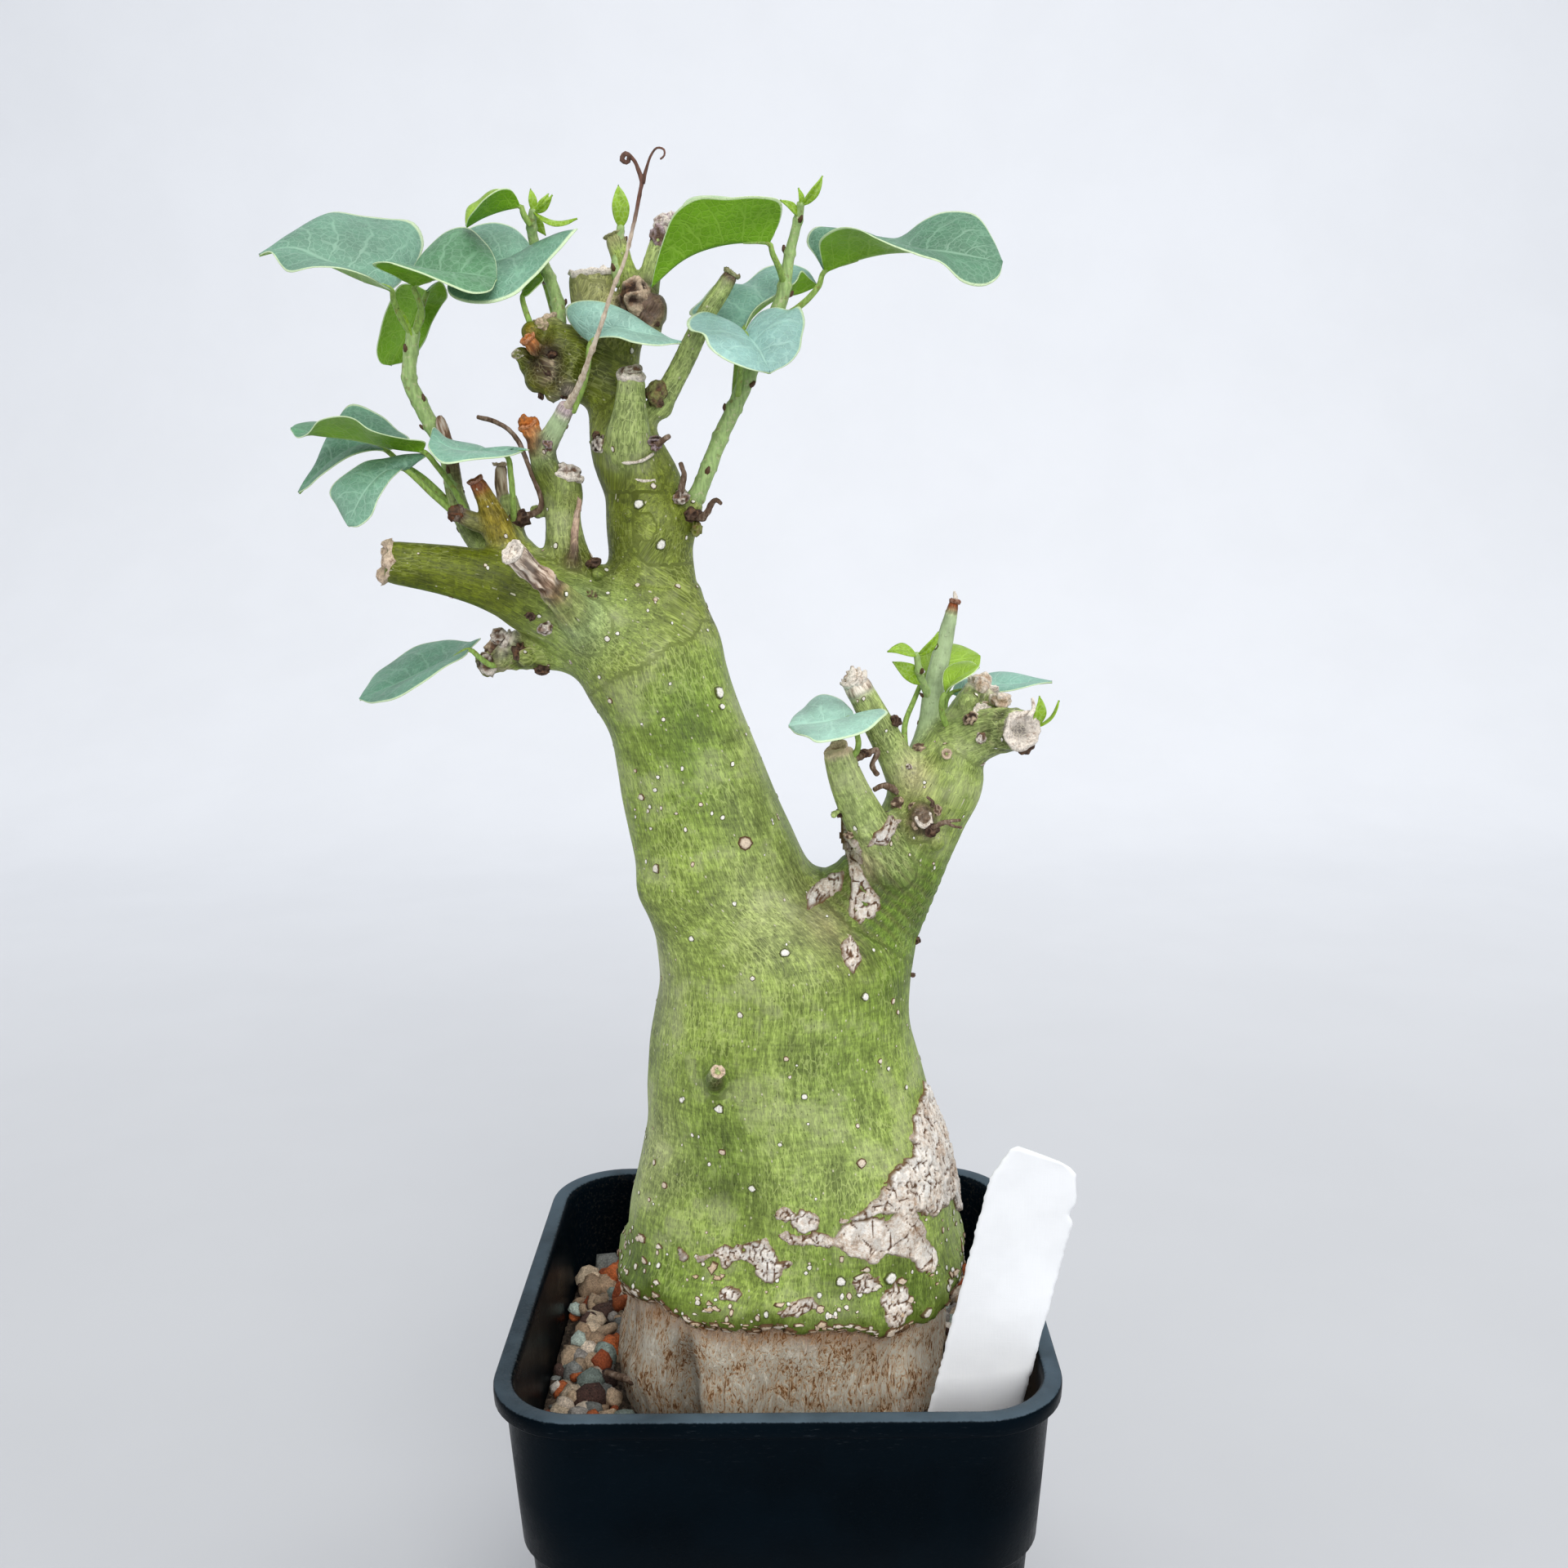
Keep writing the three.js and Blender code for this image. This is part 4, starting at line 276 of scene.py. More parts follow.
# Leaves: rib, left edge, right edge and stalk, left and right as seen from the base to the tip
LEAVES = {
    "left_a": (
        [[-65, -5, 282.5], [-70, -6, 284], [-75.5, -6, 286.5], [-81, -7, 289], [-86.5, -8, 288]],
        [[-65, -9, 282.5], [-66.5, -14, 283.5], [-70.5, -17, 284.5], [-74.5, -18, 284.5], [-78.5, -17, 284],
         [-81, -14, 285.5], [-83.5, -11, 288]],
        [[-64.5, 2, 285], [-63, 9, 289.5], [-63, 13, 293.5], [-65, 14, 296.5], [-69.5, 13, 297],
         [-73.5, 12, 297.5], [-78, 10, 298], [-80.5, 6, 296], [-84, -1, 292]],
        [[-62.5, -1.4, 275], [-64.2, -2.2, 278], [-65, -3.8, 281], [-65, -5.5, 282.5]]),
    "left_b": (
        [[-61, -5, 283], [-57, -5.5, 284], [-52, -6, 284.5], [-46, -8.5, 283.5]],
        [[-62, -2, 285], [-61, 2, 289], [-57.5, 6, 293.5], [-54, 7, 294.5], [-50.5, 5, 292],
         [-47.5, -1, 288]],
        [[-63, -9, 284], [-65, -11, 285], [-66, -13, 285.5], [-63, -15, 285.5], [-59.5, -16, 284.5],
         [-56.5, -17, 283.5], [-53, -17, 282], [-49, -16, 280.5], [-46.5, -12.5, 281]],
        [[-62.4, -1.2, 275], [-60.4, -2.8, 278.5], [-60.5, -4.4, 281], [-61, -5.5, 283.5]]),
    "left_c": (
        [[-60.5, 3, 283], [-64, 9, 280], [-67, 12, 276], [-70, 12, 271]],
        [[-64.5, 8, 285], [-67.5, 11, 285], [-70.5, 14, 281.5], [-72.5, 15, 277], [-73, 14, 273.5],
         [-72, 13, 271.5]],
        [[-58.5, 5, 285], [-58, 8, 283], [-59.5, 10, 281.5], [-61.5, 10, 278.5], [-63, 10, 275],
         [-66, 11, 272]],
        [[-62.5, 0, 275.5], [-62.5, 3, 278], [-61.5, 4, 281.5], [-60.5, 3.5, 283.5]]),
    "mid_a": (
        [[-42.5, 6, 289.5], [-46, 5, 288.5], [-50.5, 3, 287.5], [-55, 1, 287]],
        [[-40, 4, 290], [-36, 2, 291.5], [-33, 0, 293], [-34.5, -3, 290.5], [-37, -5, 287.5],
         [-40.5, -7, 283.5], [-43, -9, 281], [-47, -10, 279.5], [-52, -8, 280], [-55.5, -4, 282.5]],
        [[-42.5, 9, 291], [-44, 12, 293], [-46.5, 14, 295.5], [-50.5, 15, 296.5], [-54, 13, 295.5],
         [-56, 8, 292]],
        [[-38, 5, 277], [-39.5, 8, 282], [-41, 9, 286.5], [-42.5, 7, 289.5]]),
    "mid_b": (
        [[-43, 1, 297], [-46.5, 0, 296], [-49.5, 0, 295], [-52.5, 0, 293.5]],
        [[-43.5, -1, 298.5], [-44, -3, 299], [-45.5, -5, 298.5], [-48, -6, 297], [-50, -5, 295.5],
         [-51.5, -3, 294.5]],
        [[-44.5, 3, 299.5], [-47, 5, 300.5], [-49.5, 7, 300.5], [-51.5, 7, 299], [-53, 5, 297.5],
         [-53, 2, 295]],
        [[-41.5, 1.5, 294], [-42.5, 1, 295.5], [-43, 1, 297]]),
    "mid_c": (
        [[-43, -1, 281.5], [-42.5, 1, 283.5], [-41.5, 3, 285], [-40.5, 5, 286]],
        [[-42, -2, 281.5], [-40.5, -1, 283], [-39.5, 1, 284.5]],
        [[-43.5, 4, 284], [-42.5, 7, 285.5], [-41, 7, 286.5]],
        [[-41, -1, 275], [-41.5, -2, 276.5], [-42.5, -2, 279.5], [-43, -1, 282]]),
    "crown_front": (
        [[-30.5, -7, 273], [-26.5, -8, 275], [-21, -10, 274], [-14.5, -12, 272.5]],
        [[-32.5, -4, 274.5], [-35, -2.5, 277.5], [-35.5, -1.5, 279.5], [-34, -1.5, 280.5],
         [-29.5, -2, 280.5], [-25, -3, 279], [-21.5, -5, 276], [-18, -8, 274]],
        [[-28, -12, 273.5], [-25, -15, 273], [-22, -17, 272], [-18, -16, 271.5]],
        [[-34, -7.2, 261.5], [-32, -7, 266], [-31, -7.5, 269.5], [-30.5, -7.5, 273]]),
    "right_a": (
        [[0.5, -4, 289.5], [-4.5, -5, 289.5], [-9.5, -6, 288.5], [-14.5, -6, 286.5], [-20, -5, 282.5]],
        [[2.5, -7, 293], [2.5, -10, 295.5], [-1, -12, 296], [-6.5, -13, 295.5], [-11.5, -13, 295.5],
         [-15, -12, 293.5], [-17, -10, 290], [-19, -7, 285.5]],
        [[1.5, 0, 292], [1, 4, 295.5], [-4, 8, 298.5], [-10, 9, 299.5], [-14, 8, 299], [-16, 5, 295.5],
         [-18, 0, 288.5]],
        [[2.9, 0.8, 283.5], [2, -2, 286], [1, -3.5, 288], [0.5, -4, 290]]),
    "right_b": (
        [[10, -2, 285], [15.5, -4, 286.5], [22, -6, 287.5], [29.5, -8, 287], [40, -10, 285]],
        [[8.5, 1, 288], [7, 6, 291.5], [9, 10, 294.5], [13.5, 12, 294], [18.5, 10, 292.5], [23.5, 6, 291.5],
         [27.5, 4, 294], [31.5, 3, 295.5], [36, 1, 295], [39, -4, 290]],
        [[9.5, -5, 286.5], [9, -9, 289], [10.5, -12, 290], [13, -14, 290.5], [15.5, -15, 290],
         [18, -16, 288.5], [21, -17, 287], [25, -18, 285.5], [28.5, -19, 284], [32.5, -18, 281],
         [36, -16, 280.5], [39, -13, 282.5]],
        [[1.2, 1, 277], [6, -2, 279.5], [9, -3, 282.5], [10, -2.5, 285]]),
    "right_c": (
        [[-4.5, 2, 275.5], [-2.5, 5, 278.5], [1.5, 7, 281.5], [5.5, 8, 282.5], [9, 8, 284]],
        [[-6.5, 5, 276.5], [-11, 8, 278], [-14.5, 10, 279.5], [-12.5, 13, 282], [-9, 15, 285.5],
         [-5, 17, 285.5], [-0.5, 18, 288.5], [3.5, 18, 289], [7, 14, 287.5]],
        [[-3.5, 2, 277.5], [-1.5, 2, 280], [2, 2.4, 282], [5, 3.4, 284], [6, 4, 286], [7.5, 6, 285]],
        [[-6.2, 0, 262], [-6, 3.4, 266.5], [-5.5, 4, 271.5], [-4.5, 3, 275.5]]),
    "right_d": (
        [[-4, -6, 274.5], [-1.5, -12, 271], [0.5, -18, 267]],
        [[-3, -4, 275.5], [-1.5, -2, 278], [1.5, -2, 279], [4, -3, 278.5], [5.5, -4, 279], [6.5, -7, 276.5],
         [6, -10, 273.5], [5.5, -13, 271], [3.5, -16, 268.5]],
        [[-6, -6, 275], [-8, -5, 277], [-11, -6, 278], [-13.5, -9, 276.5], [-13, -13, 274.5],
         [-10.5, -16, 273.5], [-9.5, -18, 271], [-7, -19, 269], [-3, -20, 267.5]],
        [[-5.6, 0, 263], [-5, -3, 267], [-4.5, -5, 270], [-4, -6.5, 274]]),
    "low_a": (
        [[-60.5, -7, 255], [-65, -8, 255.5], [-71.5, -9, 257], [-78.5, -10, 258], [-82.5, -10, 259]],
        [[-59.5, -9, 256.5], [-62, -12, 257], [-64.5, -15, 257.5], [-67, -18, 258.5], [-69, -19, 260],
         [-72, -19, 260.5], [-75.5, -17, 260], [-78, -15, 258], [-81, -12, 257.5]],
        [[-62, -2, 256], [-66.5, 1, 257], [-72.5, 2, 258], [-77.5, 0, 260], [-80.5, -2, 260.5],
         [-82.5, -6, 260]],
        [[-52.5, -9.5, 243.5], [-55.5, -8, 249], [-58, -8, 252.5], [-60, -8, 255]]),
    "low_b": (
        [[-69.5, 3, 255.5], [-74, 5, 256.5], [-80, 5, 253.5], [-85.5, 2, 248]],
        [[-71.5, 1, 255.5], [-74.5, 0, 254.5], [-77.5, -1, 253], [-80.5, -1, 251], [-83, 0, 249]],
        [[-68, 6, 256], [-66.5, 9, 257.5], [-69.5, 12, 259.5], [-73.5, 15, 262.5], [-79, 16, 264.5],
         [-81.5, 13, 260.5], [-83.5, 8, 254], [-85, 4, 250]],
        [[-55, -2.4, 243.5], [-61.5, -1, 250], [-67, 2, 253.5], [-69.5, 3, 255.5]]),
    "low_c": (
        [[-63.5, -9, 252], [-65.5, -13, 251.5], [-68, -18, 248], [-70.5, -21, 242.5]],
        [[-63.5, -12, 251.5], [-64.5, -16, 249.5], [-65.5, -19, 247], [-66.5, -21, 244],
         [-68.5, -22, 242.5]],
        [[-61.5, -8, 253], [-60, -6, 254.5], [-64, -4, 254.5], [-67, -5, 254], [-70, -8, 253.5],
         [-72, -11, 252], [-74.5, -14, 249.5], [-75, -15, 248], [-73.5, -17, 246], [-72, -19, 244]],
        [[-53.2, -10.6, 243], [-58.5, -9.5, 247.5], [-61.4, -9.2, 250.3], [-63.5, -9.5, 252.5]]),
    "low_d": (
        [[-45.5, -9, 254], [-49.5, -11, 254.5], [-54, -12, 255], [-58, -12, 257]],
        [[-42.5, -10, 254.5], [-44, -15, 254], [-47, -19, 253.5], [-49.5, -22, 253], [-53, -23, 252.5],
         [-55.5, -20, 253.5], [-57.5, -16, 255.5]],
        [[-44, -7, 255], [-42, -6, 255], [-45, -5, 255.5], [-48.5, -4.5, 255], [-50.5, -5, 256],
         [-52.5, -5, 256.5], [-55, -6, 257], [-56.5, -7, 257.5], [-58, -8.5, 259]],
        [[-45.6, -4.4, 241], [-45, -7.5, 245.5], [-45, -8.5, 250.5], [-45, -9.5, 254]]),
    "under": (
        [[-54.5, -5, 220], [-59.5, -5, 217.5], [-67, -6, 214], [-74, -8, 211.5]],
        [[-54.5, -9, 219.5], [-57.5, -14, 217.5], [-61, -17, 215], [-64.5, -17, 213], [-70, -13, 211.5]],
        [[-53.5, 1, 221.5], [-56, 4, 220.5], [-62, 7, 220.5], [-67, 8, 219.5], [-71, 7, 217],
         [-74, 4, 214.5], [-74.5, -3, 212.5]],
        [[-48, -2, 218], [-50.5, -4.2, 217], [-52.5, -5.4, 218.5], [-55, -5.5, 220]]),
    "limb_a": (
        [[14.5, -12, 208], [9.5, -12, 207], [3, -12, 206.5]],
        [[17, -12, 209], [19.5, -12, 209.5], [20.5, -14, 209], [19, -18, 208.5], [16.5, -21, 207],
         [12.5, -23, 206], [8, -24, 205.5], [6.5, -22, 206], [4.5, -18, 206]],
        [[14.5, -8, 208.5], [12.5, -3, 210], [9, 0, 210.5], [7, 0, 209.5], [6, -1, 208.5], [4, -6, 207.5]],
        [[12.4, -10, 199.5], [15, -11, 201.5], [15.4, -12, 203.5], [15, -12.5, 205.5], [14.5, -12.5, 208]]),
    "limb_b": (
        [[29, 6.5, 213.5], [32.5, 9, 215], [39.5, 10, 216]],
        [[28, 9, 215], [28.5, 12, 217.5], [32, 15, 218.5], [36, 16, 218], [39, 13, 216.5]],
        [[30.5, 6.8, 213], [33, 6.6, 213], [36.5, 7, 213], [39, 8, 214.5]],
        [[25, 0, 197], [24.6, 2.4, 204], [26.6, 6, 208.5], [29.5, 6.6, 213.5]]),
    "limb_c": (
        [[31.5, -4, 211], [33.5, -5, 213.5], [37.5, -5, 216]],
        [[31, -4, 213], [31.5, -2, 215], [33.5, 0, 216], [36, 0, 216.5]],
        [[32, -7, 212.5], [34, -9, 214], [36, -8, 215]],
        [[32.5, -1, 203.5], [31, -3.2, 207.5], [31, -4.5, 210.5], [31.5, -4, 211.5]]),
    "limb_d": (
        [[34, 9, 209.5], [40, 10, 210.5], [46.5, 11, 210.5], [53.5, 12, 211]],
        [[35, 13, 210.5], [39, 18, 211.5], [44.5, 20, 212], [50, 17, 211.5]],
        [[35, 8, 209], [39.5, 8.6, 209.5], [44.5, 6, 210], [49.5, 7, 211]],
        [[33.4, 3, 203], [32.6, 7.4, 206.5], [33, 8.4, 208.5], [34, 9, 209.5]]),
}
YOUNG_LEAVES = ("mid_b", "limb_b", "limb_c")

# How much each leaf's upper face differs from the usual leaf colour, as shares of red, green and blue:
# partly the leaf's own colour, partly painted light, the brighter, bluer shares being painted highlights
LEAF_TINTS_AND_PAINTED_LIGHT = {
    "left_a": (0.52, 0.58, 0.54), "left_b": (0.37, 0.52, 0.33), "left_c": (0.46, 0.56, 0.48),
    "mid_a": (0.62, 0.68, 0.64), "mid_c": (0.6, 0.8, 0.2), "crown_front": (1.1, 0.98, 1.12),
    "right_a": (0.5, 0.62, 0.4), "right_b": (0.29, 0.43, 0.32), "right_c": (0.8, 0.84, 0.9),
    "right_d": (1.1, 0.98, 1.24), "low_a": (0.5, 0.68, 0.5), "low_b": (0.42, 0.56, 0.46),
    "low_c": (0.62, 0.67, 0.62), "low_d": (0.86, 0.88, 0.9), "under": (0.48, 0.64, 0.56),
    "limb_a": (1.4, 1.2, 1.34), "limb_d": (0.9, 0.92, 1.0),
}

# Shoots: stem points [x, y, z, radius] and young leaves as base, tip and side vector
SHOOTS = {
    "shoot_left": (
        [[-56.6, -2, 249, 1.5], [-58, -1, 256, 1.45], [-60, -1, 259.5, 1.4], [-62, -1, 263.5, 1.35],
         [-63.5, -1, 267, 1.3], [-63.5, -1, 270, 1.25], [-63, -1, 273, 1.2], [-62.5, -1, 275.8, 1.2]],
        [([-62.5, -1.8, 274.6], [-63.6, -6.4, 279.2], [-0.3, 0, 0])]),
    "shoot_mid": (
        [[-37.4, 2, 274, 1.4], [-37.4, 4, 280, 1.2], [-38.5, 5, 284, 1.1], [-40, 6.5, 287.5, 1.05],
         [-41.5, 5, 291.5, 0.95], [-41.5, 3, 294.5, 0.85], [-41, 2, 296.4, 0.7]],
        [([-41, 2, 296], [-41.3, 2, 300], [0.7, 0.3, 0]),
         ([-41, 2, 296], [-38.4, 3.5, 299.4], [0.5, 0.4, -0.4]),
         ([-40.8, 2, 296], [-37.2, 0, 298.6], [0.3, 0.6, -0.4]),
         ([-41, 1.6, 296], [-33, 0, 294.6], [0, 1.4, 0.6]),
         ([-41, 2.4, 295.6], [-39.4, 5, 292.6], [0.9, 0.5, 0.4])]),
    "shoot_bud": (
        [[-26.6, 4, 284, 1], [-27, 4, 287, 0.85], [-26.5, 5, 290.5, 0.8], [-26, 5, 294, 0.7]],
        [([-26, 5, 293.4], [-26.2, 5, 301], [1.5, 0.4, 0])]),
    "shoot_right": (
        [[-14.4, -1, 244.5, 1.7], [-13, -1, 247, 1.6], [-11, -1, 251.5, 1.5], [-8.5, 0, 257.5, 1.45],
         [-5.5, 0, 263.5, 1.45], [-1, 1, 273.5, 1.4], [2.5, 1, 281, 1.25], [4, 1, 288.5, 0.95],
         [5.5, 0, 294, 0.8], [6, -1, 296.5, 0.7]],
        [([6, -1, 296], [9.8, -1, 301], [0.6, 0.5, -0.5]),
         ([5.6, -0.2, 294.4], [2.4, -3, 296.8], [0.3, 0.5, 0.7]),
         ([6, -1, 296], [5.6, -1.4, 299], [0.5, 0.4, 0])]),
    "shoot_tuft": (
        [[30.4, 4, 208, 0.9], [28.2, 2, 211.5, 0.75], [27, 0, 215, 0.65], [26.5, -1, 218, 0.6]],
        [([26.6, -1, 217.6], [21, -3, 218.7], [-0.2, 1.6, 1]),
         ([26.6, -1, 217.6], [30.5, -1, 222], [0.7, 0.6, -0.6]),
         ([28, 1.6, 212], [22.2, 1, 216.4], [1, 0.6, 1.2])]),
    "shoot_end": (
        [[44, -7.6, 204.2, 0.8], [46.8, -7.2, 204.4, 0.7], [47.6, -7, 205.4, 0.6]],
        [([47.4, -7, 205], [48, -8, 211], [1.2, 0.5, 0]),
         ([47.4, -7, 205], [51.7, -7, 210], [0.2, 1.2, 0])]),
}

DRIED_STEM = [
    [[-35.6, -7, 261.4, 0.8], [-32.6, -11, 265, 0.58], [-30, -15, 269.5, 0.46], [-27.5, -18, 274.5, 0.38],
     [-25, -19.5, 280.5, 0.34], [-23, -20.5, 284.5, 0.32], [-21, -21, 291, 0.33], [-19.5, -21, 297.5, 0.36]],
    [[-19.6, -21, 296.6, 0.42], [-20.2, -21, 298.6, 0.36], [-21, -21.2, 300.2, 0.32],
     [-22.2, -21.4, 301, 0.4], [-22.8, -21, 300.2, 0.42], [-22, -20.6, 299.8, 0.38],
     [-21.6, -21.2, 300.6, 0.34]],
    [[-19.6, -21, 296.6, 0.42], [-18.9, -21, 298.8, 0.26], [-18.1, -21, 300.8, 0.2],
     [-17.1, -21, 301.9, 0.18], [-16, -21, 301.6, 0.18], [-16, -21, 300.7, 0.17], [-16.6, -21, 300.2, 0.15]],
]
HOOK = [
    [-45, -3.6, 243.6, 0.7], [-42, -4.6, 244, 0.6], [-40.5, -5, 245.2, 0.55], [-40.6, -5, 247.5, 0.5],
    [-41.6, -4.6, 250, 0.5], [-42.8, -4, 253, 0.45], [-44.2, -3.5, 256.4, 0.45], [-46, -4, 258.8, 0.45],
    [-48.5, -5, 260.2, 0.4], [-50.8, -6, 260.8, 0.4],
]


# Shapes as whole arrays


def hashed(cell, seed):
    """A repeatable random value from -1 to 1 for each whole-number triple."""
    n = cell[..., 0] * 73856093 ^ cell[..., 1] * 19349663 ^ cell[..., 2] * 83492791 ^ seed * 668265263
    n = (n ^ (n >> 13)) * 1274126177 & 0xFFFFFFFF
    n = (n ^ (n >> 15)) * 2246822519 & 0xFFFFFFFF
    return ((n ^ (n >> 16)) & 0xFFFF) / 32767.5 - 1


def noise(points, seed=0):
    """Value noise: the random values at the eight lattice corners, blended by 3t^2 - 2t^3."""
    points = np.asarray(points, float)
    cell = np.floor(points).astype(np.int64)
    part = points - cell
    part = part * part * (3 - 2 * part)
    total = 0
    for corner in np.ndindex(2, 2, 2):
        share = np.prod(np.where(corner, part, 1 - part), axis=-1)
        total = total + share * hashed(cell + np.array(corner), seed)
    return total


def unit(vectors):
    """Vectors divided by their length."""
    return vectors / np.maximum(np.linalg.norm(vectors, axis=-1, keepdims=True), 1e-9)


def ease(low, high, value):
    """0 below low, 1 above high and 3t^2 - 2t^3 between them."""
    t = np.clip((value - low) / (high - low), 0, 1)
    return t * t * (3 - 2 * t)


def curve(points, steps):
    """Centripetal Catmull-Rom line through points, cut at equal lengths. Columns after z go along."""
    p = np.asarray(points, float)
    p = np.vstack([2 * p[0] - p[1], p, 2 * p[-1] - p[-2]])
    gap = np.sqrt(np.maximum(np.linalg.norm(np.diff(p[:, :3], axis=0), axis=1), 1e-6))
    d0, d1, d2 = gap[:-2, None], gap[1:-1, None], gap[2:, None]
    a, b, c, d = p[:-3], p[1:-2], p[2:-1], p[3:]
    m1 = d1 * ((b - a) / d0 - (c - a) / (d0 + d1) + (c - b) / d1)
    m2 = d1 * ((c - b) / d1 - (d - b) / (d1 + d2) + (d - c) / d2)
    t = np.linspace(0, 1, 25)[None, :-1, None]
    b, c, m1, m2 = (v[:, None] for v in (b, c, m1, m2))
    dense = b + m1 * t + (3 * (c - b) - 2 * m1 - m2) * t**2 + (2 * (b - c) + m1 + m2) * t**3
    dense = np.vstack([dense.reshape(-1, p.shape[1]), p[-2]])
    along = np.concatenate([[0], np.cumsum(np.linalg.norm(np.diff(dense[:, :3], axis=0), axis=1))])
    at = np.linspace(0, along[-1], steps + 1)
    return np.stack([np.interp(at, along, column) for column in dense.T], axis=1)


def length_of(points):
    """Length of the straight lines through points."""
    return np.linalg.norm(np.diff(np.asarray(points, float)[:, :3], axis=0), axis=1).sum()


def grid_quads(rows, columns, wrap):
    """Corner numbers of the quads on a grid of rows by columns; wrap joins the last column to the first."""
    i = np.arange(rows - 1)[:, None] * columns
    j = np.arange(columns if wrap else columns - 1)[None]
    k = (j + 1) % columns
    return np.stack([i + j, i + k, i + columns + k, i + columns + j], axis=-1).reshape(-1, 4)


def around(sides):
    """Angles of a ring of points, in radians."""
    return np.arange(sides) * 2 * np.pi / sides


def capped(rows, columns):
    """Quads of a tube of rows by columns, and the triangles that close its first and its last row to the two
    points that follow the grid."""
    j = np.arange(columns)
    k = (j + 1) % columns
    pole = np.full(columns, rows * columns)
    last = (rows - 1) * columns
    fans = np.vstack([np.stack([pole, k, j], axis=1), np.stack([pole + 1, last + j, last + k], axis=1)])
    return grid_quads(rows, columns, True), fans


def ball(rings, sides):
    """Points of a unit ball: rings from the top down, followed by the two poles."""
    tilt = np.linspace(0, np.pi, rings + 2)[1:-1, None]
    turn = around(sides)
    wide, high = np.sin(tilt), np.cos(tilt) + 0 * turn
    grid = np.stack([wide * np.cos(turn), wide * np.sin(turn), high], axis=-1)
    return np.vstack([grid.reshape(-1, 3), [[0, 0, 1], [0, 0, -1]]])


def frames(line):
    """Unit tangent, side and across vectors along a line; the side starts from its flattest direction."""
    along = unit(np.gradient(line[:, :3], axis=0))
    flat = np.linalg.svd(along, full_matrices=False)[2][-1]
    side = unit(flat - along * (along @ flat)[:, None])
    return along, side, np.cross(along, side)


class Shape:
    """Points in millimetres with quads, triangles, uv and named values for each point."""

    def __init__(self, points, quads, triangles=(), uv=None, **values):
        self.points = np.asarray(points, float).reshape(-1, 3)
        self.quads = np.asarray(quads, int).reshape(-1, 4)
        self.triangles = np.asarray(triangles, int).reshape(-1, 3)
        self.uv = np.zeros((len(self.points), 2)) if uv is None else np.asarray(uv, float).reshape(-1, 2)
        self.values = {name: np.asarray(value, float) for name, value in values.items()}
        if self.volume() < 0:
            self.quads = self.quads[:, ::-1]
            self.triangles = self.triangles[:, ::-1]

    def volume(self):
        """Volume inside the faces, six of which are the sum of each triangle's triple product."""
        fans = np.vstack([self.quads[:, [0, 1, 2]], self.quads[:, [0, 2, 3]], self.triangles])
        a, b, c = (self.points[fans[:, i]] for i in range(3))
        return np.einsum("ij,ij->", a, np.cross(b, c)) / 6


def together(shapes):
    """One shape that holds all the given ones."""
    starts = np.cumsum([0] + [len(s.points) for s in shapes])
    return Shape(
        np.vstack([s.points for s in shapes]),
        np.vstack([s.quads + n for s, n in zip(shapes, starts)]),
        np.vstack([s.triangles + n for s, n in zip(shapes, starts)]),
        np.vstack([s.uv for s in shapes]),
        **{name: np.concatenate([s.values[name] for s in shapes]) for name in shapes[0].values},
    )


def repeated(bodies, rows, columns, **values):
    """One shape of many closed bodies with the same grid of rows by columns and two end points."""
    quads, fans = capped(rows, columns)
    start = np.arange(len(bodies))[:, None, None] * bodies.shape[1]
    return Shape(bodies, quads + start, fans + start, **values)


def tube(stations, sides=10, pitch=0.8, rough=0.0, seed=0, swell=(), **values):
    """Circle of the line's radius carried along its smooth curve, closed by a domed end at both ends.

    The radius takes value noise of the share rough, and rings swell at lengths in swell, by rise and width.
    """
    steps = max(4, int(length_of(stations) / pitch))
    line = curve(stations, steps)
    at = np.linspace(0, length_of(line), steps + 1)
    along, side, across = frames(line)
    radius = np.maximum(line[:, 3], 0.15)
    for where, rise, width in swell:
        radius = radius + rise * np.exp(-(((at - where) / width) ** 2))
    domes = np.array([[-0.5, 0.5], [-0.3, 0.85]])
    centre = np.vstack([
        line[0, :3] + along[0] * radius[0] * domes[:, :1], line[:, :3],
        line[-1, :3] - along[-1] * radius[-1] * domes[::-1, :1]])
    ring = np.concatenate([radius[0] * domes[:, 1], radius, radius[-1] * domes[::-1, 1]])
    rows = np.r_[0, 0, 0:steps + 1, steps, steps]
    turn = around(sides)[None, :, None]
    out = np.cos(turn) * side[rows][:, None] + np.sin(turn) * across[rows][:, None]
    bumps = 1 + rough * noise((centre[:, None] + out * ring[:, None, None]) * 1.3, seed)[..., None]
    points = centre[:, None] + out * ring[:, None, None] * bumps
    count = len(rows)
    ends = np.array([centre[0] - along[0] * radius[0] * 0.12, centre[-1] + along[-1] * radius[-1] * 0.12])
    span = np.interp(np.arange(count), [2, count - 3], [0, at[-1]])
    uv = np.stack(np.broadcast_arrays(turn[..., 0] / 6.2832, span[:, None]), axis=-1).reshape(-1, 2)
    uv = np.vstack([uv, [[0, span[0]], [0, span[-1]]]])
    return Shape(np.vstack([points.reshape(-1, 3), ends]), *capped(count, sides), uv,
                 **{name: np.full(len(uv), value) for name, value in values.items()})


# Woody body

WOOD_STEP = 0.64  # spacing of the grid on which the wood is worked out
PROFILE_Z = np.arange(42, 231, 0.5)


def eased_profile():
    """The trunk's stations laid out every half millimetre and smoothed by a bell curve of 1.5 mm."""
    bell = np.exp(-((np.arange(-12, 13) * 0.5 / 1.5) ** 2))
    bell /= bell.sum()
    columns = []
    for column in TRUNK.T[1:]:
        fine = np.interp(PROFILE_Z, TRUNK[:, 0], column)
        columns.append(np.convolve(np.pad(fine, 12, mode="edge"), bell, "valid"))
    return columns


PROFILE = eased_profile()


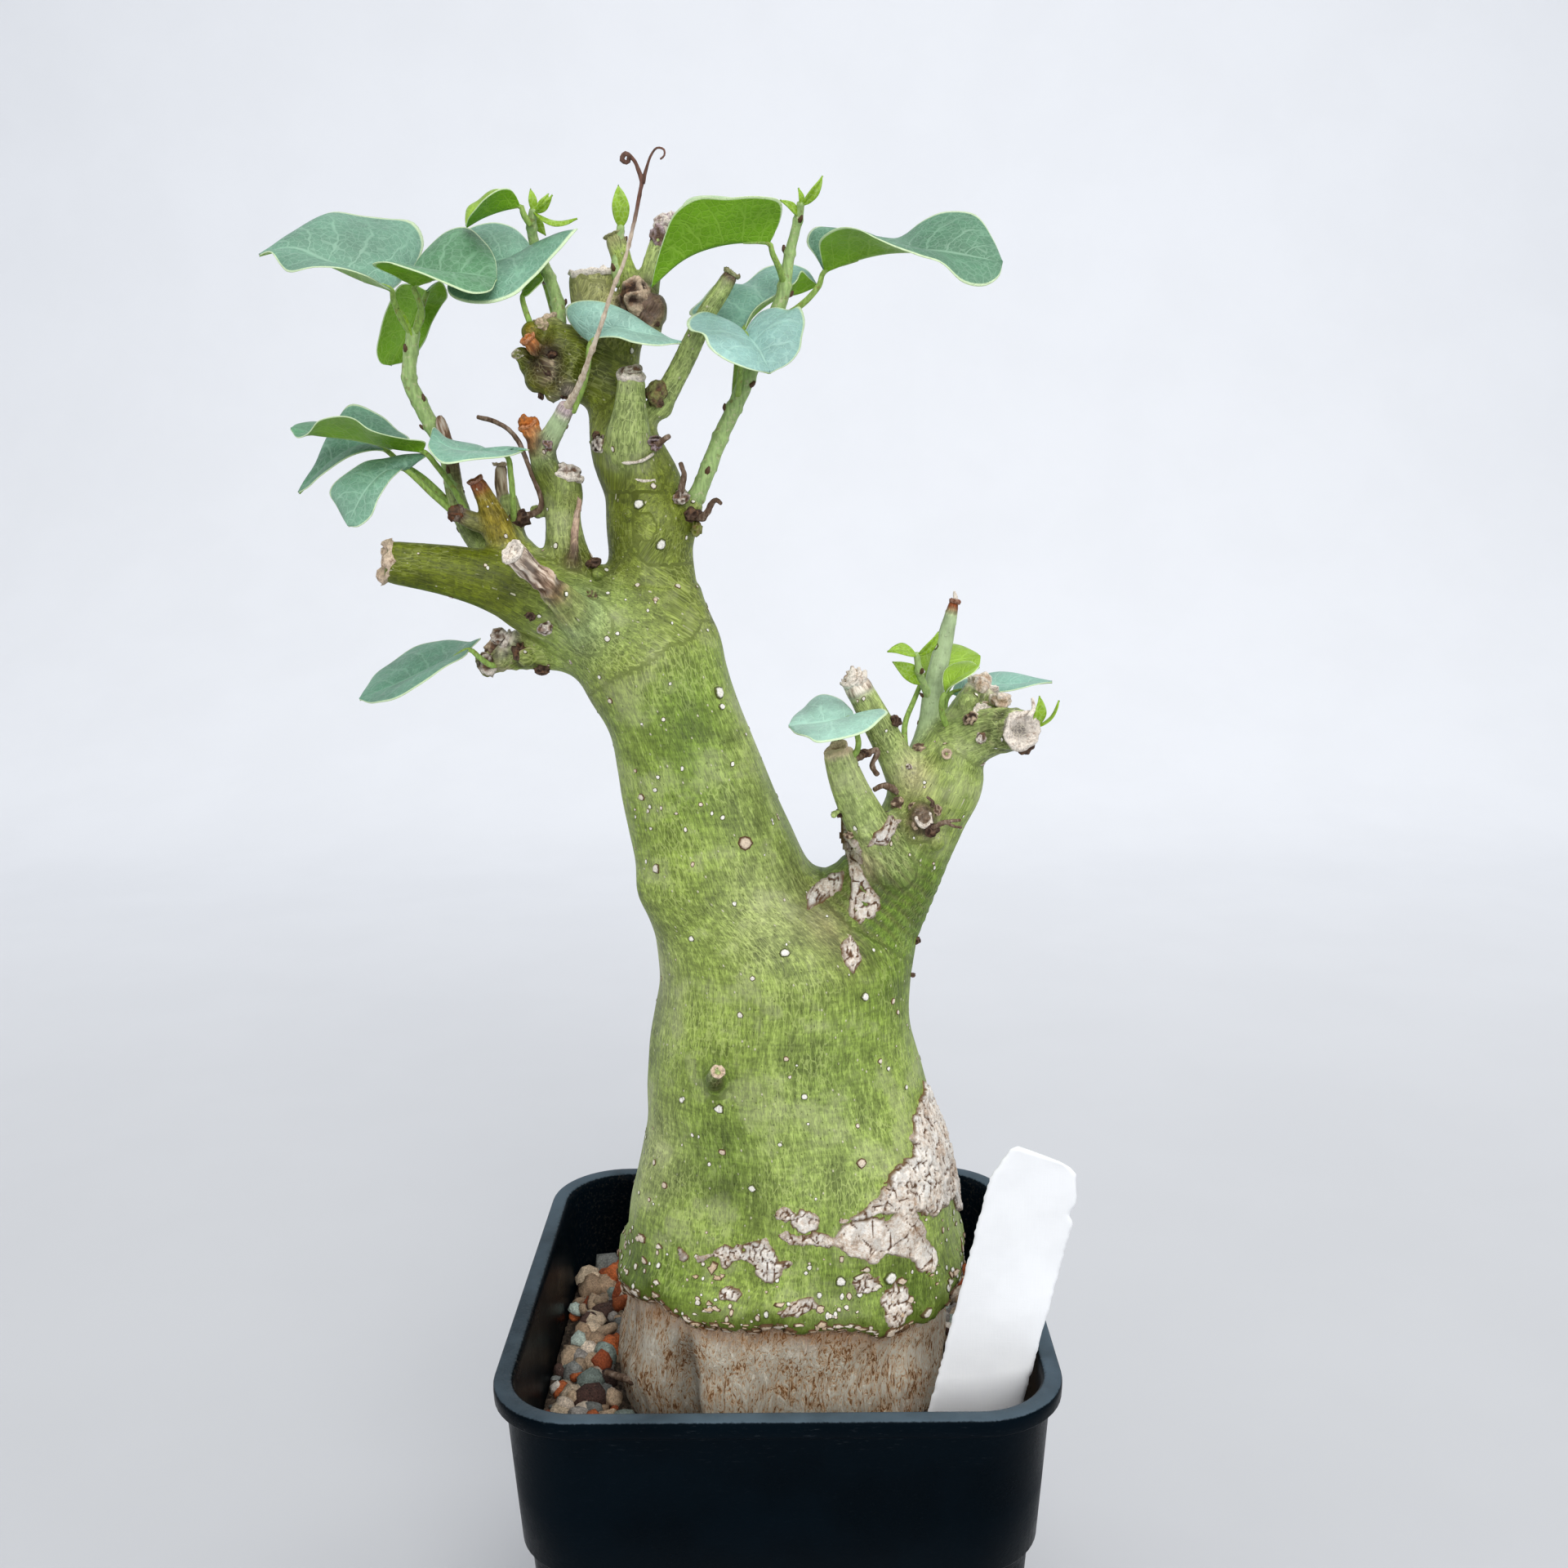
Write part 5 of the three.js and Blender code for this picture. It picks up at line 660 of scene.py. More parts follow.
def trunk_at(z):
    """Centre in X, half width and half depth of the trunk at heights z."""
    centre, half, share = (np.interp(z, PROFILE_Z, column) for column in PROFILE)
    return centre, half, half * share


def swell_at(bearing, z):
    """Sum of the swellings: each is its rise times a bell curve over bearing and height."""
    total = 0
    for at, height, spread, spread_z, rise in SWELLS:
        turn = (bearing - at + 180) % 360 - 180
        total = total + rise * np.exp(-((turn / spread) ** 2) - ((z - height) / spread_z) ** 2)
    return total


def trunk_distance(x, y, z):
    """Signed distance to the trunk: the way out along the ray from the axis, less the swellings."""
    centre, half, deep = trunk_at(z)
    u = (x - centre) / half
    v = y / deep
    gauge = (np.abs(u) ** ROUNDNESS + np.abs(v) ** ROUNDNESS) ** (1 / ROUNDNESS)
    bearing = np.degrees(np.arctan2(v, u))
    out = np.hypot(x - centre, y) * (1 - 1 / np.maximum(gauge, 0.05))
    return np.maximum(out - swell_at(bearing, z), z - 229) * 0.97


def trunk_surface(bearing, z, lift=0.0):
    """Points of the trunk's skin at bearings and heights, lifted outwards."""
    centre, half, deep = trunk_at(z)
    c, s = np.cos(np.radians(bearing)), np.sin(np.radians(bearing))
    square = (np.abs(c) ** ROUNDNESS + np.abs(s) ** ROUNDNESS) ** (-1 / ROUNDNESS)
    rise = swell_at(bearing, z) + lift
    return np.stack([centre + c * (half * square + rise), s * (deep * square + rise), z + 0 * c], axis=-1)


def foot_depth(points):
    """Millimetres below the green bark's ragged edge, negative above it."""
    bearing = np.degrees(np.arctan2(points[..., 1] / 0.88, points[..., 0] - 2))
    edge = np.interp(bearing, GREEN_EDGE[:, 0], GREEN_EDGE[:, 1])
    ragged = 1.1 * noise(points * [0.32, 0.32, 0.1], 11) + 0.5 * noise(points * [0.9, 0.9, 0.2], 12)
    return edge + ragged - points[..., 2]


def relief(points, girth=30.0):
    """Small lumps of the skin, by value noise of 12 and 4 mm.

    Near the ragged edge the bark swells into an uneven roll, and below it the foot is set back and fibrous.
    """
    lumps = 0.6 * noise(points / [12, 12, 19], 1) + 0.2 * noise(points / [4, 4, 6], 2)
    depth = foot_depth(points)
    low = np.abs(points[..., 2] - 98) < 30
    back = np.where(low, ease(-0.5, 1.0, depth) * (2.3 - 1.2 * ease(3, 16, depth)), 0)
    fibres = 0.3 * noise(points * [0.8, 0.8, 0.16], 5) + 0.12 * noise(points * [1.6, 1.6, 0.5], 19)
    fibres = np.where(low, fibres * ease(0, 1, depth), 0)
    rolls = 0.75 * noise(points / [7, 7, 3.4], 17) + 0.35 * noise(points / 2.6, 18)
    lip = np.where(low, (0.9 + 1.2 * rolls) * np.exp(-(((depth + 3.2) / 3.6) ** 2)), 0)
    return lumps * np.clip(girth / 12, 0.12, 1) - back + fibres + lip


def smooth_min(a, b, k):
    """The smaller of two distances, rounded where they are within k of each other."""
    h = np.maximum(k - np.abs(a - b), 0) / k
    return np.minimum(a, b) - h * h * k / 4


def cone_distance(p, a, b):
    """Signed distance to the cone from a to b, points with a radius: distance to the segment less the
    radius there."""
    ab = b[:3] - a[:3]
    share = np.clip(sum((p[i] - a[i]) * ab[i] for i in range(3)) / max(ab @ ab, 1e-9), 0, 1)
    away = sum((p[i] - a[i] - share * ab[i]) ** 2 for i in range(3))
    return np.sqrt(away) - (a[3] + share * (b[3] - a[3]))


def limb_line(stations):
    """The limb's stations as a smooth line with a point about every 1.6 mm."""
    return curve(stations, max(3, int(length_of(stations) / 1.6)))


def wood_field(step):
    """Signed distance of the whole woody body on a grid.

    Trunk, limbs and knots are joined by smooth_min, each worked out only in its own box. Each limb is cut
    off square at its end, and the hollows are cut out.
    """
    levels = [np.arange(75, 90, 1.2), np.arange(90, 106, 0.7), np.arange(106, 166, 1.2),
              np.arange(166, 224, 0.8), np.arange(224, 297.5, step)]
    axes = [np.arange(-70, 50 + step, step), np.arange(-35, 35 + step, step),
            np.concatenate([[66, 70, 73], *levels])]
    axes = [axis.astype(np.float32) for axis in axes]
    field = np.full([len(axis) for axis in axes], 9.0, np.float32)

    def box(low, high):
        """Slices of the grid between two corners."""
        return tuple(slice(np.searchsorted(axis, a), np.searchsorted(axis, b, "right"))
                     for axis, a, b in zip(axes, low, high))

    def local(where):
        """The grid's own X, Y and Z within a box."""
        return [axes[i][where[i]].reshape([-1 if j == i else 1 for j in range(3)]) for i in range(3)]

    def ball_at(x, y, z, radius, reach):
        """The box around a ball, and the signed distance to the ball in it."""
        part = box((x - reach, y - reach, z - reach), (x + reach, y + reach, z + reach))
        gx, gy, gz = local(part)
        return part, np.sqrt((gx - x) ** 2 + (gy - y) ** 2 + (gz - z) ** 2) - radius

    where = box((-40, -36, 60), (42, 36, 231))
    field[where] = trunk_distance(*local(where))
    for stations, blend, *_ in LIMBS.values():
        line = limb_line(stations)
        reach = line[:, 3:].max() + blend + 1.5
        whole = box(line[:, :3].min(axis=0) - reach, line[:, :3].max(axis=0) + reach)
        limb = np.full(field[whole].shape, 9.0, np.float32)
        for a, b in zip(line[:-1], line[1:]):
            reach = max(a[3], b[3]) + blend + 1
            part = box(np.minimum(a, b)[:3] - reach, np.maximum(a, b)[:3] + reach)
            inner = tuple(slice(p.start - w.start, p.stop - w.start) for p, w in zip(part, whole))
            limb[inner] = np.minimum(limb[inner], cone_distance(local(part), a, b))
        end = line[-1]
        ahead = unit(end[:3] - line[-3, :3])
        beyond = sum((c - end[i]) * ahead[i] for i, c in enumerate(local(whole)))
        limb = -smooth_min(-limb, -beyond, 0.3 * end[3])
        field[whole] = smooth_min(field[whole], limb, blend)
    for x, y, z, radius, blend in KNOTS:
        part, away = ball_at(x, y, z, radius, radius + blend + 1)
        field[part] = smooth_min(field[part], away, blend)
    for x, y, z, radius in HOLLOWS:
        part, away = ball_at(x, y, z, radius, radius + 1)
        field[part] = -smooth_min(-field[part], away, 0.4)
    field[:, :, :2] = np.maximum(field[:, :, :2], 0.5)
    return field, axes


def surface_net(field, axes):
    """Surface where the field is zero, facing outwards.

    Each cell that the surface passes through holds one point, the mean of where its edges cross zero, and
    each crossing edge gives the quad of the four cells around it.
    """
    inside = field < 0
    cells = [n - 1 for n in field.shape]
    crossings, corners = [], []
    for axis in range(3):
        b, c = (axis + 1) % 3, (axis + 2) % 3
        low, high = [slice(None)] * 3, [slice(None)] * 3
        low[axis], high[axis] = slice(None, -1), slice(1, None)
        at = np.argwhere(inside[tuple(low)] != inside[tuple(high)])
        keep = (at[:, b] > 0) & (at[:, b] < cells[b]) & (at[:, c] > 0) & (at[:, c] < cells[c])
        at = at[keep]
        ahead = at.copy()
        ahead[:, axis] += 1
        f0, f1 = field[tuple(at.T)], field[tuple(ahead.T)]
        point = np.stack([axes[i][at[:, i]] for i in range(3)], axis=1).astype(float)
        point[:, axis] += f0 / (f0 - f1) * (axes[axis][ahead[:, axis]] - axes[axis][at[:, axis]])
        quad = []
        for db, dc in ((0, 0), (-1, 0), (-1, -1), (0, -1)):
            cell = at.copy()
            cell[:, b] += db
            cell[:, c] += dc
            quad.append(np.ravel_multi_index(tuple(cell.T), tuple(cells)))
        quad = np.stack(quad, axis=1)
        quad = np.where((f0 < 0)[:, None], quad, quad[:, ::-1])
        crossings.append(np.repeat(point, 4, axis=0))
        corners.append(quad)
    crossings, corners = np.vstack(crossings), np.vstack(corners)
    _, place = np.unique(corners.ravel(), return_inverse=True)
    place = place.ravel()
    count = np.bincount(place)
    points = np.stack([np.bincount(place, crossings[:, i]) / count for i in range(3)], axis=1)
    return points, place.reshape(-1, 4)


def relaxed(points, quads, rounds=2):
    """Points moved half way to the mean of their neighbours, a few times."""
    a, b = quads.ravel(), np.roll(quads, -1, axis=1).ravel()
    count = np.bincount(a, minlength=len(points)) + np.bincount(b, minlength=len(points))
    for _ in range(rounds):
        sums = [np.bincount(a, points[b, i], len(points)) + np.bincount(b, points[a, i], len(points))
                for i in range(3)]
        points = points * 0.5 + 0.5 * np.stack(sums, axis=1) / count[:, None]
    return points


def normals_of(points, quads):
    """Unit normal of each point: the sum of its quads' diagonal products."""
    face = np.cross(points[quads[:, 2]] - points[quads[:, 0]], points[quads[:, 3]] - points[quads[:, 1]])
    total = [np.bincount(quads.ravel(), np.repeat(face[:, i], 4), len(points)) for i in range(3)]
    return unit(np.stack(total, axis=1))


BARK = {  # base colours of the wood, linear
    "green": (0.225, 0.31, 0.055), "olive": (0.115, 0.145, 0.004), "deep_green": (0.115, 0.2, 0.014),
    "pale_green": (0.29, 0.37, 0.12), "khaki": (0.25, 0.26, 0.09), "mint": (0.36, 0.47, 0.26),
    "ochre": (0.25, 0.19, 0.015), "rust": (0.2, 0.05, 0.012), "orange": (0.52, 0.16, 0.03),
    "umber": (0.13, 0.08, 0.055), "coal": (0.035, 0.018, 0.012), "cork": (0.76, 0.69, 0.61),
    "straw": (0.6, 0.46, 0.33), "pink": (0.5, 0.33, 0.25), "dusty": (0.36, 0.38, 0.19),
    "lilac": (0.42, 0.33, 0.35), "moss": (0.165, 0.205, 0.02),
}

UPRIGHT = ("main_top", "crown_left")  # limbs that go on with the trunk's grain

# Colour areas on the trunk: x, y, z, reach, colour, strength
STAINS = [
    [-14, -13, 208, 9, "deep_green", 0.8], [-10, -20, 130, 9, "deep_green", 0.75],
    [10, -26, 135, 16, "pale_green", 0.5], [-20, -18, 105, 10, "deep_green", 0.6],
    [0, -14, 190, 12, "pale_green", 0.35], [-24, -10, 225, 12, "pale_green", 0.4],
    [8, -26, 112, 9, "deep_green", 0.4], [22, -14, 160, 8, "deep_green", 0.6],
    [26, -6, 196, 3.6, "pink", 0.4], [14, -16, 168, 6, "umber", 0.35], [24, -24, 102, 7, "deep_green", 0.8],
    [9, -14, 171, 4.5, "pink", 0.3], [-28, -18, 102, 8, "deep_green", 0.6],
    [20, -10, 172, 8, "deep_green", 0.8], [-15, 16, 150, 22, "olive", 0.4], [12, 18, 130, 20, "olive", 0.3],
    [-30, -6, 240, 10, "olive", 0.3], [-20, -10, 125, 10, "dusty", 0.6], [-22, -6, 160, 9, "dusty", 0.6],
    [4, -10, 205, 9, "dusty", 0.6], [0, -16, 172, 9, "dusty", 0.45], [12, -22, 146, 10, "deep_green", 0.35],
    [-14, -14, 197, 8, "deep_green", 0.4], [10, -10, 176, 5, "umber", 0.3],
    [-35.2, -15, 228.6, 2, "rust", 0.95], [-33, -11.5, 226.4, 3, "mint", 0.8],
    [-36.6, -19, 231.6, 2.2, "rust", 0.9], [-38.4, -20.6, 233.6, 2.2, "orange", 0.6],
    [-38.5, -4.5, 271, 3.6, "coal", 0.9], [-36.6, -4.5, 267, 2.2, "coal", 0.8],
    [-34, -3.4, 270.4, 2.6, "olive", 0.8], [-9.9, -27.6, 146, 1.9, "coal", 0.8],
    [-10.2, -25, 142.8, 2.4, "umber", 0.5], [16.5, -9, 180.5, 3, "straw", 0.5],
]


def near(points, place, reach, power=2, scale=1):
    """How close points are to a place: e to minus (the distance over the reach) to a power."""
    return np.exp(-((np.linalg.norm((points - np.array(place)) * scale, axis=1) / reach) ** power))


def dyed(colour, name, share):
    """Colours moved towards a named colour of the bark by a share for each point."""
    return colour + share[:, None] * (np.array(BARK[name]) - colour)


def wood_looks(points):
    """Colour, dryness, girth and the grain's own coordinates of each point of the wood.

    Each limb counts by exp(-distance / 0.7 mm) and gives its root colour, turning to its tip colour near the
    end. The grain is the place across and along the limb that counts most.
    """
    high = points[:, 2] + 2.5 * noise(points / 5, 15)
    total = np.exp(-np.maximum(trunk_distance(*points.T), 0) / 0.7) * (1 - 0.999 * ease(203, 226, high))
    best = total.copy()
    colour = np.outer(total, BARK["green"])
    dry = np.zeros(len(points))
    girth = total * 26
    grain = points.copy()
    grain[:, 0] -= trunk_at(points[:, 2])[0]
    for number, (name, (stations, _, root, tip, reach, dryness)) in enumerate(LIMBS.items()):
        line = limb_line(stations)
        at = np.concatenate([[0], np.cumsum(np.linalg.norm(np.diff(line[:, :3], axis=0), axis=1))])
        pad = line[:, 3].max() + 3
        low, top = line[:, :3].min(axis=0) - pad, line[:, :3].max(axis=0) + pad
        close = np.all((points > low) & (points < top), axis=1)
        p = points[close][:, None]
        a, ab = line[None, :-1, :3], np.diff(line[:, :3], axis=0)[None]
        share = np.clip(((p - a) * ab).sum(-1) / (ab**2).sum(-1), 0, 1)
        away = np.linalg.norm(p - a - share[..., None] * ab, axis=-1)
        radius = line[None, :-1, 3] + share * np.diff(line[:, 3])[None]
        pick = (away - radius).argmin(axis=1)
        row = np.arange(len(pick))
        gap = (away - radius)[row, pick]
        spot = at[pick] + share[row, pick] * np.diff(at)[pick]
        weight = np.exp(-np.maximum(gap, 0) / 0.7) * 1.001
        tipped = ease(at[-1] - reach - 0.6, at[-1] - reach + 0.6 + 0.4 * reach, spot)[:, None]
        shade = np.array(BARK[root]) * (1 - tipped) + np.array(BARK[tip]) * tipped
        colour[close] += weight[:, None] * shade
        dry[close] += weight * dryness * tipped[:, 0]
        girth[close] += weight * radius[row, pick]
        total[close] += weight
        _, side, across = frames(line)
        off = p[:, 0] - (a[0, pick] + share[row, pick, None] * ab[0, pick])
        own = np.stack([(off * side[pick]).sum(1), (off * across[pick]).sum(1), spot + 37 * number], axis=1)
        wins = (weight > best[close]) & (name not in UPRIGHT)
        index = np.flatnonzero(close)[wins]
        grain[index] = own[wins]
        best[index] = weight[wins]
    colour /= total[:, None]
    for *place, reach, shade, strength in STAINS:
        thick = 1 if reach < 4 else np.clip(girth / total / 6, 0, 1)
        colour = dyed(colour, shade, strength * near(points, place, reach, scale=[1, 1, 0.8]) * thick)
    return colour, dry / total, girth / total, grain


def wood_skin(field, axes):
    """The woody body's shape, with its colour, dryness, grain and depth below the green edge.

    The skin is raised by its relief, pitted where it is dry, furrowed by ridges, 1 - 2|noise|, where it has
    crumbled, and folded by a sine in the fork. Shade is painted into hollows, creases and the foot's groove
    as the value shade, which darkens the bark's colour.
    """
    points, quads = surface_net(field, axes)
    points = relaxed(points, quads)
    colour, dry, girth, grain = wood_looks(points)
    out = normals_of(points, quads)
    foot = foot_depth(points)
    pits = dry * (0.4 * noise(grain * [1.1, 1.1, 0.22], 8) + 0.2 * noise(grain * [2.2, 2.2, 0.5], 9))
    ridge = 1 - 2 * np.abs(noise(points / [2.4, 2.4, 1.7], 13)) + 0.5 * noise(points / 0.9, 14)
    crumbled = np.zeros(len(points))
    deep = np.zeros(len(points))
    for *place, reach, depth in CRUMBLED:
        mask = near(points, place, reach, 4)
        crumbled = np.maximum(crumbled, mask)
        deep = np.maximum(deep, mask * depth)
    along = (points - FORK_FOLDS) @ FOLD_RUN + FOLD_START
    folds = 0.7 * np.sin(along * 3.2 + 3 * noise(points / 4, 16))
    folds = folds * near(points, FORK_FOLDS, 8.5, scale=[0.8, 0.7, 1])
    rise = relief(points, girth) + pits + deep * 0.6 * (ridge - 0.5) + 0.5 * folds
    points = points + out * rise[:, None]
    colour = dyed(colour, "coal", ease(0.75, -0.2, ridge) * crumbled * 0.75)
    colour = dyed(colour, "straw", ease(0.75, 1.2, ridge) * crumbled * 0.5)
    colour = dyed(colour, "umber", 0.4 * ease(0.2, -0.8, folds / 0.7) * (np.abs(folds) > 0.02))
    # Painted shade, kept as the value shade: dark in the foot's groove near bearing -121.5 and spreading
    # further to its left, a fainter band beyond that, all below about 99 mm, and at the listed hollows and
    # creases
    bearing = np.degrees(np.arctan2(points[:, 1] / 0.88, points[:, 0] - 1))
    below = ease(99, 94, points[:, 2])
    painted_groove_shade = 0.7 * np.exp(-(((bearing + 121.5) / np.where(bearing < -121.5, 6, 1.6)) ** 2))
    shade = (painted_groove_shade + 0.25 * ease(-124, -128, bearing) * ease(-175, -160, bearing)) * below
    for *place, reach, depth in PAINTED_SHADES:
        shade = np.maximum(shade, depth * near(points, place, reach))
    return Shape(points, quads, tint=colour, dry=dry, grain=grain, foot=foot, shade=shade)


@functools.lru_cache(maxsize=1)
def wood():
    """The woody skin's shape, its normals, and the depth in Y of its front over X and Z."""
    field, axes = wood_field(WOOD_STEP)
    inside = field < 0
    hit = np.maximum(inside.argmax(axis=1), 1)[:, None]
    f0 = np.take_along_axis(field, hit - 1, axis=1)[:, 0]
    f1 = np.take_along_axis(field, hit, axis=1)[:, 0]
    share = np.where(f0 != f1, f0 / np.where(f0 != f1, f0 - f1, 1), 0)
    depth = axes[1][hit[:, 0] - 1] + share * (axes[1][hit[:, 0]] - axes[1][hit[:, 0] - 1])
    depth = np.where(inside.any(axis=1), depth, 0.0)
    shape = wood_skin(field, axes)
    return shape, normals_of(shape.points, shape.quads), depth, axes


def front_surface(x, z):
    """Points of the wood's front at X and Z, blended between the four nearest places of the depth map."""
    _, _, depth, axes = wood()
    i = np.clip(np.interp(x, axes[0], np.arange(len(axes[0]))), 0, len(axes[0]) - 2)
    k = np.clip(np.interp(z, axes[2], np.arange(len(axes[2]))), 0, len(axes[2]) - 2)
    a, c = i.astype(int), k.astype(int)
    s, t = i - a, k - c
    y = ((depth[a, c] * (1 - s) + depth[a + 1, c] * s) * (1 - t)
         + (depth[a, c + 1] * (1 - s) + depth[a + 1, c + 1] * s) * t)
    return np.stack([x, y, z], axis=-1)


def closed_sheet(top, bottom, keep, **values):
    """Two grids of points as one closed solid over the kept cells, with walls along the open edges."""
    rows, columns = top.shape[:2]
    quads = grid_quads(rows, columns, False)[keep.ravel()]
    count = rows * columns
    edges = np.stack([quads, np.roll(quads, -1, axis=1)], axis=-1).reshape(-1, 2)
    forward, back = edges[:, 0] * count + edges[:, 1], edges[:, 1] * count + edges[:, 0]
    a, b = edges[~np.isin(forward, back)].T
    walls = np.stack([b, a, a + count, b + count], axis=1)
    every = np.vstack([quads, quads[:, ::-1] + count, walls])
    used, place = np.unique(every.ravel(), return_inverse=True)
    points = np.vstack([top.reshape(-1, 3), bottom.reshape(-1, 3)])[used]
    doubled = {}
    for name, value in values.items():
        flat = np.asarray(value, float)
        if flat.shape[:2] == (rows, columns):
            flat = np.concatenate([flat.reshape(count, -1), flat.reshape(count, -1)])[used]
            doubled[name] = flat if flat.shape[1] > 1 else flat[:, 0]
        else:
            doubled[name] = flat[used]
    uv = doubled.pop("uv", None)
    return Shape(points, place.reshape(-1, 4), uv=uv, **doubled)


def inside_distance(p, outline):
    """Distance to a closed outline, positive inside: the nearest side's, signed by the crossing count."""
    a = np.asarray(outline, float)
    ab = np.roll(a, -1, axis=0) - a
    pa = p[..., None, :] - a
    share = np.clip((pa * ab).sum(-1) / (ab**2).sum(-1), 0, 1)
    away = np.linalg.norm(pa - share[..., None] * ab, axis=-1).min(axis=-1)
    b = a + ab
    straddles = (a[:, 1] > p[..., None, 1]) != (b[:, 1] > p[..., None, 1])
    slope = ab[:, 0] / np.where(np.abs(ab[:, 1]) < 1e-6, 1e-6, ab[:, 1])
    crosses = straddles & (p[..., None, 0] < slope * (p[..., None, 1] - a[:, 1]) + a[:, 0])
    return np.where(crosses.sum(-1) % 2 == 1, away, -away)


TRUNK_RADIUS = 30  # radius at which bearings on the trunk are taken as lengths

# Whitish cork crusts: where their outline lies ("trunk": bearing in degrees and height, "front": X and
# height), how far they stand out, size of their plates, outline
CRUSTS = [
    ("trunk", 0.8, 2.3,
     [[-74, 119.5], [-66.6, 121.5], [-60.9, 124], [-55, 126.5], [-49, 127.5], [-42.8, 128], [-40.7, 131.5],
      [-32.1, 134], [-23.2, 136.5], [-14, 137], [-2.3, 133], [7, 126], [10, 117], [6, 110.5], [-2, 108.5],
      [-10, 111], [-17, 114.6], [-25, 115.5], [-31, 116.5], [-38.6, 115.5], [-42.8, 117], [-48, 118.5],
      [-60.9, 120]]),
    ("trunk", 0.5, 5.5,
     [[-81.2, 116.5], [-75.8, 117.8], [-70.3, 119.5], [-64.7, 120], [-55, 119.4], [-48, 118.6],
      [-44.9, 115.5], [-42.8, 112], [-38.6, 109.5], [-38.6, 107.5], [-42.8, 106.5], [-48, 107.5], [-51, 110],
      [-56, 111], [-59.9, 112.2], [-62.8, 110.2], [-66.6, 110.4], [-71.2, 112.5], [-76.7, 114.8],
      [-80.3, 115]]),
    ("trunk", 0.35, 1.4, [[-98, 120.8], [-93.6, 121.4], [-90.1, 120.8], [-91.8, 119.6], [-96.2, 119.8]]),
    ("trunk", 0.4, 2.2,
     [[-90.1, 120], [-87.4, 121.6], [-83, 121.2], [-80.8, 119.5], [-82.1, 117.8], [-86.6, 117.4],
      [-90.1, 118.6]]),
    ("trunk", 0.4, 1.6,
     [[-94.5, 116.6], [-91.8, 117.6], [-88.3, 116.6], [-83, 117], [-78.5, 116.8], [-78.5, 115], [-83, 115],
      [-87.4, 115.4], [-91.8, 115]]),
    ("trunk", 0.5, 1.8,
     [[-128.8, 112.5], [-122.2, 112.5], [-116.7, 113.2], [-112.2, 114], [-107.7, 113.2], [-103.3, 115],
      [-98.9, 115.5], [-94.5, 113], [-91, 112], [-92.7, 109.8], [-96.2, 108], [-99.7, 107.5], [-102.4, 110],
      [-105, 112], [-108.6, 112], [-112.2, 110], [-116.7, 111], [-122.2, 110], [-127.8, 110.2]]),
    ("trunk", 0.35, 1.4, [[-114.9, 106.5], [-109.5, 107.8], [-105, 106], [-107.7, 104.2], [-113.1, 104]]),
    ("trunk", 0.35, 1.2,
     [[-95.4, 104], [-90.1, 105.6], [-83.9, 105.4], [-82.1, 104], [-88.3, 102.6], [-93.6, 102.6]]),
    ("trunk", 0.3, 1.6,
     [[-62.8, 106.5], [-57, 107], [-53, 105], [-52, 101], [-55, 99.4], [-60.9, 100.6], [-62.8, 103.5]]),
    ("trunk", 0.45, 1.5,
     [[-70.3, 108.2], [-66.6, 109.4], [-62.8, 108], [-62.8, 106], [-66.6, 104.8], [-70.3, 106]]),
    ("front", 0.45, 2.2,
     [[6, 175], [8, 176.6], [10.6, 177.4], [12.6, 178], [12.6, 176], [11.2, 175], [8.8, 174], [6.4, 173.6]]),
    ("front", 0.5, 2.4,
     [[13, 187], [15.6, 185], [16.4, 180], [18, 176.6], [19.6, 173.6], [18.8, 171], [15.8, 170],
      [13.6, 171.4], [13.8, 174.5], [14.2, 177], [13.4, 181], [12.6, 184]]),
    ("front", 0.4, 1.6, [[12.2, 167], [13.8, 169], [15.6, 167], [15.4, 164.4], [14, 162.8], [12.6, 164.2]]),
    ("front", 0.45, 1.8,
     [[16.5, 184], [18, 187], [21, 189.5], [23.6, 188.4], [22, 186.4], [20.4, 184.6], [18.6, 184.6]]),
]


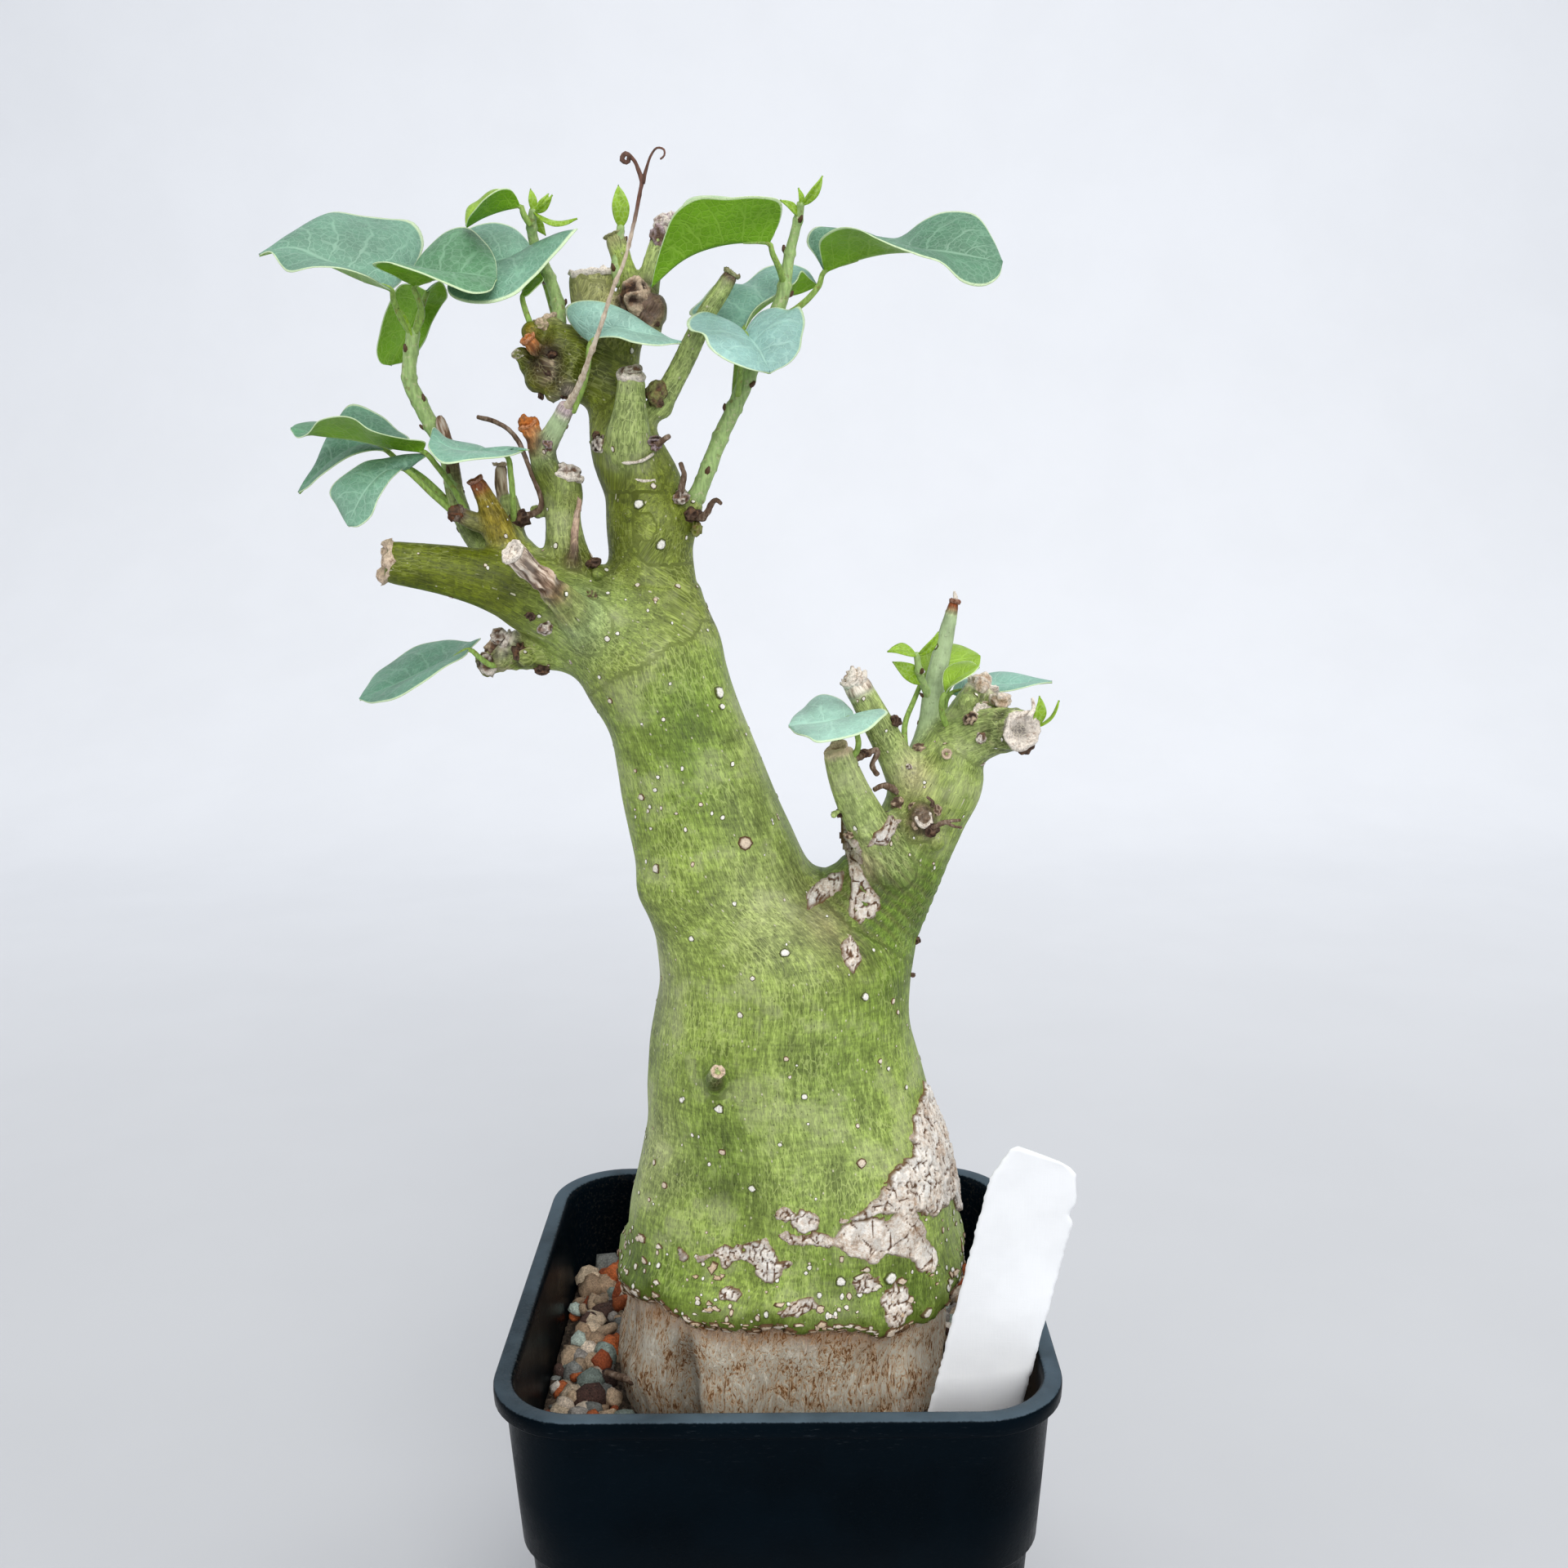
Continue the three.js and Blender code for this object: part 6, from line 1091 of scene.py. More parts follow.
def crust(kind, thick, plate, outline, seed):
    """A cork crust: a fine grid over the outline, raised inside it and sunk under the bark outside it.

    Plates come from scattered seeds: the gap between the distances to the two nearest is the crack.
    """
    outline = np.asarray(outline, float)
    if kind == "trunk":
        outline = outline * [np.pi / 180 * TRUNK_RADIUS, 1]
    pitch = 0.3
    low, high = outline.min(axis=0) - 1.5, outline.max(axis=0) + 1.5
    u, v = np.meshgrid(np.arange(low[0], high[0], pitch), np.arange(low[1], high[1], pitch))
    flat = np.stack([u, v], axis=-1)
    rough = np.stack([u, v, 0 * u + seed], axis=-1)
    loose = 1 if kind == "trunk" else 0.4
    ragged = 0.8 * noise(rough / 3.1, seed) + 0.55 * noise(rough / 1.3, seed + 1)
    ragged = ragged + 0.3 * noise(rough / 0.6, seed + 5)
    inner = inside_distance(flat, outline) + loose * ragged
    base = trunk_surface(np.degrees(u / TRUNK_RADIUS), v) if kind == "trunk" else front_surface(u, v)
    out = unit(np.cross(np.gradient(base, axis=1), np.gradient(base, axis=0)))
    base = base + out * relief(base)[..., None]
    rng = np.random.default_rng(seed)
    steep = np.array([1.5, 0.75])
    warped = flat + 0.5 * np.stack([noise(rough * 0.9, seed + 2), noise(rough * 0.9, seed + 3)], axis=-1)
    crack, height = 1.0, 0.0
    for size, depth, wide in ((plate, 0.7, 0.4), (plate * 0.42, 0.25, 0.25)):
        places = [np.arange(low[i], high[i] + size, size / steep[i]) for i in (0, 1)]
        spots = np.stack(np.meshgrid(*places), axis=-1).reshape(-1, 2)
        spots = spots + rng.uniform(-0.45, 0.45, spots.shape) * size / steep
        away = np.linalg.norm((warped[..., None, :] - spots) * steep, axis=-1)
        nearest = away.argmin(axis=-1)
        two = np.partition(away, 1, axis=-1)[..., :2]
        gap = ease(0.0, wide, two[..., 1] - two[..., 0])
        crack = crack * (1 - depth + depth * gap)
        step = rng.uniform(-0.5, 0.6, len(spots))[nearest]
        lean = rng.uniform(-1, 1, (len(spots), 2))[nearest] * (warped - spots[nearest])
        height = height + depth * (0.55 * step + 0.28 * lean.sum(axis=-1) / size)
    height = thick * (0.15 + 0.85 * crack) * np.clip(0.85 + 1.5 * height, 0.25, 1.9)
    height = height + 0.1 * noise(rough / 0.9, seed + 4)
    height = np.maximum(height, 0.06) * ease(-0.1, 0.3, inner)
    height = np.where(inner < 0.05, height - 0.5 * ease(0.05, -0.3, inner), height)
    lowest = np.minimum(inner[:-1], inner[1:])
    keep = np.minimum(lowest[:, :-1], lowest[:, 1:]) > -0.5
    if not keep.any():
        raise RuntimeError("A cork crust has no cells")
    return closed_sheet(base + out * height[..., None], base - out * 0.7, keep,
                        crack=crack, step=step, edge=inner)


# Large warts (lenticels) on the front, x, y, z and radius
WARTS = [
    [-5, -13.5, 185.5, 1.2], [2, -19.5, 167, 0.9], [16, -17.5, 158, 0.9], [-19.5, -6.5, 238.5, 1],
    [-23, -6.5, 245, 1], [-9.5, -7.5, 212, 1.2], [-9, -8.5, 209.6, 0.8], [20.5, -25.5, 108, 1.3],
    [11.5, -28, 108.5, 1], [-23.5, -10.5, 194, 0.7], [-21, -12, 195, 0.5], [-14.5, -16, 169, 0.6],
    [-17, -17.5, 139, 0.6], [-10, -21.5, 138.6, 1], [5.5, -23, 141.5, 0.7], [18.5, -17, 145.5, 0.6],
    [20.5, -16, 144, 0.5], [26, -15.5, 131.5, 0.6], [1, -24.5, 133.5, 0.5], [-4.5, -24, 124.5, 0.8],
    [-20.5, -18, 122.5, 0.7], [-22.5, -14.5, 125.5, 0.6], [15, -24, 129, 0.9], [-17, -5, 230.5, 0.6],
    [-21, -7.5, 228, 0.5], [-27.5, -9, 211.5, 0.6], [-20.5, -5.5, 248.5, 0.6], [-28.5, -10.5, 222.5, 0.6],
    [-6, -21, 156, 0.6], [-21, -11.5, 181, 0.9], [-7, -16, 175, 0.5], [21, -13, 156, 0.6],
    [22, -12, 153, 0.5], [-3.5, -21, 162.5, 0.5], [2, -22, 148, 0.5], [-19, -12, 208, 0.5],
    [-9, -13.5, 190.5, 0.5], [14.5, -22.5, 135.5, 0.5], [23.5, -14, 139.5, 0.6], [-10, -24.5, 131, 0.7],
]


def warts():
    """Small domes on the skin: rings of a low bump, wider along the grain, placed and turned to the skin.

    The listed ones sit at the nearest point of the skin, and seeded ones are scattered over the wood, closer
    together just above the foot.
    """
    shape, normals, _, _ = wood()
    rng = np.random.default_rng(4)
    points = shape.points
    picked = [int(np.linalg.norm(points - p[:3], axis=1).argmin()) for p in WARTS]
    sizes = [w[3] for w in WARTS]
    high = points[:, 2]
    fresh = (shape.values["foot"] < -0.6) & (shape.values["dry"] < 0.25)
    for low, top, count, small, large in (
            (96, 112, 190, 0.22, 0.62), (112, 150, 70, 0.2, 0.45), (150, 215, 80, 0.18, 0.42),
            (215, 275, 110, 0.2, 0.5), (180, 212, 60, 0.22, 0.5)):
        pool = np.flatnonzero(fresh & (high > low) & (high < top))
        picked += list(rng.choice(pool, count, replace=False))
        sizes += list(rng.uniform(small, large, count))
    round_ones = len(picked)
    foot = shape.values["foot"]
    for low, top, count, small, large in ((-1.2, 0.4, 230, 0.35, 1.1), (-12, -1.2, 90, 0.3, 1.1)):
        front = (points[:, 1] < 0) | (rng.uniform(0, 1, len(points)) < 0.5)
        pool = np.flatnonzero((foot > low) & (foot < top) & (high < 115) & front)
        picked += list(rng.choice(pool, count, replace=False))
        sizes += list(rng.uniform(small, large, count) ** 1.6)
    picked, sizes = np.array(picked), np.array(sizes)
    out = normals[picked]
    up = unit(np.array([0.05, 0.02, 1.0]) - out * (out @ [0.05, 0.02, 1.0])[:, None])
    side = np.cross(up, out)
    rings = np.array([[1.15, -0.35], [1.0, 0.12], [0.72, 0.42], [0.34, 0.46]])
    sides = 8
    ring = np.stack([np.cos(around(sides)), np.sin(around(sides))], axis=1)
    long = rng.uniform(0.8, 1.5, len(picked))
    long[:len(WARTS)] = rng.uniform(0.85, 1.1, len(WARTS))
    long[round_ones:] = rng.uniform(0.25, 0.9, len(picked) - round_ones)
    flat = rings[:, :1, None] * ring[None]
    uneven = np.where(np.arange(len(picked)) < round_ones, 0.18, 0.5)[:, None, None]
    wobble = (1 + uneven * rng.uniform(-1, 1, (len(picked), 1, sides)))[..., None]
    size = sizes[:, None, None, None]
    body = (points[picked][:, None, None] + side[:, None, None] * flat[None, ..., :1] * size * wobble
            + up[:, None, None] * flat[None, ..., 1:] * (size * long[:, None, None, None]) * wobble
            + out[:, None, None] * rings[None, :, 1:, None] * size * 0.8)
    count = len(picked)
    root = points[picked] - out * (0.5 * sizes)[:, None]
    top = points[picked] + out * (0.34 * sizes)[:, None]
    every = np.concatenate([body.reshape(count, -1, 3), root[:, None], top[:, None]], axis=1)
    away = np.tile(np.r_[np.repeat(rings[:, 0], sides), 1.2, 0], count)
    shade = rng.uniform(0, 1, count)
    shade[round_ones:] = 0.6 + 0.8 * shade[round_ones:]
    return repeated(every, len(rings), sides, away=away, shade=np.repeat(shade, every.shape[1]))


# Ragged ends and scars: centre, facing, radius, height, hollow of the middle, colour
SCARS = [
    [[-66.1, -14.4, 236.3], [-0.9, -0.38, 0.2], 3.6, 1.2, 0.6, "straw"],
    [[-42.4, -25.1, 238.1], [-0.55, -0.65, 0.55], 2.1, 0.5, 1.1, "cork"],
    [[-35.9, -4, 250.6], [0.25, -0.1, 1], 2.9, 0.7, 0.3, "cork"],
    [[-31.6, 4, 286.1], [-0.1, -0.1, 1], 3.9, 0.8, 0.4, "cork"],
    [[-23.7, -6.5, 267.4], [0.05, -0.15, 1], 2.3, 0.9, 0.7, "cork"],
    [[-18, 8, 294.6], [0.3, 0.2, 0.95], 2, 0.7, 0.8, "cork"],
    [[-27.3, 6, 292.7], [-0.3, 0.1, 0.95], 1.9, 0.3, 0.4, "khaki"],
    [[-21, -0.8, 278.6], [0.3, -0.9, 0.2], 2.3, 0.7, 1.1, "umber"],
    [[-6, -4, 284.7], [0.5, 0, 0.85], 1.5, 0.5, 0.6, "khaki"],
    [[-40, 2, 277.8], [-0.4, 0, 0.9], 2.4, 0.5, 0.5, "straw"],
    [[-41.6, -5.8, 274], [-0.5, -0.4, 0.8], 1.3, 0.5, 1, "orange"],
    [[-50.6, -12, 250], [-0.4, -0.3, 0.85], 1.4, 0.4, 0.5, "rust"],
    [[-42.4, -4, 259.3], [-0.4, -0.1, 0.9], 1.7, 0.5, 0.7, "orange"],
    [[-54.1, -11, 244.4], [-0.75, -0.4, 0.4], 1.5, 0.5, 0.8, "umber"],
    [[-48.2, -1, 252.8], [0, 0, 1], 1.2, 0.4, 0.4, "straw"],
    [[14.9, -6, 214], [-0.4, -0.3, 0.88], 2.3, 1, 0.4, "cork"],
    [[39.4, 5, 211.6], [0.4, 0.1, 0.9], 2.9, 0.8, 0.5, "cork"],
    [[44.8, -9.4, 205], [0.42, -0.9, 0.12], 3.4, 0.9, 1.4, "cork"],
    [[11.5, -10.2, 202], [-0.5, -0.5, 0.75], 2.2, 0.4, 1, "straw"],
    [[34.1, 6, 227], [0.25, 0.1, 0.95], 1, 0.5, 0.3, "rust"],
    [[38.5, -3.4, 207.5], [0.1, -0.6, 0.8], 1.7, 0.8, 0.5, "cork"],
    [[41.5, 0.5, 209], [0.3, -0.3, 0.9], 1.5, 0.9, 0.5, "cork"],
    [[-53, 0, 216.5], [-0.9, 0.2, -0.4], 2, 0.5, 0.6, "khaki"],
    [[-48, -3.2, 221.6], [-0.9, -0.1, 0.4], 1.8, 0.6, 0.5, "cork"],
    [[-9.8, -29, 148.6], [0.2, -0.6, 0.75], 1.2, 0.4, 0.7, "straw"],
    [[27.3, -10.2, 189], [0.1, -0.9, 0.4], 1.5, 0.5, 0.9, "cork"],
    [[31.5, -7.6, 200.6], [0.1, -1, 0.1], 0.9, 0.3, 0.6, "straw"],
]


def scars():
    """Crumbly discs over the cut ends: a profile of foot, rim and hollow carried round, ragged by noise."""
    shapes = []
    profile = np.array([[0.98, -0.9], [1.06, -0.2], [1.1, 0.25], [1.0, 0.6], [0.86, 0.55], [0.68, 0.3],
                        [0.45, 0.1], [0.2, -0.1]])
    sides = 24
    turn = around(sides)[:, None]
    for number, (centre, facing, radius, height, hollow, colour) in enumerate(SCARS):
        facing = unit(np.array(facing, float))
        side = unit(np.cross(facing, [0.3, 0.9, 0.2]))
        ring = np.cos(turn) * side + np.sin(turn) * np.cross(facing, side)
        drop = np.where(profile[:, 0] < 0.9, profile[:, 1] - hollow * (0.9 - profile[:, 0]), profile[:, 1])
        body = (np.array(centre) + ring[None] * (profile[:, 0] * radius)[:, None, None]
                + facing * (drop * height)[:, None, None])
        spot = body / (0.35 * radius)
        lift = ease(-0.5, 0.4, profile[:, 1])[:, None]
        body = body + ring[None] * (0.16 * radius * noise(spot, number))[..., None]
        body = body + facing * (height * 0.75 * lift * noise(spot * 1.4, number + 50))[..., None]
        ends = np.stack([np.array(centre) - facing * height, body[-1].mean(axis=0) - facing * 0.05])
        away = np.r_[np.repeat(profile[:, 0], sides), 1, 0]
        shapes.append(Shape(np.vstack([body.reshape(-1, 3), ends]), *capped(len(profile), sides),
                            tint=np.tile(BARK[colour], (len(away), 1)), away=away))
    return together(shapes)


def growths():
    """Crumbly balls: the radius rises and falls with ridges, 1 - 2|noise|, and with fine noise on top."""
    rings, sides = 20, 30
    sphere = ball(rings, sides)
    centre = np.array([row[:3] for row in GROWTHS], float)[:, None]
    radius = np.array([row[3] for row in GROWTHS], float)[:, None, None]
    low, high = (np.array([BARK[row[i]] for row in GROWTHS])[:, None] for i in (4, 5))
    spot = centre + sphere * radius
    grain = np.clip(radius * 0.5, 0.5, 1.5)
    ridge = 1 - 2 * np.abs(noise(spot / (1.2 * grain), 41)) + 0.45 * noise(spot / (0.5 * grain), 42)
    spread = np.random.default_rng(8).uniform(0.75, 1.3, (len(GROWTHS), 1, 3))
    swell = 0.78 + 0.26 * noise(spot / (0.8 * radius), 43) + 0.24 * ridge
    body = centre + sphere * spread * (radius[..., 0] * swell)[..., None]
    tint = low + (high - low) * ease(0.1, 1.0, ridge)[..., None]
    bumps = repeated(body, rings, sides, tint=tint.reshape(-1, 3), away=np.full(ridge.size, 0.6))
    lines = [tube(line, 8, 0.35, 0.35, 90 + n, away=0.9) for n, line in enumerate(RIDGES)]
    for line in lines:
        line.values["tint"] = np.tile(BARK["cork"], (len(line.points), 1))
    return together([bumps] + lines)


# Leaves and stems


def blade(rib, left, right, rows, half, thick, hue=0.5, lumps=0.25, seed=0):
    """Leaf blade: straight lines from the rib to the edge on each side, bowed a little, with two faces.

    The thickness falls towards the margin. The uv runs from edge to edge and from base to tip.
    """
    rib = np.asarray(rib, float)
    line = curve(rib, rows)
    edge_left = curve(np.vstack([rib[:1], left, rib[-1:]]), rows)
    edge_right = curve(np.vstack([rib[:1], right, rib[-1:]]), rows)
    share = np.linspace(-1, 1, 2 * half + 1)
    edge = np.where(share[None, :, None] < 0, edge_left[:, None], edge_right[:, None])
    sheet = line[:, None] + (edge - line[:, None]) * np.abs(share)[None, :, None]
    ends = sheet[[0, -1]].copy()
    pinch = 0.02
    sheet[0] = ends[0] + (sheet[1] - ends[0]) * pinch
    sheet[-1] = ends[1] + (sheet[-2] - ends[1]) * pinch
    for _ in range(3):
        inner = sheet[1:-1, 1:-1]
        mean = (sheet[:-2, 1:-1] + sheet[2:, 1:-1] + sheet[1:-1, :-2] + sheet[1:-1, 2:]) / 4
        sheet[1:-1, 1:-1] = inner * 0.5 + mean * 0.5
    out = unit(np.cross(np.gradient(sheet, axis=1), np.gradient(sheet, axis=0)))
    width = np.linalg.norm(edge - line[:, None], axis=-1)
    bow = 0.05 * width * 4 * np.abs(share) * (1 - np.abs(share))
    wave = lumps * noise(sheet / 5, seed) * ease(0, 0.3, np.abs(share))
    sheet = sheet + out * (bow + wave)[..., None]
    taper = thick * (0.25 + 0.75 * (1 - np.abs(share) ** 6)) / 2
    tall = np.linspace(0, 1, rows + 1)
    uv = np.stack(np.broadcast_arrays(0.5 + 0.5 * share[None], tall[:, None]), axis=-1)
    count = sheet.shape[0] * sheet.shape[1]
    under = np.repeat([0.0, 1.0], count)
    span = length_of(line)
    return closed_sheet(
        sheet + out * taper[None, :, None], sheet - out * taper[None, :, None],
        np.ones((rows, 2 * half), bool), uv=uv, under=under, stalk=np.zeros(2 * count),
        hue=np.full(2 * count, hue), span=np.full(2 * count, span))


def leaf_shape(name, thick):
    """A leaf of the table with its stalk, which runs on a little way along the rib."""
    rib, left, right, stalk = LEAVES[name]
    size = len(left) + len(right)
    rows, half = (56, 20) if size > 8 else (32, 16)
    number = list(LEAVES).index(name)
    hue = 0.5 + 0.5 * hashed(np.array([number, 3, 5]), 9)
    body = blade(rib, left, right, rows, half, thick, hue, 0.12 if size < 8 else 0.28, number)
    run = np.vstack([stalk[:-1], np.asarray(rib, float)[:1], curve(rib, 10)[2:3]])
    radius = np.linspace(0.62, 0.4, len(run))
    radius[-1] = 0.2
    stem = tube(np.column_stack([run, radius]), 10, 0.7, 0.05, number,
                under=0, stalk=1, hue=hue, span=1)
    whole = together([body, stem])
    # The tint holds the leaf's factors from the table above: partly its own colour, partly painted light,
    # with painted highlights on the brighter, bluer leaves
    whole.values["tint"] = np.tile(LEAF_TINTS_AND_PAINTED_LIGHT.get(name, (1, 1, 1)), (len(whole.points), 1))
    return whole


def young_blade(base, tip, side, thick, seed):
    """A small pointed leaf from base to tip, its half width set by the side vector."""
    base, tip, side = (np.array(v, float) for v in (base, tip, side))
    up = unit(np.cross(side, tip - base)) * np.linalg.norm(tip - base) * 0.12

    def at(share, wide, rise):
        """The point at a share of the length, so many half widths to the side and so far up."""
        return base + (tip - base) * share + side * wide + up * rise

    rib = [base, at(0.5, 0, 1), tip]
    left = [at(0.2, -0.72, 0.9), at(0.5, -1, 1.5), at(0.8, -0.55, 1)]
    right = [at(0.2, 0.72, 0.9), at(0.5, 1, 1.5), at(0.8, 0.55, 1)]
    return blade(rib, left, right, 16, 5, thick, 1.0, 0.05, seed)


def shoot_shape(name):
    """A soft stem with node rings every few millimetres, its buds, and its youngest leaves."""
    stem, young = SHOOTS[name]
    total = length_of(stem)
    number = list(SHOOTS).index(name)
    rings = [(at, 0.22, 0.5) for at in np.arange(2.5, total, 4.5 + number * 0.4)]
    shapes = [tube(stem, 14, 0.45, 0.06, number, rings, under=0, stalk=1, hue=0.4, span=0)]
    line = curve(stem, 40)
    along, side, across = frames(line)
    for n, (at, _, _) in enumerate(rings):
        i = int(np.clip(at / total * 40, 0, 40))
        turn = n * 2.4 + number
        out = side[i] * np.cos(turn) + across[i] * np.sin(turn)
        root = line[i, :3] + out * line[i, 3] * 0.7
        bud = np.array([[*root, 0.5], [*(root + out * 0.6 + along[i] * 0.5), 0.42],
                        [*(root + out * 0.8 + along[i] * 1.1), 0.2]])
        shapes.append(tube(bud, 6, 0.4, 0.2, n, under=0, stalk=1, hue=0, span=2))
    for n, (base, tip, wide) in enumerate(young):
        shapes.append(young_blade(base, tip, wide, 0.35, 70 + n))
    return together(shapes)


# Pot, grit and label


def rounded_ring(half, corner, per_corner):
    """Square of half width half with rounded corners, anticlockwise, as X and Y."""
    turn = (np.arange(4)[:, None] + np.linspace(0, 1, per_corner)[None]) * np.pi / 2
    middle = (half - corner) * np.array([[1, 1], [-1, 1], [-1, -1], [1, -1]])[:, None]
    return (middle + corner * np.stack([np.cos(turn), np.sin(turn)], axis=-1)).reshape(-1, 2)


def pot_inner(z):
    """Inner half width of the pot at a height: two straight flares that meet at the ledge."""
    return np.where(np.asarray(z) > 60, 44.9 + 1.6 * (z - 60) / 35, 39 + 4.5 * (z - 1.6) / 58.4)


# Pot wall: height, half width and corner radius, up the outside, over the lip and down the inside
POT_PROFILE = [
    (0.0, 37, 9.6), (0.0, 38.6, 10.2), (0.15, 39.2, 10.5), (0.8, 40, 11), (20, 41.7, 11.7), (40, 43.4, 12.4),
    (60.6, 44.9, 13), (61.6, 45, 13.1), (62.3, 45.3, 13.3), (62.9, 45.9, 13.5), (63.6, 46.3, 13.6),
    (75, 47.1, 14), (90.4, 48.1, 14.4), (91.2, 48.3, 14.4), (91.7, 48.9, 14.8), (91.8, 49.7, 15.1),
    (92.1, 49.9, 15.2), (94, 50, 15.3), (94.7, 49.95, 15.3), (94.92, 49.8, 15.2), (95, 49.5, 15),
    (95, 47.5, 13.4), (94.85, 47, 12.8), (94.4, 46.6, 12.5), (93, 46.4, 12.3), (84, 46, 12.2),
    (75, 45.6, 12.2), (66, 45.2, 12.2), (61, 44.9, 12.1), (59, 43.6, 11.8), (40, 42, 11.2), (20, 40.4, 10.4),
    (3, 39.2, 9.8), (1.8, 38.6, 9.4), (1.6, 37.6, 9), (1.6, 37, 8.6),
]
OUTER_ROWS = 21  # rows of the profile that lie outside the pot
DRAIN_HOLES = [(22, 22), (22, -22), (-22, 22), (-22, -22)]
DRAIN_RADIUS = 4.5


def pot_shape(rim):
    """Profile of half widths and corner radii carried round a rounded square, with a floor plate whose cells
    are left out at the four drain holes, where the nearest points are drawn to the hole's circle."""
    k = rim / 100
    per_corner = 14
    sides, count = 4 * per_corner, len(POT_PROFILE)
    rings = np.stack([np.column_stack([rounded_ring(half * k, corner * k, per_corner), np.full(sides, z)])
                      for z, half, corner in POT_PROFILE])
    quads = grid_quads(count + 1, sides, True) % (count * sides)
    shell = Shape(rings, quads, inside=np.repeat(np.arange(count) >= OUTER_ROWS, sides))
    pitch = 0.9
    line = np.arange(-42, 43) * pitch * k
    spot = np.stack(np.meshgrid(line, line), axis=-1)
    holes = np.array(DRAIN_HOLES) * k
    for hole in holes:
        off = spot - hole
        away = np.linalg.norm(off, axis=-1, keepdims=True)
        ring = hole + off / np.maximum(away, 0.1) * DRAIN_RADIUS
        spot = np.where(np.abs(away - DRAIN_RADIUS) < 0.62 * pitch, ring, spot)
    centre = (spot[:-1, :-1] + spot[1:, 1:]) / 2
    away = np.linalg.norm(centre[..., None, :] - holes, axis=-1).min(axis=-1)
    corner = np.linalg.norm(np.maximum(np.abs(centre) - 28 * k, 0), axis=-1)
    keep = (away > DRAIN_RADIUS) & (corner < 9.8 * k)
    flat = 0 * spot[..., :1]
    upper, under = (np.concatenate([spot, flat + z], axis=-1) for z in (1.5, 0.08))
    return together([shell, closed_sheet(upper, under, keep, inside=1 + flat[..., 0])])


# Gravel: linear colour of a kind of stone, and how common it is
STONES = np.array([
    (0.42, 0.31, 0.21, 14), (0.5, 0.4, 0.29, 13), (0.62, 0.52, 0.42, 9), (0.33, 0.23, 0.15, 11),
    (0.3, 0.07, 0.025, 5), (0.5, 0.13, 0.04, 5), (0.24, 0.3, 0.27, 7), (0.35, 0.42, 0.38, 5),
    (0.2, 0.21, 0.2, 8), (0.05, 0.025, 0.02, 7), (0.09, 0.05, 0.04, 7), (0.28, 0.26, 0.24, 8),
    (0.66, 0.6, 0.53, 4),
])
LAVA = (9, 10)  # kinds of stone that are lava


def pebbles(size):
    """Gravel: rounded, flattened stones from one small sphere grid, each with its own size, turn and colour.

    They lie in two seeded layers over the soil, clear of the trunk and inside the pot.
    """
    rng = np.random.default_rng(12)
    spots = []
    for pitch, low, high, base in ((3.1, 0.9, 1.7, 0.0), (4.1, 1.6, 2.9, 0.5), (5.4, 1.2, 2.8, 1.6)):
        grid = np.arange(-46, 46, pitch)
        x, y = (g.ravel() for g in np.meshgrid(grid, grid))
        x = x + rng.uniform(-0.5, 0.5, len(x)) * pitch
        y = y + rng.uniform(-0.5, 0.5, len(y)) * pitch
        radius = rng.uniform(low, high, len(x)) * size / 4.2
        z = SOIL_TOP + base + rng.uniform(-0.5, 0.6, len(x))
        z = z + 0.7 * noise(np.column_stack([x, y, 0 * x]) / 9, 3)
        spots.append(np.column_stack([x, y, z, radius]))
    spots = np.vstack(spots)
    x, y, z, radius = spots.T
    half = pot_inner(z) - radius * 0.9
    corner = np.maximum(np.abs(np.column_stack([x, y])) - (half - 11)[:, None], 0)
    within = (np.abs(x) < half) & (np.abs(y) < half) & (np.linalg.norm(corner, axis=1) < 11)
    clear = trunk_distance(x, y, np.full(len(x), 78.0)) > radius * 0.55
    across = x - TAG_FOOT[0] - (z - TAG_FOOT[2]) * np.tan(np.radians(TAG_LEAN))
    tag = (np.abs(across) < 8.6 + radius) & (np.abs(y - TAG_FOOT[1]) < 0.5 + radius)
    spots = spots[within & clear & ~tag]
    radius = spots[:, 3]
    count = len(spots)
    rings, sides = 5, 8
    stone = ball(rings, sides)
    stone = np.sign(stone) * np.abs(stone) ** 0.72
    body = stone * (1 + 0.36 * noise(stone * 1.1 + rng.uniform(0, 900, (count, 1, 3)), 6)[..., None])
    body = body * rng.uniform([0.95, 0.7, 0.5], [1.3, 1, 0.8], (count, 3))[:, None]
    q = unit(rng.normal(size=(count, 4)) * [1, 0.35, 0.35, 1])
    w, v = q[:, None, :1], q[:, None, 1:]
    cross = 2 * np.cross(v, body)
    body = body + w * cross + np.cross(v, cross)
    points = spots[:, None, :3] + body * radius[:, None, None]
    kind = rng.choice(len(STONES), count, p=STONES[:, 3] / STONES[:, 3].sum())
    colour = STONES[kind, :3] * rng.uniform(0.8, 1.4, (count, 1))
    return repeated(points, rings, sides, tint=np.repeat(colour, len(stone), axis=0),
                    lava=np.repeat(np.isin(kind, LAVA), len(stone)))


def soil_shape():
    """Block of soil: a rough top over the pot's inside, with its walls and underside, closed.

    Points of a square grid that lie beyond the rounded corners are drawn back to them.
    """
    line = np.arange(-45.4, 45.5, 0.9)
    square = np.stack(np.meshgrid(line, line), axis=-1)
    straight, corner = 33.4, 12
    over = np.maximum(np.abs(square) - straight, 0)
    pull = np.minimum(1, corner / np.maximum(np.hypot(over[..., :1], over[..., 1:]), 1e-6))
    flat = np.sign(square) * (np.minimum(np.abs(square), straight) + over * pull)
    spot = np.concatenate([flat, 0 * flat[..., :1]], axis=-1)
    top, bottom = spot.copy(), spot * 0.77
    top[..., 2] = SOIL_TOP - 0.6 + 0.8 * noise(spot / 9, 3) + 0.5 * noise(spot / 1.6, 4)
    bottom[..., 2] = 2
    return closed_sheet(top, bottom, np.ones((len(line) - 1, len(line) - 1), bool))


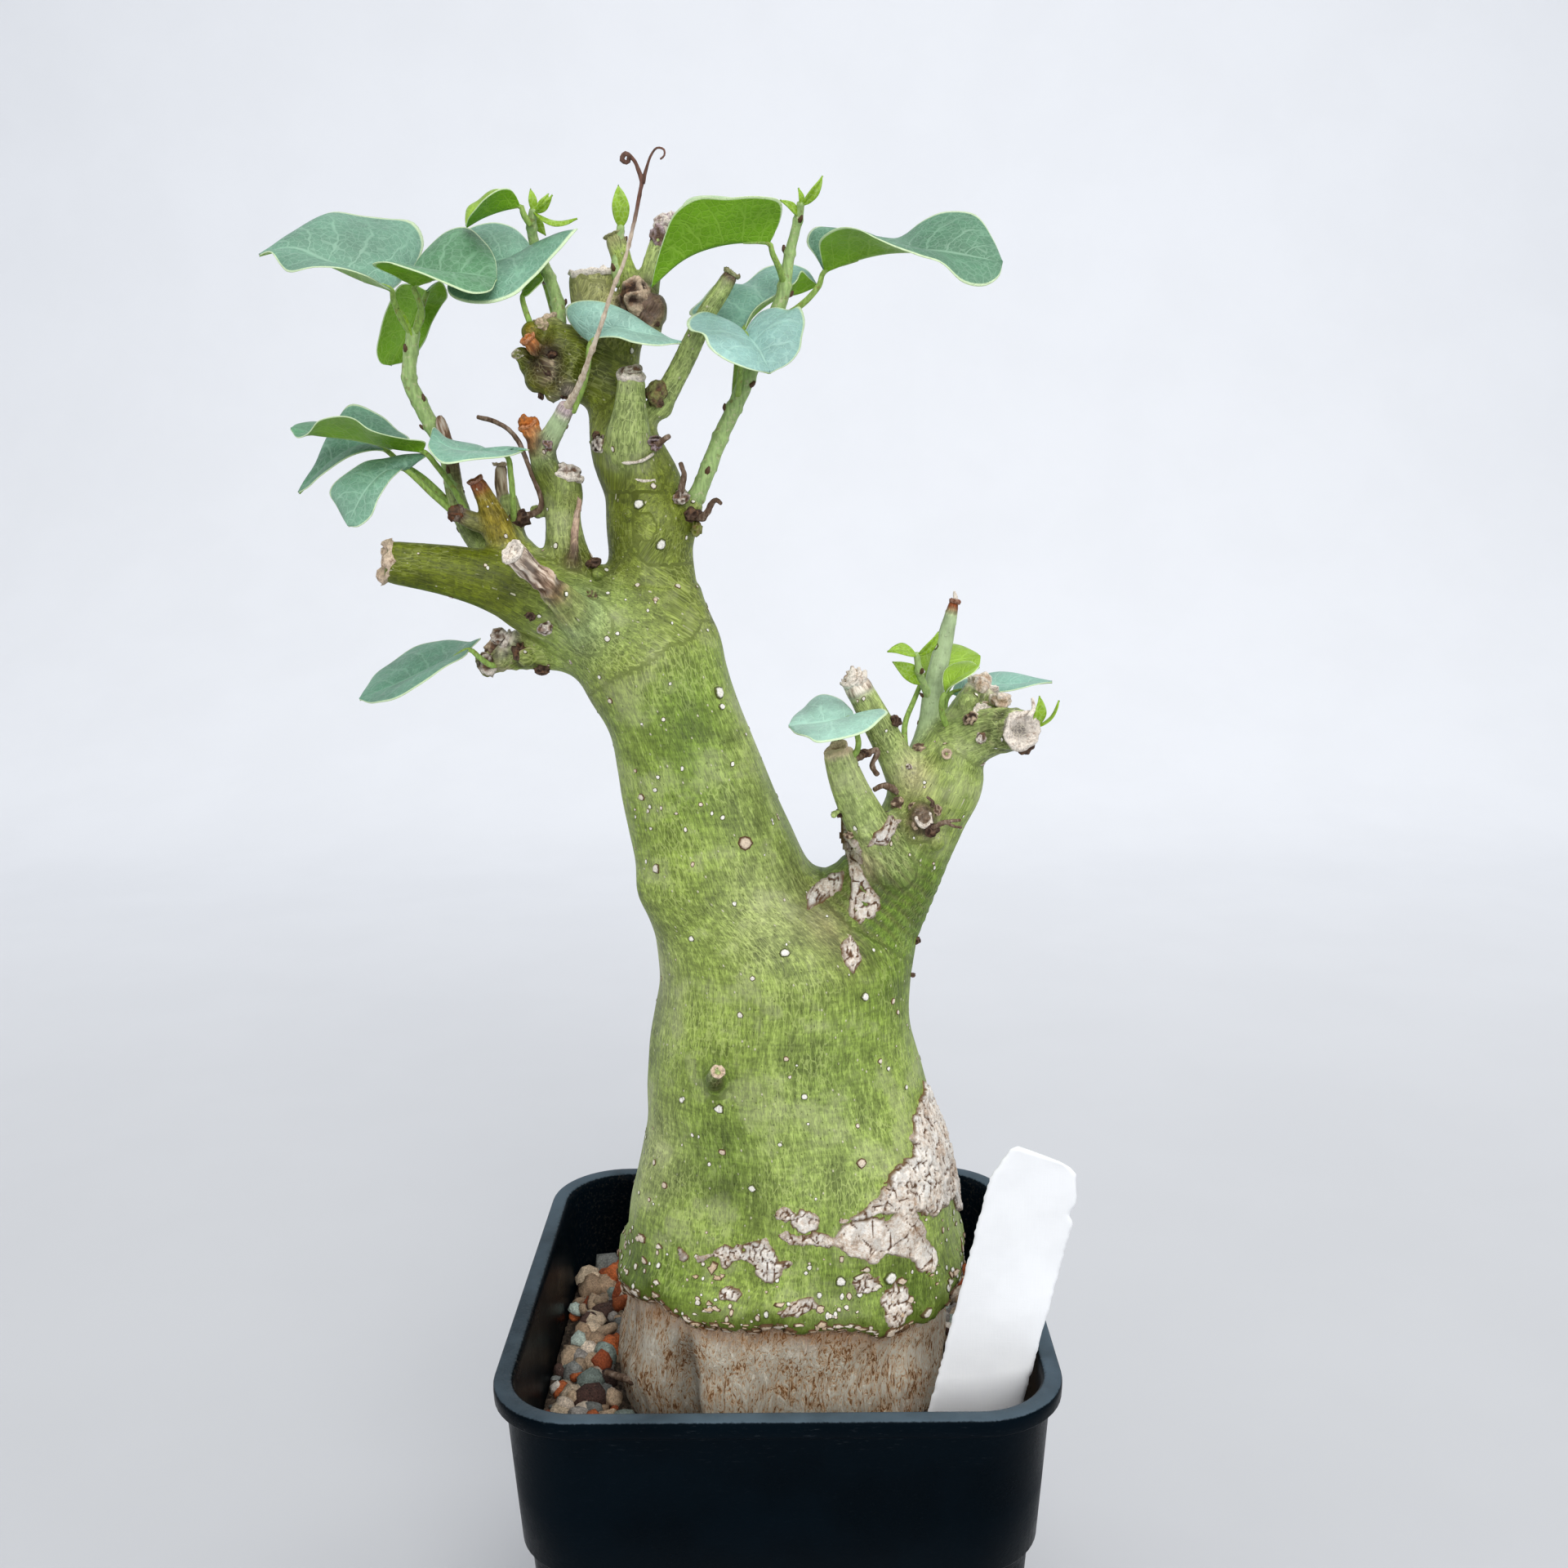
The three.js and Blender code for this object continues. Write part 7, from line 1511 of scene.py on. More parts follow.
TAG_FOOT = (28.4, -30, 54)  # middle of the label's lower end, in the soil
TAG_LEAN = 13  # degrees to the right
TAG_LENGTH = 82


def label_shape(width, thick):
    """Flat stake: its edges follow a torn outline by height, with a slight bend and rounded sides."""
    rows, columns = 110, 24
    v = np.linspace(0, TAG_LENGTH, rows)
    half = width / 2
    whole = ease(16, 20, v)
    left = np.interp(v, [0, 16, 72, 75, TAG_LENGTH - 1.6, TAG_LENGTH - 0.2, TAG_LENGTH],
                     [-0.3, -half, -half, -half + 0.1, -half + 1.9, -half + 2.6, -half + 3.4])
    left = left - 0.18 * whole * noise(np.column_stack([v * 1.3, 0 * v, 0 * v]), 21)
    right = np.interp(v, [0, 16, 69.4, 70.4, 71.2, 72.6, 73.6, TAG_LENGTH - 2, TAG_LENGTH - 0.8, TAG_LENGTH],
                      [0.3, half, half, half + 0.1, half - 0.9, half - 0.9, half - 0.2, half - 1.7,
                       half - 2.8, half - 4.6])
    right = right + 0.16 * whole * noise(np.column_stack([v * 1.1, 0 * v + 5, 0 * v]), 22)
    u = np.linspace(0, 1, columns)
    v = v[:, None]
    x = left[:, None] + (right - left)[:, None] * u
    z = v - 1.3 * np.where(v > TAG_LENGTH - 4, u * (v - TAG_LENGTH + 4) / 4, 0)
    bend = 0.25 * np.cos(np.pi * (u - 0.5)) - 0.25
    rim = thick / 2 * np.minimum(1, np.sqrt(np.clip(np.minimum(u, 1 - u) * columns / 1.6, 0.08, 1)))
    c, s = np.cos(np.radians(TAG_LEAN)), np.sin(np.radians(TAG_LEAN))
    front, back = (np.stack([x * c + z * s, 0 * x + bend + side * rim, z * c - x * s], axis=-1) + TAG_FOOT
                   for side in (-1, 1))
    uv = np.stack(np.broadcast_arrays(u[None], v / TAG_LENGTH), axis=-1)
    return closed_sheet(front, back, np.ones((rows - 1, columns - 1), bool), uv=uv)


# Meshes and finishes


def make(name, shape, material, replaces=()):
    """An object at the origin with the shape's mesh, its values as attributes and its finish."""
    mesh = bpy.data.meshes.new(name)
    faces = len(shape.quads) + len(shape.triangles)
    corners = np.concatenate([shape.quads.ravel(), shape.triangles.ravel()])
    starts = np.concatenate([np.arange(len(shape.quads)) * 4,
                             shape.quads.size + np.arange(len(shape.triangles)) * 3])
    mesh.vertices.add(len(shape.points))
    mesh.vertices.foreach_set("co", (shape.points * MM).ravel())
    mesh.loops.add(len(corners))
    mesh.loops.foreach_set("vertex_index", corners)
    mesh.polygons.add(faces)
    mesh.polygons.foreach_set("loop_start", starts)
    mesh.polygons.foreach_set("use_smooth", np.ones(faces, bool))
    mesh.update(calc_edges=True)
    if mesh.validate():
        raise RuntimeError(f"The mesh of {name} has faulty faces")
    layer = mesh.uv_layers.new(name="UVMap")
    layer.data.foreach_set("uv", shape.uv[corners].ravel())
    for key, value in shape.values.items():
        if value.ndim == 1:
            mesh.attributes.new(key, "FLOAT", "POINT").data.foreach_set("value", value)
        elif key == "tint":
            full = np.column_stack([value, np.ones(len(value))])
            mesh.attributes.new(key, "FLOAT_COLOR", "POINT").data.foreach_set("color", full.ravel())
        else:
            mesh.attributes.new(key, "FLOAT_VECTOR", "POINT").data.foreach_set("vector", value.ravel())
    mesh.materials.append(material)
    piece = bpy.data.objects.new(name, mesh)
    bpy.context.scene.collection.objects.link(piece)
    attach(piece, "root")
    if replaces:
        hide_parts(*replaces)
    return piece


class Finish:
    """A node material: a principled shader and short ways to add the nodes that feed it."""

    def __init__(self, name, **sockets):
        self.material = bpy.data.materials.new(name)
        self.material.use_nodes = True
        self.tree = self.material.node_tree
        self.tree.nodes.clear()
        output = self.tree.nodes.new("ShaderNodeOutputMaterial")
        self.shader = self.tree.nodes.new("ShaderNodeBsdfPrincipled")
        self.tree.links.new(self.shader.outputs[0], output.inputs[0])
        for socket, value in sockets.items():
            self.set(socket.replace("_", " "), value)
        place = self.add("TexCoord", out="Object")
        self.place = self.add("VectorMath", {0: place, 1: (1000, 1000, 1000)}, operation="MULTIPLY")

    def fill(self, socket, value):
        """Links another node's output to the socket, or sets its constant."""
        if isinstance(value, bpy.types.NodeSocket):
            self.tree.links.new(value, socket)
        elif socket.type == "RGBA" and len(value) == 3:
            socket.default_value = (*value, 1)
        else:
            socket.default_value = value

    def set(self, socket, value):
        """Fills a socket of the principled shader."""
        self.fill(self.shader.inputs[socket], value)

    def add(self, kind, inputs=(), out=0, **settings):
        """Adds a node with its inputs filled and gives one of its outputs."""
        node = self.tree.nodes.new("ShaderNode" + kind)
        for key, value in settings.items():
            setattr(node, key, value)
        for key, value in dict(inputs).items():
            self.fill(node.inputs[key], value)
        return node.outputs[out]

    def value(self, name):
        """A number that the mesh stores for each point."""
        return self.add("Attribute", out="Fac", attribute_name=name)

    def colour(self, name):
        return self.add("Attribute", out="Color", attribute_name=name)

    def vector(self, name):
        return self.add("Attribute", out="Vector", attribute_name=name)

    def scaled(self, vector, x, y, z):
        return self.add("VectorMath", {0: vector, 1: (x, y, z)}, operation="MULTIPLY")

    def noise(self, vector, scale, detail=3.0, rough=0.55):
        """Cloudy noise from 0 to 1, about scale lumps a millimetre."""
        return self.add("TexNoise", {"Vector": vector, "Scale": scale, "Detail": detail, "Roughness": rough})

    def cells(self, vector, scale, feature="F1", out="Distance"):
        """Distance to the nearest of scattered points, or to the edge of its cell."""
        return self.add("TexVoronoi", {"Vector": vector, "Scale": scale}, out=out, feature=feature)

    def math(self, operation, a, b=0.0, clamp=False):
        return self.add("Math", {0: a, 1: b}, operation=operation, use_clamp=clamp)

    def times(self, a, b):
        return self.math("MULTIPLY", a, b)

    def plus(self, a, b):
        return self.math("ADD", a, b)

    def less(self, a, b):
        return self.math("SUBTRACT", a, b)

    def most(self, a, b):
        return self.math("MAXIMUM", a, b)

    def remap(self, value, low, high, a=0.0, b=1.0):
        """The value from low to high becomes a to b, eased at both ends."""
        return self.add("MapRange", {0: value, 1: low, 2: high, 3: a, 4: b}, interpolation_type="SMOOTHSTEP")

    def mix(self, factor, a, b, blend="MIX"):
        """Colour a where the factor is 0 and b where it is 1."""
        return self.add("Mix", {0: factor, 6: a, 7: b}, out=2, data_type="RGBA", blend_type=blend)

    def tone(self, colour, factor):
        """Colour times a number."""
        return self.add("VectorMath", {0: colour, 3: factor}, operation="SCALE")

    def ramp(self, value, stops):
        """Colour read off a row of stops, each a value and its colour."""
        node = self.add("ValToRGB", {0: value}).node
        elements = node.color_ramp.elements
        while len(elements) < len(stops):
            elements.new(0.5)
        for element, (at, colour) in zip(elements, stops):
            element.position = at
            element.color = (*colour, 1)
        return node.outputs[0]

    def bump(self, height, distance, strength=1.0):
        """Relief from a height, its full rise in millimetres."""
        inputs = {"Height": height, "Distance": distance * MM, "Strength": strength}
        self.set("Normal", self.add("Bump", inputs))


def bark_finish(foot_colour):
    """Living green bark: fine pale streaks along the grain, mottles and specks, with the fibrous brown foot
    below the green edge and striped dry wood where a limb has died back."""
    f = Finish("bark", Specular_IOR_Level=0.28)
    grain = f.vector("grain")
    tint = f.colour("tint")
    streak = f.noise(f.scaled(grain, 1, 1, 0.13), 1.5, 4, 0.6)
    fine = f.noise(f.scaled(grain, 1, 1, 0.2), 4.5, 3, 0.6)
    hatch = f.noise(f.scaled(grain, 0.35, 0.35, 1.7), 0.9, 3, 0.6)
    mottle = f.noise(f.place, 0.11, 4, 0.6)
    patch = f.noise(f.place, 0.42, 3, 0.55)
    tone = f.times(f.remap(streak, 0.32, 0.7, 0.72, 1.28), f.remap(hatch, 0.36, 0.64, 0.82, 1.16))
    tone = f.times(tone, f.remap(fine, 0.36, 0.66, 0.74, 1.3))
    living = f.tone(tint, tone)
    living = f.mix(f.remap(mottle, 0.36, 0.52, 0.75, 0), living, f.tone(living, 0.55))
    soft = f.mix(0.42, f.tone(tint, f.times(tone, 1.2)), (0.4, 0.4, 0.26))
    fresh = f.remap(f.add("SeparateColor", {0: tint}, out=1), 0.15, 0.29)
    living = f.mix(f.times(f.remap(mottle, 0.5, 0.66, 0, 0.75), fresh), living, soft)
    living = f.mix(f.remap(patch, 0.52, 0.72, 0, 0.5), living, f.tone(tint, 0.58))
    calm = f.remap(f.add("SeparateColor", {0: tint}, out=1), 0.41, 0.46, 0, 0.75)
    pale = f.times(f.remap(streak, 0.54, 0.7), f.remap(fine, 0.45, 0.62, 0.15, 0.6))
    pale = f.times(pale, f.plus(f.times(fresh, 0.6), 0.4))
    bright = f.mix(0.35, f.tone(tint, 2.0), (0.55, 0.55, 0.3))
    living = f.mix(pale, living, bright)
    sway = f.add("TexNoise", {"Vector": grain, "Scale": 0.8, "Detail": 2.0}, out="Color")
    wavy = f.add("VectorMath", {0: f.scaled(grain, 1, 1, 0.24), 1: f.scaled(sway, 0.7, 0.7, 0.4)},
                 operation="ADD")
    net = f.remap(f.cells(wavy, 1.25, "DISTANCE_TO_EDGE"), 0.01, 0.1, 1, 0)
    net = f.times(net, f.remap(f.noise(f.place, 0.09, 3), 0.42, 0.62, 0.08, 0.5))
    living = f.mix(net, living, bright)
    speck = f.remap(f.cells(f.scaled(grain, 1, 1, 0.7), 0.62), 0.06, 0.14, 1, 0)
    speck = f.times(speck, f.remap(patch, 0.4, 0.55, 0.2, 0.9))
    living = f.mix(speck, living, (0.6, 0.58, 0.42))
    pore = f.remap(f.cells(f.scaled(grain, 1, 1, 0.5), 1.35), 0.05, 0.17, 0.75, 0)
    living = f.mix(pore, living, (0.06, 0.08, 0.012))
    living = f.mix(calm, living, f.tone(tint, f.remap(patch, 0.3, 0.7, 0.8, 1.2)))
    stripes = f.noise(f.scaled(grain, 1, 1, 0.12), 1.2, 4, 0.6)
    dead = f.ramp(stripes, [(0.36, (0.1, 0.045, 0.02)), (0.44, (0.33, 0.2, 0.12)), (0.51, (0.66, 0.52, 0.4)),
                            (0.6, (0.86, 0.8, 0.7))])
    dead = f.mix(0.55, dead, f.tone(tint, f.remap(stripes, 0.36, 0.62, 0.35, 1.3)))
    dry = f.remap(f.plus(f.value("dry"), f.times(streak, 0.4)), 0.5, 0.85)
    skin = f.mix(dry, living, dead)
    fibre = f.add("TexNoise", {"Vector": f.scaled(grain, 1, 1, 0.32), "Scale": 1.1, "Detail": 6.0,
                               "Roughness": 0.72, "Distortion": 2.2})
    felt = f.noise(f.place, 0.2, 5, 0.65)
    blend = f.plus(f.times(fibre, 0.68), f.times(felt, 0.32))
    blend = f.remap(blend, 0.36, 0.64)
    brown = f.ramp(blend, [(0.08, (0.2, 0.08, 0.025)), (0.24, (0.62, 0.34, 0.15)), (0.37, foot_colour),
                           (0.48, (1, 0.82, 0.58)), (0.68, (1, 0.93, 0.78))])
    foot = f.value("foot")
    young = f.remap(foot, 0.2, 7.0, 0.85, 0)
    brown = f.mix(f.times(young, f.remap(fibre, 0.4, 0.58)), brown, (0.42, 0.2, 0.1))
    below = f.remap(f.plus(foot, f.times(fibre, 0.5)), 0.2, 0.5)
    # Darker green towards the lower edge of the roll over the foot: partly the bark's own darker green,
    # partly painted shade under the overhanging roll
    shade = f.remap(foot, -6.0, 0.1, 0, 0.75)
    skin = f.mix(shade, skin, (0.09, 0.13, 0.015))
    skin = f.mix(below, skin, brown)
    # Painted shade: the value shade darkens the colour in hollows, creases and the foot's groove
    skin = f.tone(skin, f.math("SUBTRACT", 1.0, f.value("shade"), clamp=True))
    f.set("Base Color", skin)
    rough = f.remap(streak, 0.3, 0.7, 0.42, 0.58)
    rough = f.most(rough, f.times(f.most(below, dry), 0.92))
    f.set("Roughness", rough)
    height = f.times(streak, f.remap(below, 0, 1, 0.5, 0.1))
    height = f.plus(height, f.times(blend, f.times(below, 1.3)))
    height = f.plus(height, f.times(stripes, f.times(dry, 1.6)))
    height = f.less(height, f.times(pore, 0.3))
    height = f.plus(height, f.times(speck, 0.35))
    f.bump(height, 0.45, 0.8)
    return f.material


def cork_finish(pale):
    """Cork plates: whitish plates with a tan cast, each a little different, brown in the cracks and along
    the ragged edge."""
    f = Finish("cork", Roughness=0.88, Specular_IOR_Level=0.25)
    crack = f.value("crack")
    fine = f.noise(f.place, 1.9, 5, 0.65)
    wide = f.noise(f.place, 0.24, 4, 0.6)
    grit = f.noise(f.place, 5.5, 3, 0.6)
    plate = f.ramp(f.plus(f.times(fine, 0.5), f.times(wide, 0.5)), [
        (0.34, (0.4, 0.26, 0.16)), (0.43, (0.62, 0.51, 0.42)), (0.5, pale), (0.62, (0.93, 0.91, 0.87))])
    plate = f.tone(plate, f.remap(f.value("step"), -0.5, 0.6, 0.8, 1.1))
    plate = f.mix(f.remap(grit, 0.56, 0.75, 0, 0.35), plate, (0.33, 0.2, 0.12))
    deep = f.remap(f.plus(crack, f.times(fine, 0.4)), 0.55, 1.02)
    skin = f.mix(deep, (0.12, 0.06, 0.03), plate)
    burnt = f.times(f.remap(f.value("edge"), 0.0, 0.75, 1, 0), f.remap(wide, 0.4, 0.56, 0.35, 1))
    skin = f.mix(burnt, skin, (0.17, 0.1, 0.045))
    f.set("Base Color", skin)
    height = f.plus(fine, f.times(grit, 0.4))
    f.bump(height, 0.4, 0.9)
    return f.material


def scar_finish():
    """Cut and crumbled ends: their own colour, flecked, with a paler rim and a darker hollow."""
    f = Finish("scar", Roughness=0.85, Specular_IOR_Level=0.25)
    fine = f.noise(f.place, 2.2, 5, 0.7)
    wide = f.noise(f.place, 0.8, 3, 0.6)
    away = f.value("away")
    skin = f.tone(f.colour("tint"), f.remap(fine, 0.32, 0.68, 0.6, 1.3))
    skin = f.mix(f.remap(wide, 0.5, 0.68, 0, 0.6), skin, (0.25, 0.13, 0.07))
    rim = f.times(f.remap(away, 0.6, 0.95), f.remap(fine, 0.4, 0.6, 0.1, 0.6))
    skin = f.mix(rim, skin, f.mix(0.4, f.tone(f.colour("tint"), 1.5), (0.72, 0.66, 0.58)))
    hollow = f.remap(f.plus(away, f.times(fine, 0.3)), 0.35, 0.7, 0.75, 0)
    skin = f.mix(hollow, skin, (0.1, 0.05, 0.025))
    f.set("Base Color", skin)
    f.bump(f.plus(fine, wide), 0.4, 0.9)
    return f.material


def wart_finish():
    """Warts: whitish corky middles in a darker green or brown ring."""
    f = Finish("wart", Roughness=0.75, Specular_IOR_Level=0.3)
    fine = f.noise(f.place, 3.2, 3, 0.6)
    away = f.plus(f.value("away"), f.times(f.less(fine, 0.5), 0.5))
    shade = f.value("shade")
    middle = f.mix(f.remap(shade, 0.3, 1.3), (0.84, 0.82, 0.76), (0.6, 0.45, 0.3))
    middle = f.tone(middle, f.remap(fine, 0.3, 0.7, 0.75, 1.15))
    ring = f.mix(f.remap(shade, 0.3, 0.9), (0.07, 0.085, 0.015), (0.1, 0.05, 0.02))
    f.set("Base Color", f.mix(f.remap(away, 0.6, 0.9), middle, ring))
    f.bump(fine, 0.2, 0.7)
    return f.material


def leaf_finish(name, upper, lower, vein):
    """Waxy leaf: netted pale veins on the upper face, a pale margin, and a lime underside."""
    f = Finish(name)
    uv = f.add("SeparateXYZ", {0: f.add("TexCoord", out="UV")}).node
    u, v = uv.outputs[0], uv.outputs[1]
    side = f.math("ABSOLUTE", f.less(f.times(u, 2.0), 1.0))
    span = f.value("span")
    bend = f.times(f.math("POWER", side, 1.25), 0.2)
    run = f.times(f.less(v, bend), f.times(span, 0.3))
    wobble = f.times(f.less(f.noise(f.place, 0.35, 2), 0.5), 0.5)
    part = f.math("FRACT", f.plus(run, wobble))
    side_vein = f.remap(f.math("ABSOLUTE", f.less(part, 0.5)), 0.02, 0.085, 1, 0)
    side_vein = f.times(side_vein, f.remap(side, 0.5, 0.95, 0.7, 0.25))
    rib = f.remap(side, 0.015, 0.055, 0.9, 0)
    net = f.remap(f.cells(f.place, 0.75, "DISTANCE_TO_EDGE"), 0.02, 0.13, 0.5, 0)
    mesh = f.remap(f.cells(f.place, 2.0, "DISTANCE_TO_EDGE"), 0.02, 0.16, 0.22, 0)
    veins = f.most(f.most(rib, side_vein), f.most(net, mesh))
    wide = f.noise(f.place, 0.13, 3, 0.55)
    small = f.noise(f.place, 0.9, 3, 0.6)
    # The tint: partly each leaf's own colour, partly painted light, with painted highlights on the brighter,
    # bluer leaves
    top = f.mix(1.0, upper, f.colour("tint"), "MULTIPLY")
    top = f.tone(top, f.times(f.remap(wide, 0.3, 0.7, 0.84, 1.14), f.remap(small, 0.3, 0.7, 0.95, 1.06)))
    pale = f.mix(0.5, vein, f.tone(top, 1.7))
    top = f.mix(f.times(veins, 0.5), top, pale)
    low = f.tone(lower, f.remap(wide, 0.3, 0.7, 0.85, 1.15))
    low = f.mix(f.times(veins, 0.62), low, (0.3, 0.5, 0.07))
    skin = f.mix(f.value("under"), top, low)
    margin = f.remap(side, 0.945, 0.975, 0, 0.8)
    skin = f.mix(margin, skin, (0.66, 0.8, 0.5))
    stalk = f.value("stalk")
    grain = f.noise(f.scaled(f.place, 1, 1, 0.3), 2.2, 3, 0.6)
    green = f.tone((0.25, 0.38, 0.09), f.remap(grain, 0.3, 0.7, 0.75, 1.25))
    green = f.mix(f.remap(f.noise(f.place, 1.1, 3), 0.58, 0.66, 0, 0.5), green, (0.2, 0.12, 0.04))
    skin = f.mix(stalk, skin, green)
    f.set("Base Color", skin)
    f.set("Specular IOR Level", f.remap(f.most(f.value("under"), stalk), 0, 1, 0.42, 0.16))
    f.set("Roughness", f.remap(small, 0.3, 0.7, 0.36, 0.48))
    height = f.less(f.times(small, 0.3), f.times(veins, 0.8))
    height = f.times(height, f.remap(stalk, 0, 1, 1, 0.2))
    f.bump(height, 0.25, 0.7)
    return f.material


def stem_finish(young):
    """Soft green stems with darker rings of bud scars, and the young lime leaves on them."""
    f = Finish("green_stem", Specular_IOR_Level=0.3)
    hue = f.value("hue")
    stalk = f.value("stalk")
    grain = f.noise(f.scaled(f.place, 1, 1, 0.25), 1.8, 4, 0.6)
    spots = f.noise(f.place, 1.3, 3, 0.6)
    green = f.tone((0.3, 0.43, 0.16), f.remap(grain, 0.3, 0.7, 0.78, 1.26))
    green = f.mix(f.remap(spots, 0.56, 0.66, 0, 0.6), green, (0.5, 0.5, 0.3))
    green = f.mix(f.remap(f.noise(f.place, 0.7, 3), 0.62, 0.7, 0, 0.5), green, (0.17, 0.1, 0.03))
    green = f.mix(f.remap(hue, 0.0, 0.3, 1, 0), green, (0.09, 0.045, 0.02))
    net = f.remap(f.cells(f.place, 1.1, "DISTANCE_TO_EDGE"), 0.02, 0.13, 0.35, 0)
    lime = f.mix(net, f.tone(young, f.remap(spots, 0.3, 0.7, 0.85, 1.15)), (0.42, 0.6, 0.2))
    f.set("Base Color", f.mix(stalk, lime, green))
    f.set("Roughness", f.remap(grain, 0.3, 0.7, 0.4, 0.56))
    f.bump(f.plus(grain, f.times(spots, 0.5)), 0.25, 0.7)
    return f.material


def twig_finish(name, low, middle, high, dark_above=None):
    """Dead bark: long fibres from dark to pale, and a dark reddish part above a height if one is given."""
    f = Finish(name, Roughness=0.85, Specular_IOR_Level=0.25)
    fibre = f.noise(f.scaled(f.place, 1, 1, 0.25), 1.8, 4, 0.65)
    spots = f.noise(f.place, 0.6, 4, 0.6)
    skin = f.ramp(f.plus(f.times(fibre, 0.6), f.times(spots, 0.4)),
                  [(0.34, low), (0.5, middle), (0.66, high)])
    if dark_above is not None:
        z = f.add("SeparateXYZ", {0: f.place}, out=2)
        dark = f.remap(f.plus(z, f.times(spots, 6.0)), dark_above, dark_above + 6, 0, 0.9)
        skin = f.mix(dark, skin, f.tone((0.075, 0.022, 0.014), f.remap(fibre, 0.3, 0.7, 0.5, 1.7)))
    f.set("Base Color", skin)
    f.bump(fibre, 0.3, 0.9)
    return f.material


def pot_finish(colour):
    """Satin black moulded plastic: faint flow lines, scuffs along the rim, and dust inside."""
    f = Finish("pot_plastic", Specular_IOR_Level=0.025)
    z = f.add("SeparateXYZ", {0: f.place}, out=2)
    cloud = f.noise(f.place, 0.045, 4, 0.6)
    scratch = f.noise(f.scaled(f.place, 0.5, 0.5, 3.2), 0.9, 5, 0.7)
    fine = f.noise(f.place, 1.7, 4, 0.6)
    skin = f.tone(colour, f.remap(cloud, 0.3, 0.7, 0.8, 1.3))
    worn = f.times(f.remap(scratch, 0.6, 0.72), f.remap(z, 84, 94, 0.04, 0.4))
    # Painted reflection: the flat top of the rim, at about 95 mm, is a lighter blue-grey than the wall,
    # standing in for the light it mirrors from above
    lip = f.tone((0.05, 0.072, 0.092), f.remap(cloud, 0.3, 0.7, 0.6, 1.4))
    skin = f.mix(f.remap(f.plus(z, f.times(fine, 0.4)), 94.9, 95.15), skin, lip)
    skin = f.mix(worn, skin, (0.05, 0.06, 0.07))
    dust = f.times(f.value("inside"), f.remap(fine, 0.5, 0.75, 0, 0.12))
    skin = f.mix(dust, skin, (0.16, 0.13, 0.1))
    f.set("Base Color", skin)
    f.set("Roughness", f.remap(f.plus(cloud, f.times(fine, 0.4)), 0.5, 0.9, 0.26, 0.44))
    f.bump(f.plus(f.times(scratch, 0.4), fine), 0.06, 0.5)
    return f.material


def label_finish(colour):
    """White plastic with faint scuffs, thin scratches and a little soil near its foot."""
    f = Finish("label_plastic", Specular_IOR_Level=0.45)
    z = f.add("SeparateXYZ", {0: f.place}, out=2)
    scratch = f.noise(f.scaled(f.place, 4.0, 1, 0.3), 0.8, 4, 0.7)
    cross = f.noise(f.scaled(f.place, 0.4, 1, 3.0), 0.8, 4, 0.7)
    cloud = f.noise(f.place, 0.12, 3, 0.5)
    # Painted light: the label is lighter towards its foot, from 1.12 below 90 mm to 0.95 above 125 mm,
    # offsetting the shade that the pot's rim throws on its lower part
    skin = f.tone(colour, f.times(f.remap(cloud, 0.3, 0.7, 0.96, 1.02), f.remap(z, 90, 125, 1.12, 0.95)))
    mark = f.most(f.remap(scratch, 0.66, 0.76, 0, 0.25), f.remap(cross, 0.68, 0.78, 0, 0.22))
    skin = f.mix(mark, skin, (0.62, 0.63, 0.64))
    soil = f.times(f.remap(z, 76, 84, 0.5, 0), f.remap(f.noise(f.place, 0.9, 4), 0.42, 0.62))
    skin = f.mix(soil, skin, (0.36, 0.28, 0.2))
    f.set("Base Color", skin)
    f.set("Roughness", f.remap(scratch, 0.3, 0.7, 0.42, 0.56))
    f.bump(f.plus(scratch, cross), 0.04, 0.5)
    return f.material


def stone_finish():
    """Gravel: each stone's own colour, speckled and veined; dark lava stones are full of small pits."""
    f = Finish("gravel", Specular_IOR_Level=0.35)
    tint = f.colour("tint")
    fine = f.noise(f.place, 2.6, 5, 0.7)
    wide = f.noise(f.place, 0.7, 3, 0.6)
    pit = f.remap(f.cells(f.place, 1.5), 0.12, 0.3, 1, 0)
    pit = f.times(pit, f.plus(f.times(f.value("lava"), 0.75), 0.15))
    skin = f.tone(tint, f.times(f.remap(fine, 0.32, 0.7, 0.6, 1.35), f.remap(wide, 0.3, 0.7, 0.8, 1.2)))
    skin = f.mix(f.remap(fine, 0.62, 0.75, 0, 0.5), skin, (0.62, 0.56, 0.48))
    skin = f.mix(pit, skin, (0.03, 0.018, 0.012))
    f.set("Base Color", skin)
    f.set("Roughness", f.remap(wide, 0.3, 0.7, 0.72, 0.95))
    f.bump(f.less(f.plus(fine, wide), pit), 0.35, 0.9)
    return f.material


def soil_finish(colour):
    """Gritty soil between the stones."""
    f = Finish("soil", Roughness=0.95, Specular_IOR_Level=0.2)
    fine = f.noise(f.place, 1.6, 5, 0.7)
    tone = f.add("SeparateColor", {0: f.cells(f.place, 1.3, out="Color")})
    skin = f.tone(colour, f.times(f.remap(fine, 0.3, 0.7, 0.5, 1.6), f.remap(tone, 0, 1, 0.5, 1.9)))
    f.set("Base Color", skin)
    f.bump(fine, 0.8, 1.0)
    return f.material


# Sizes and colours


def colour_setting(name, description, default):
    """A colour that the panel shows, as linear red, green and blue."""
    return bpy.props.FloatVectorProperty(name=name, description=description, default=default, size=3, min=0,
                                         max=1, subtype="COLOR")


def length_setting(name, description, default, low, high):
    """A length in metres that the panel shows, with its limits."""
    return bpy.props.FloatProperty(name=name, description=description, default=default, min=low, max=high,
                                   unit="LENGTH")


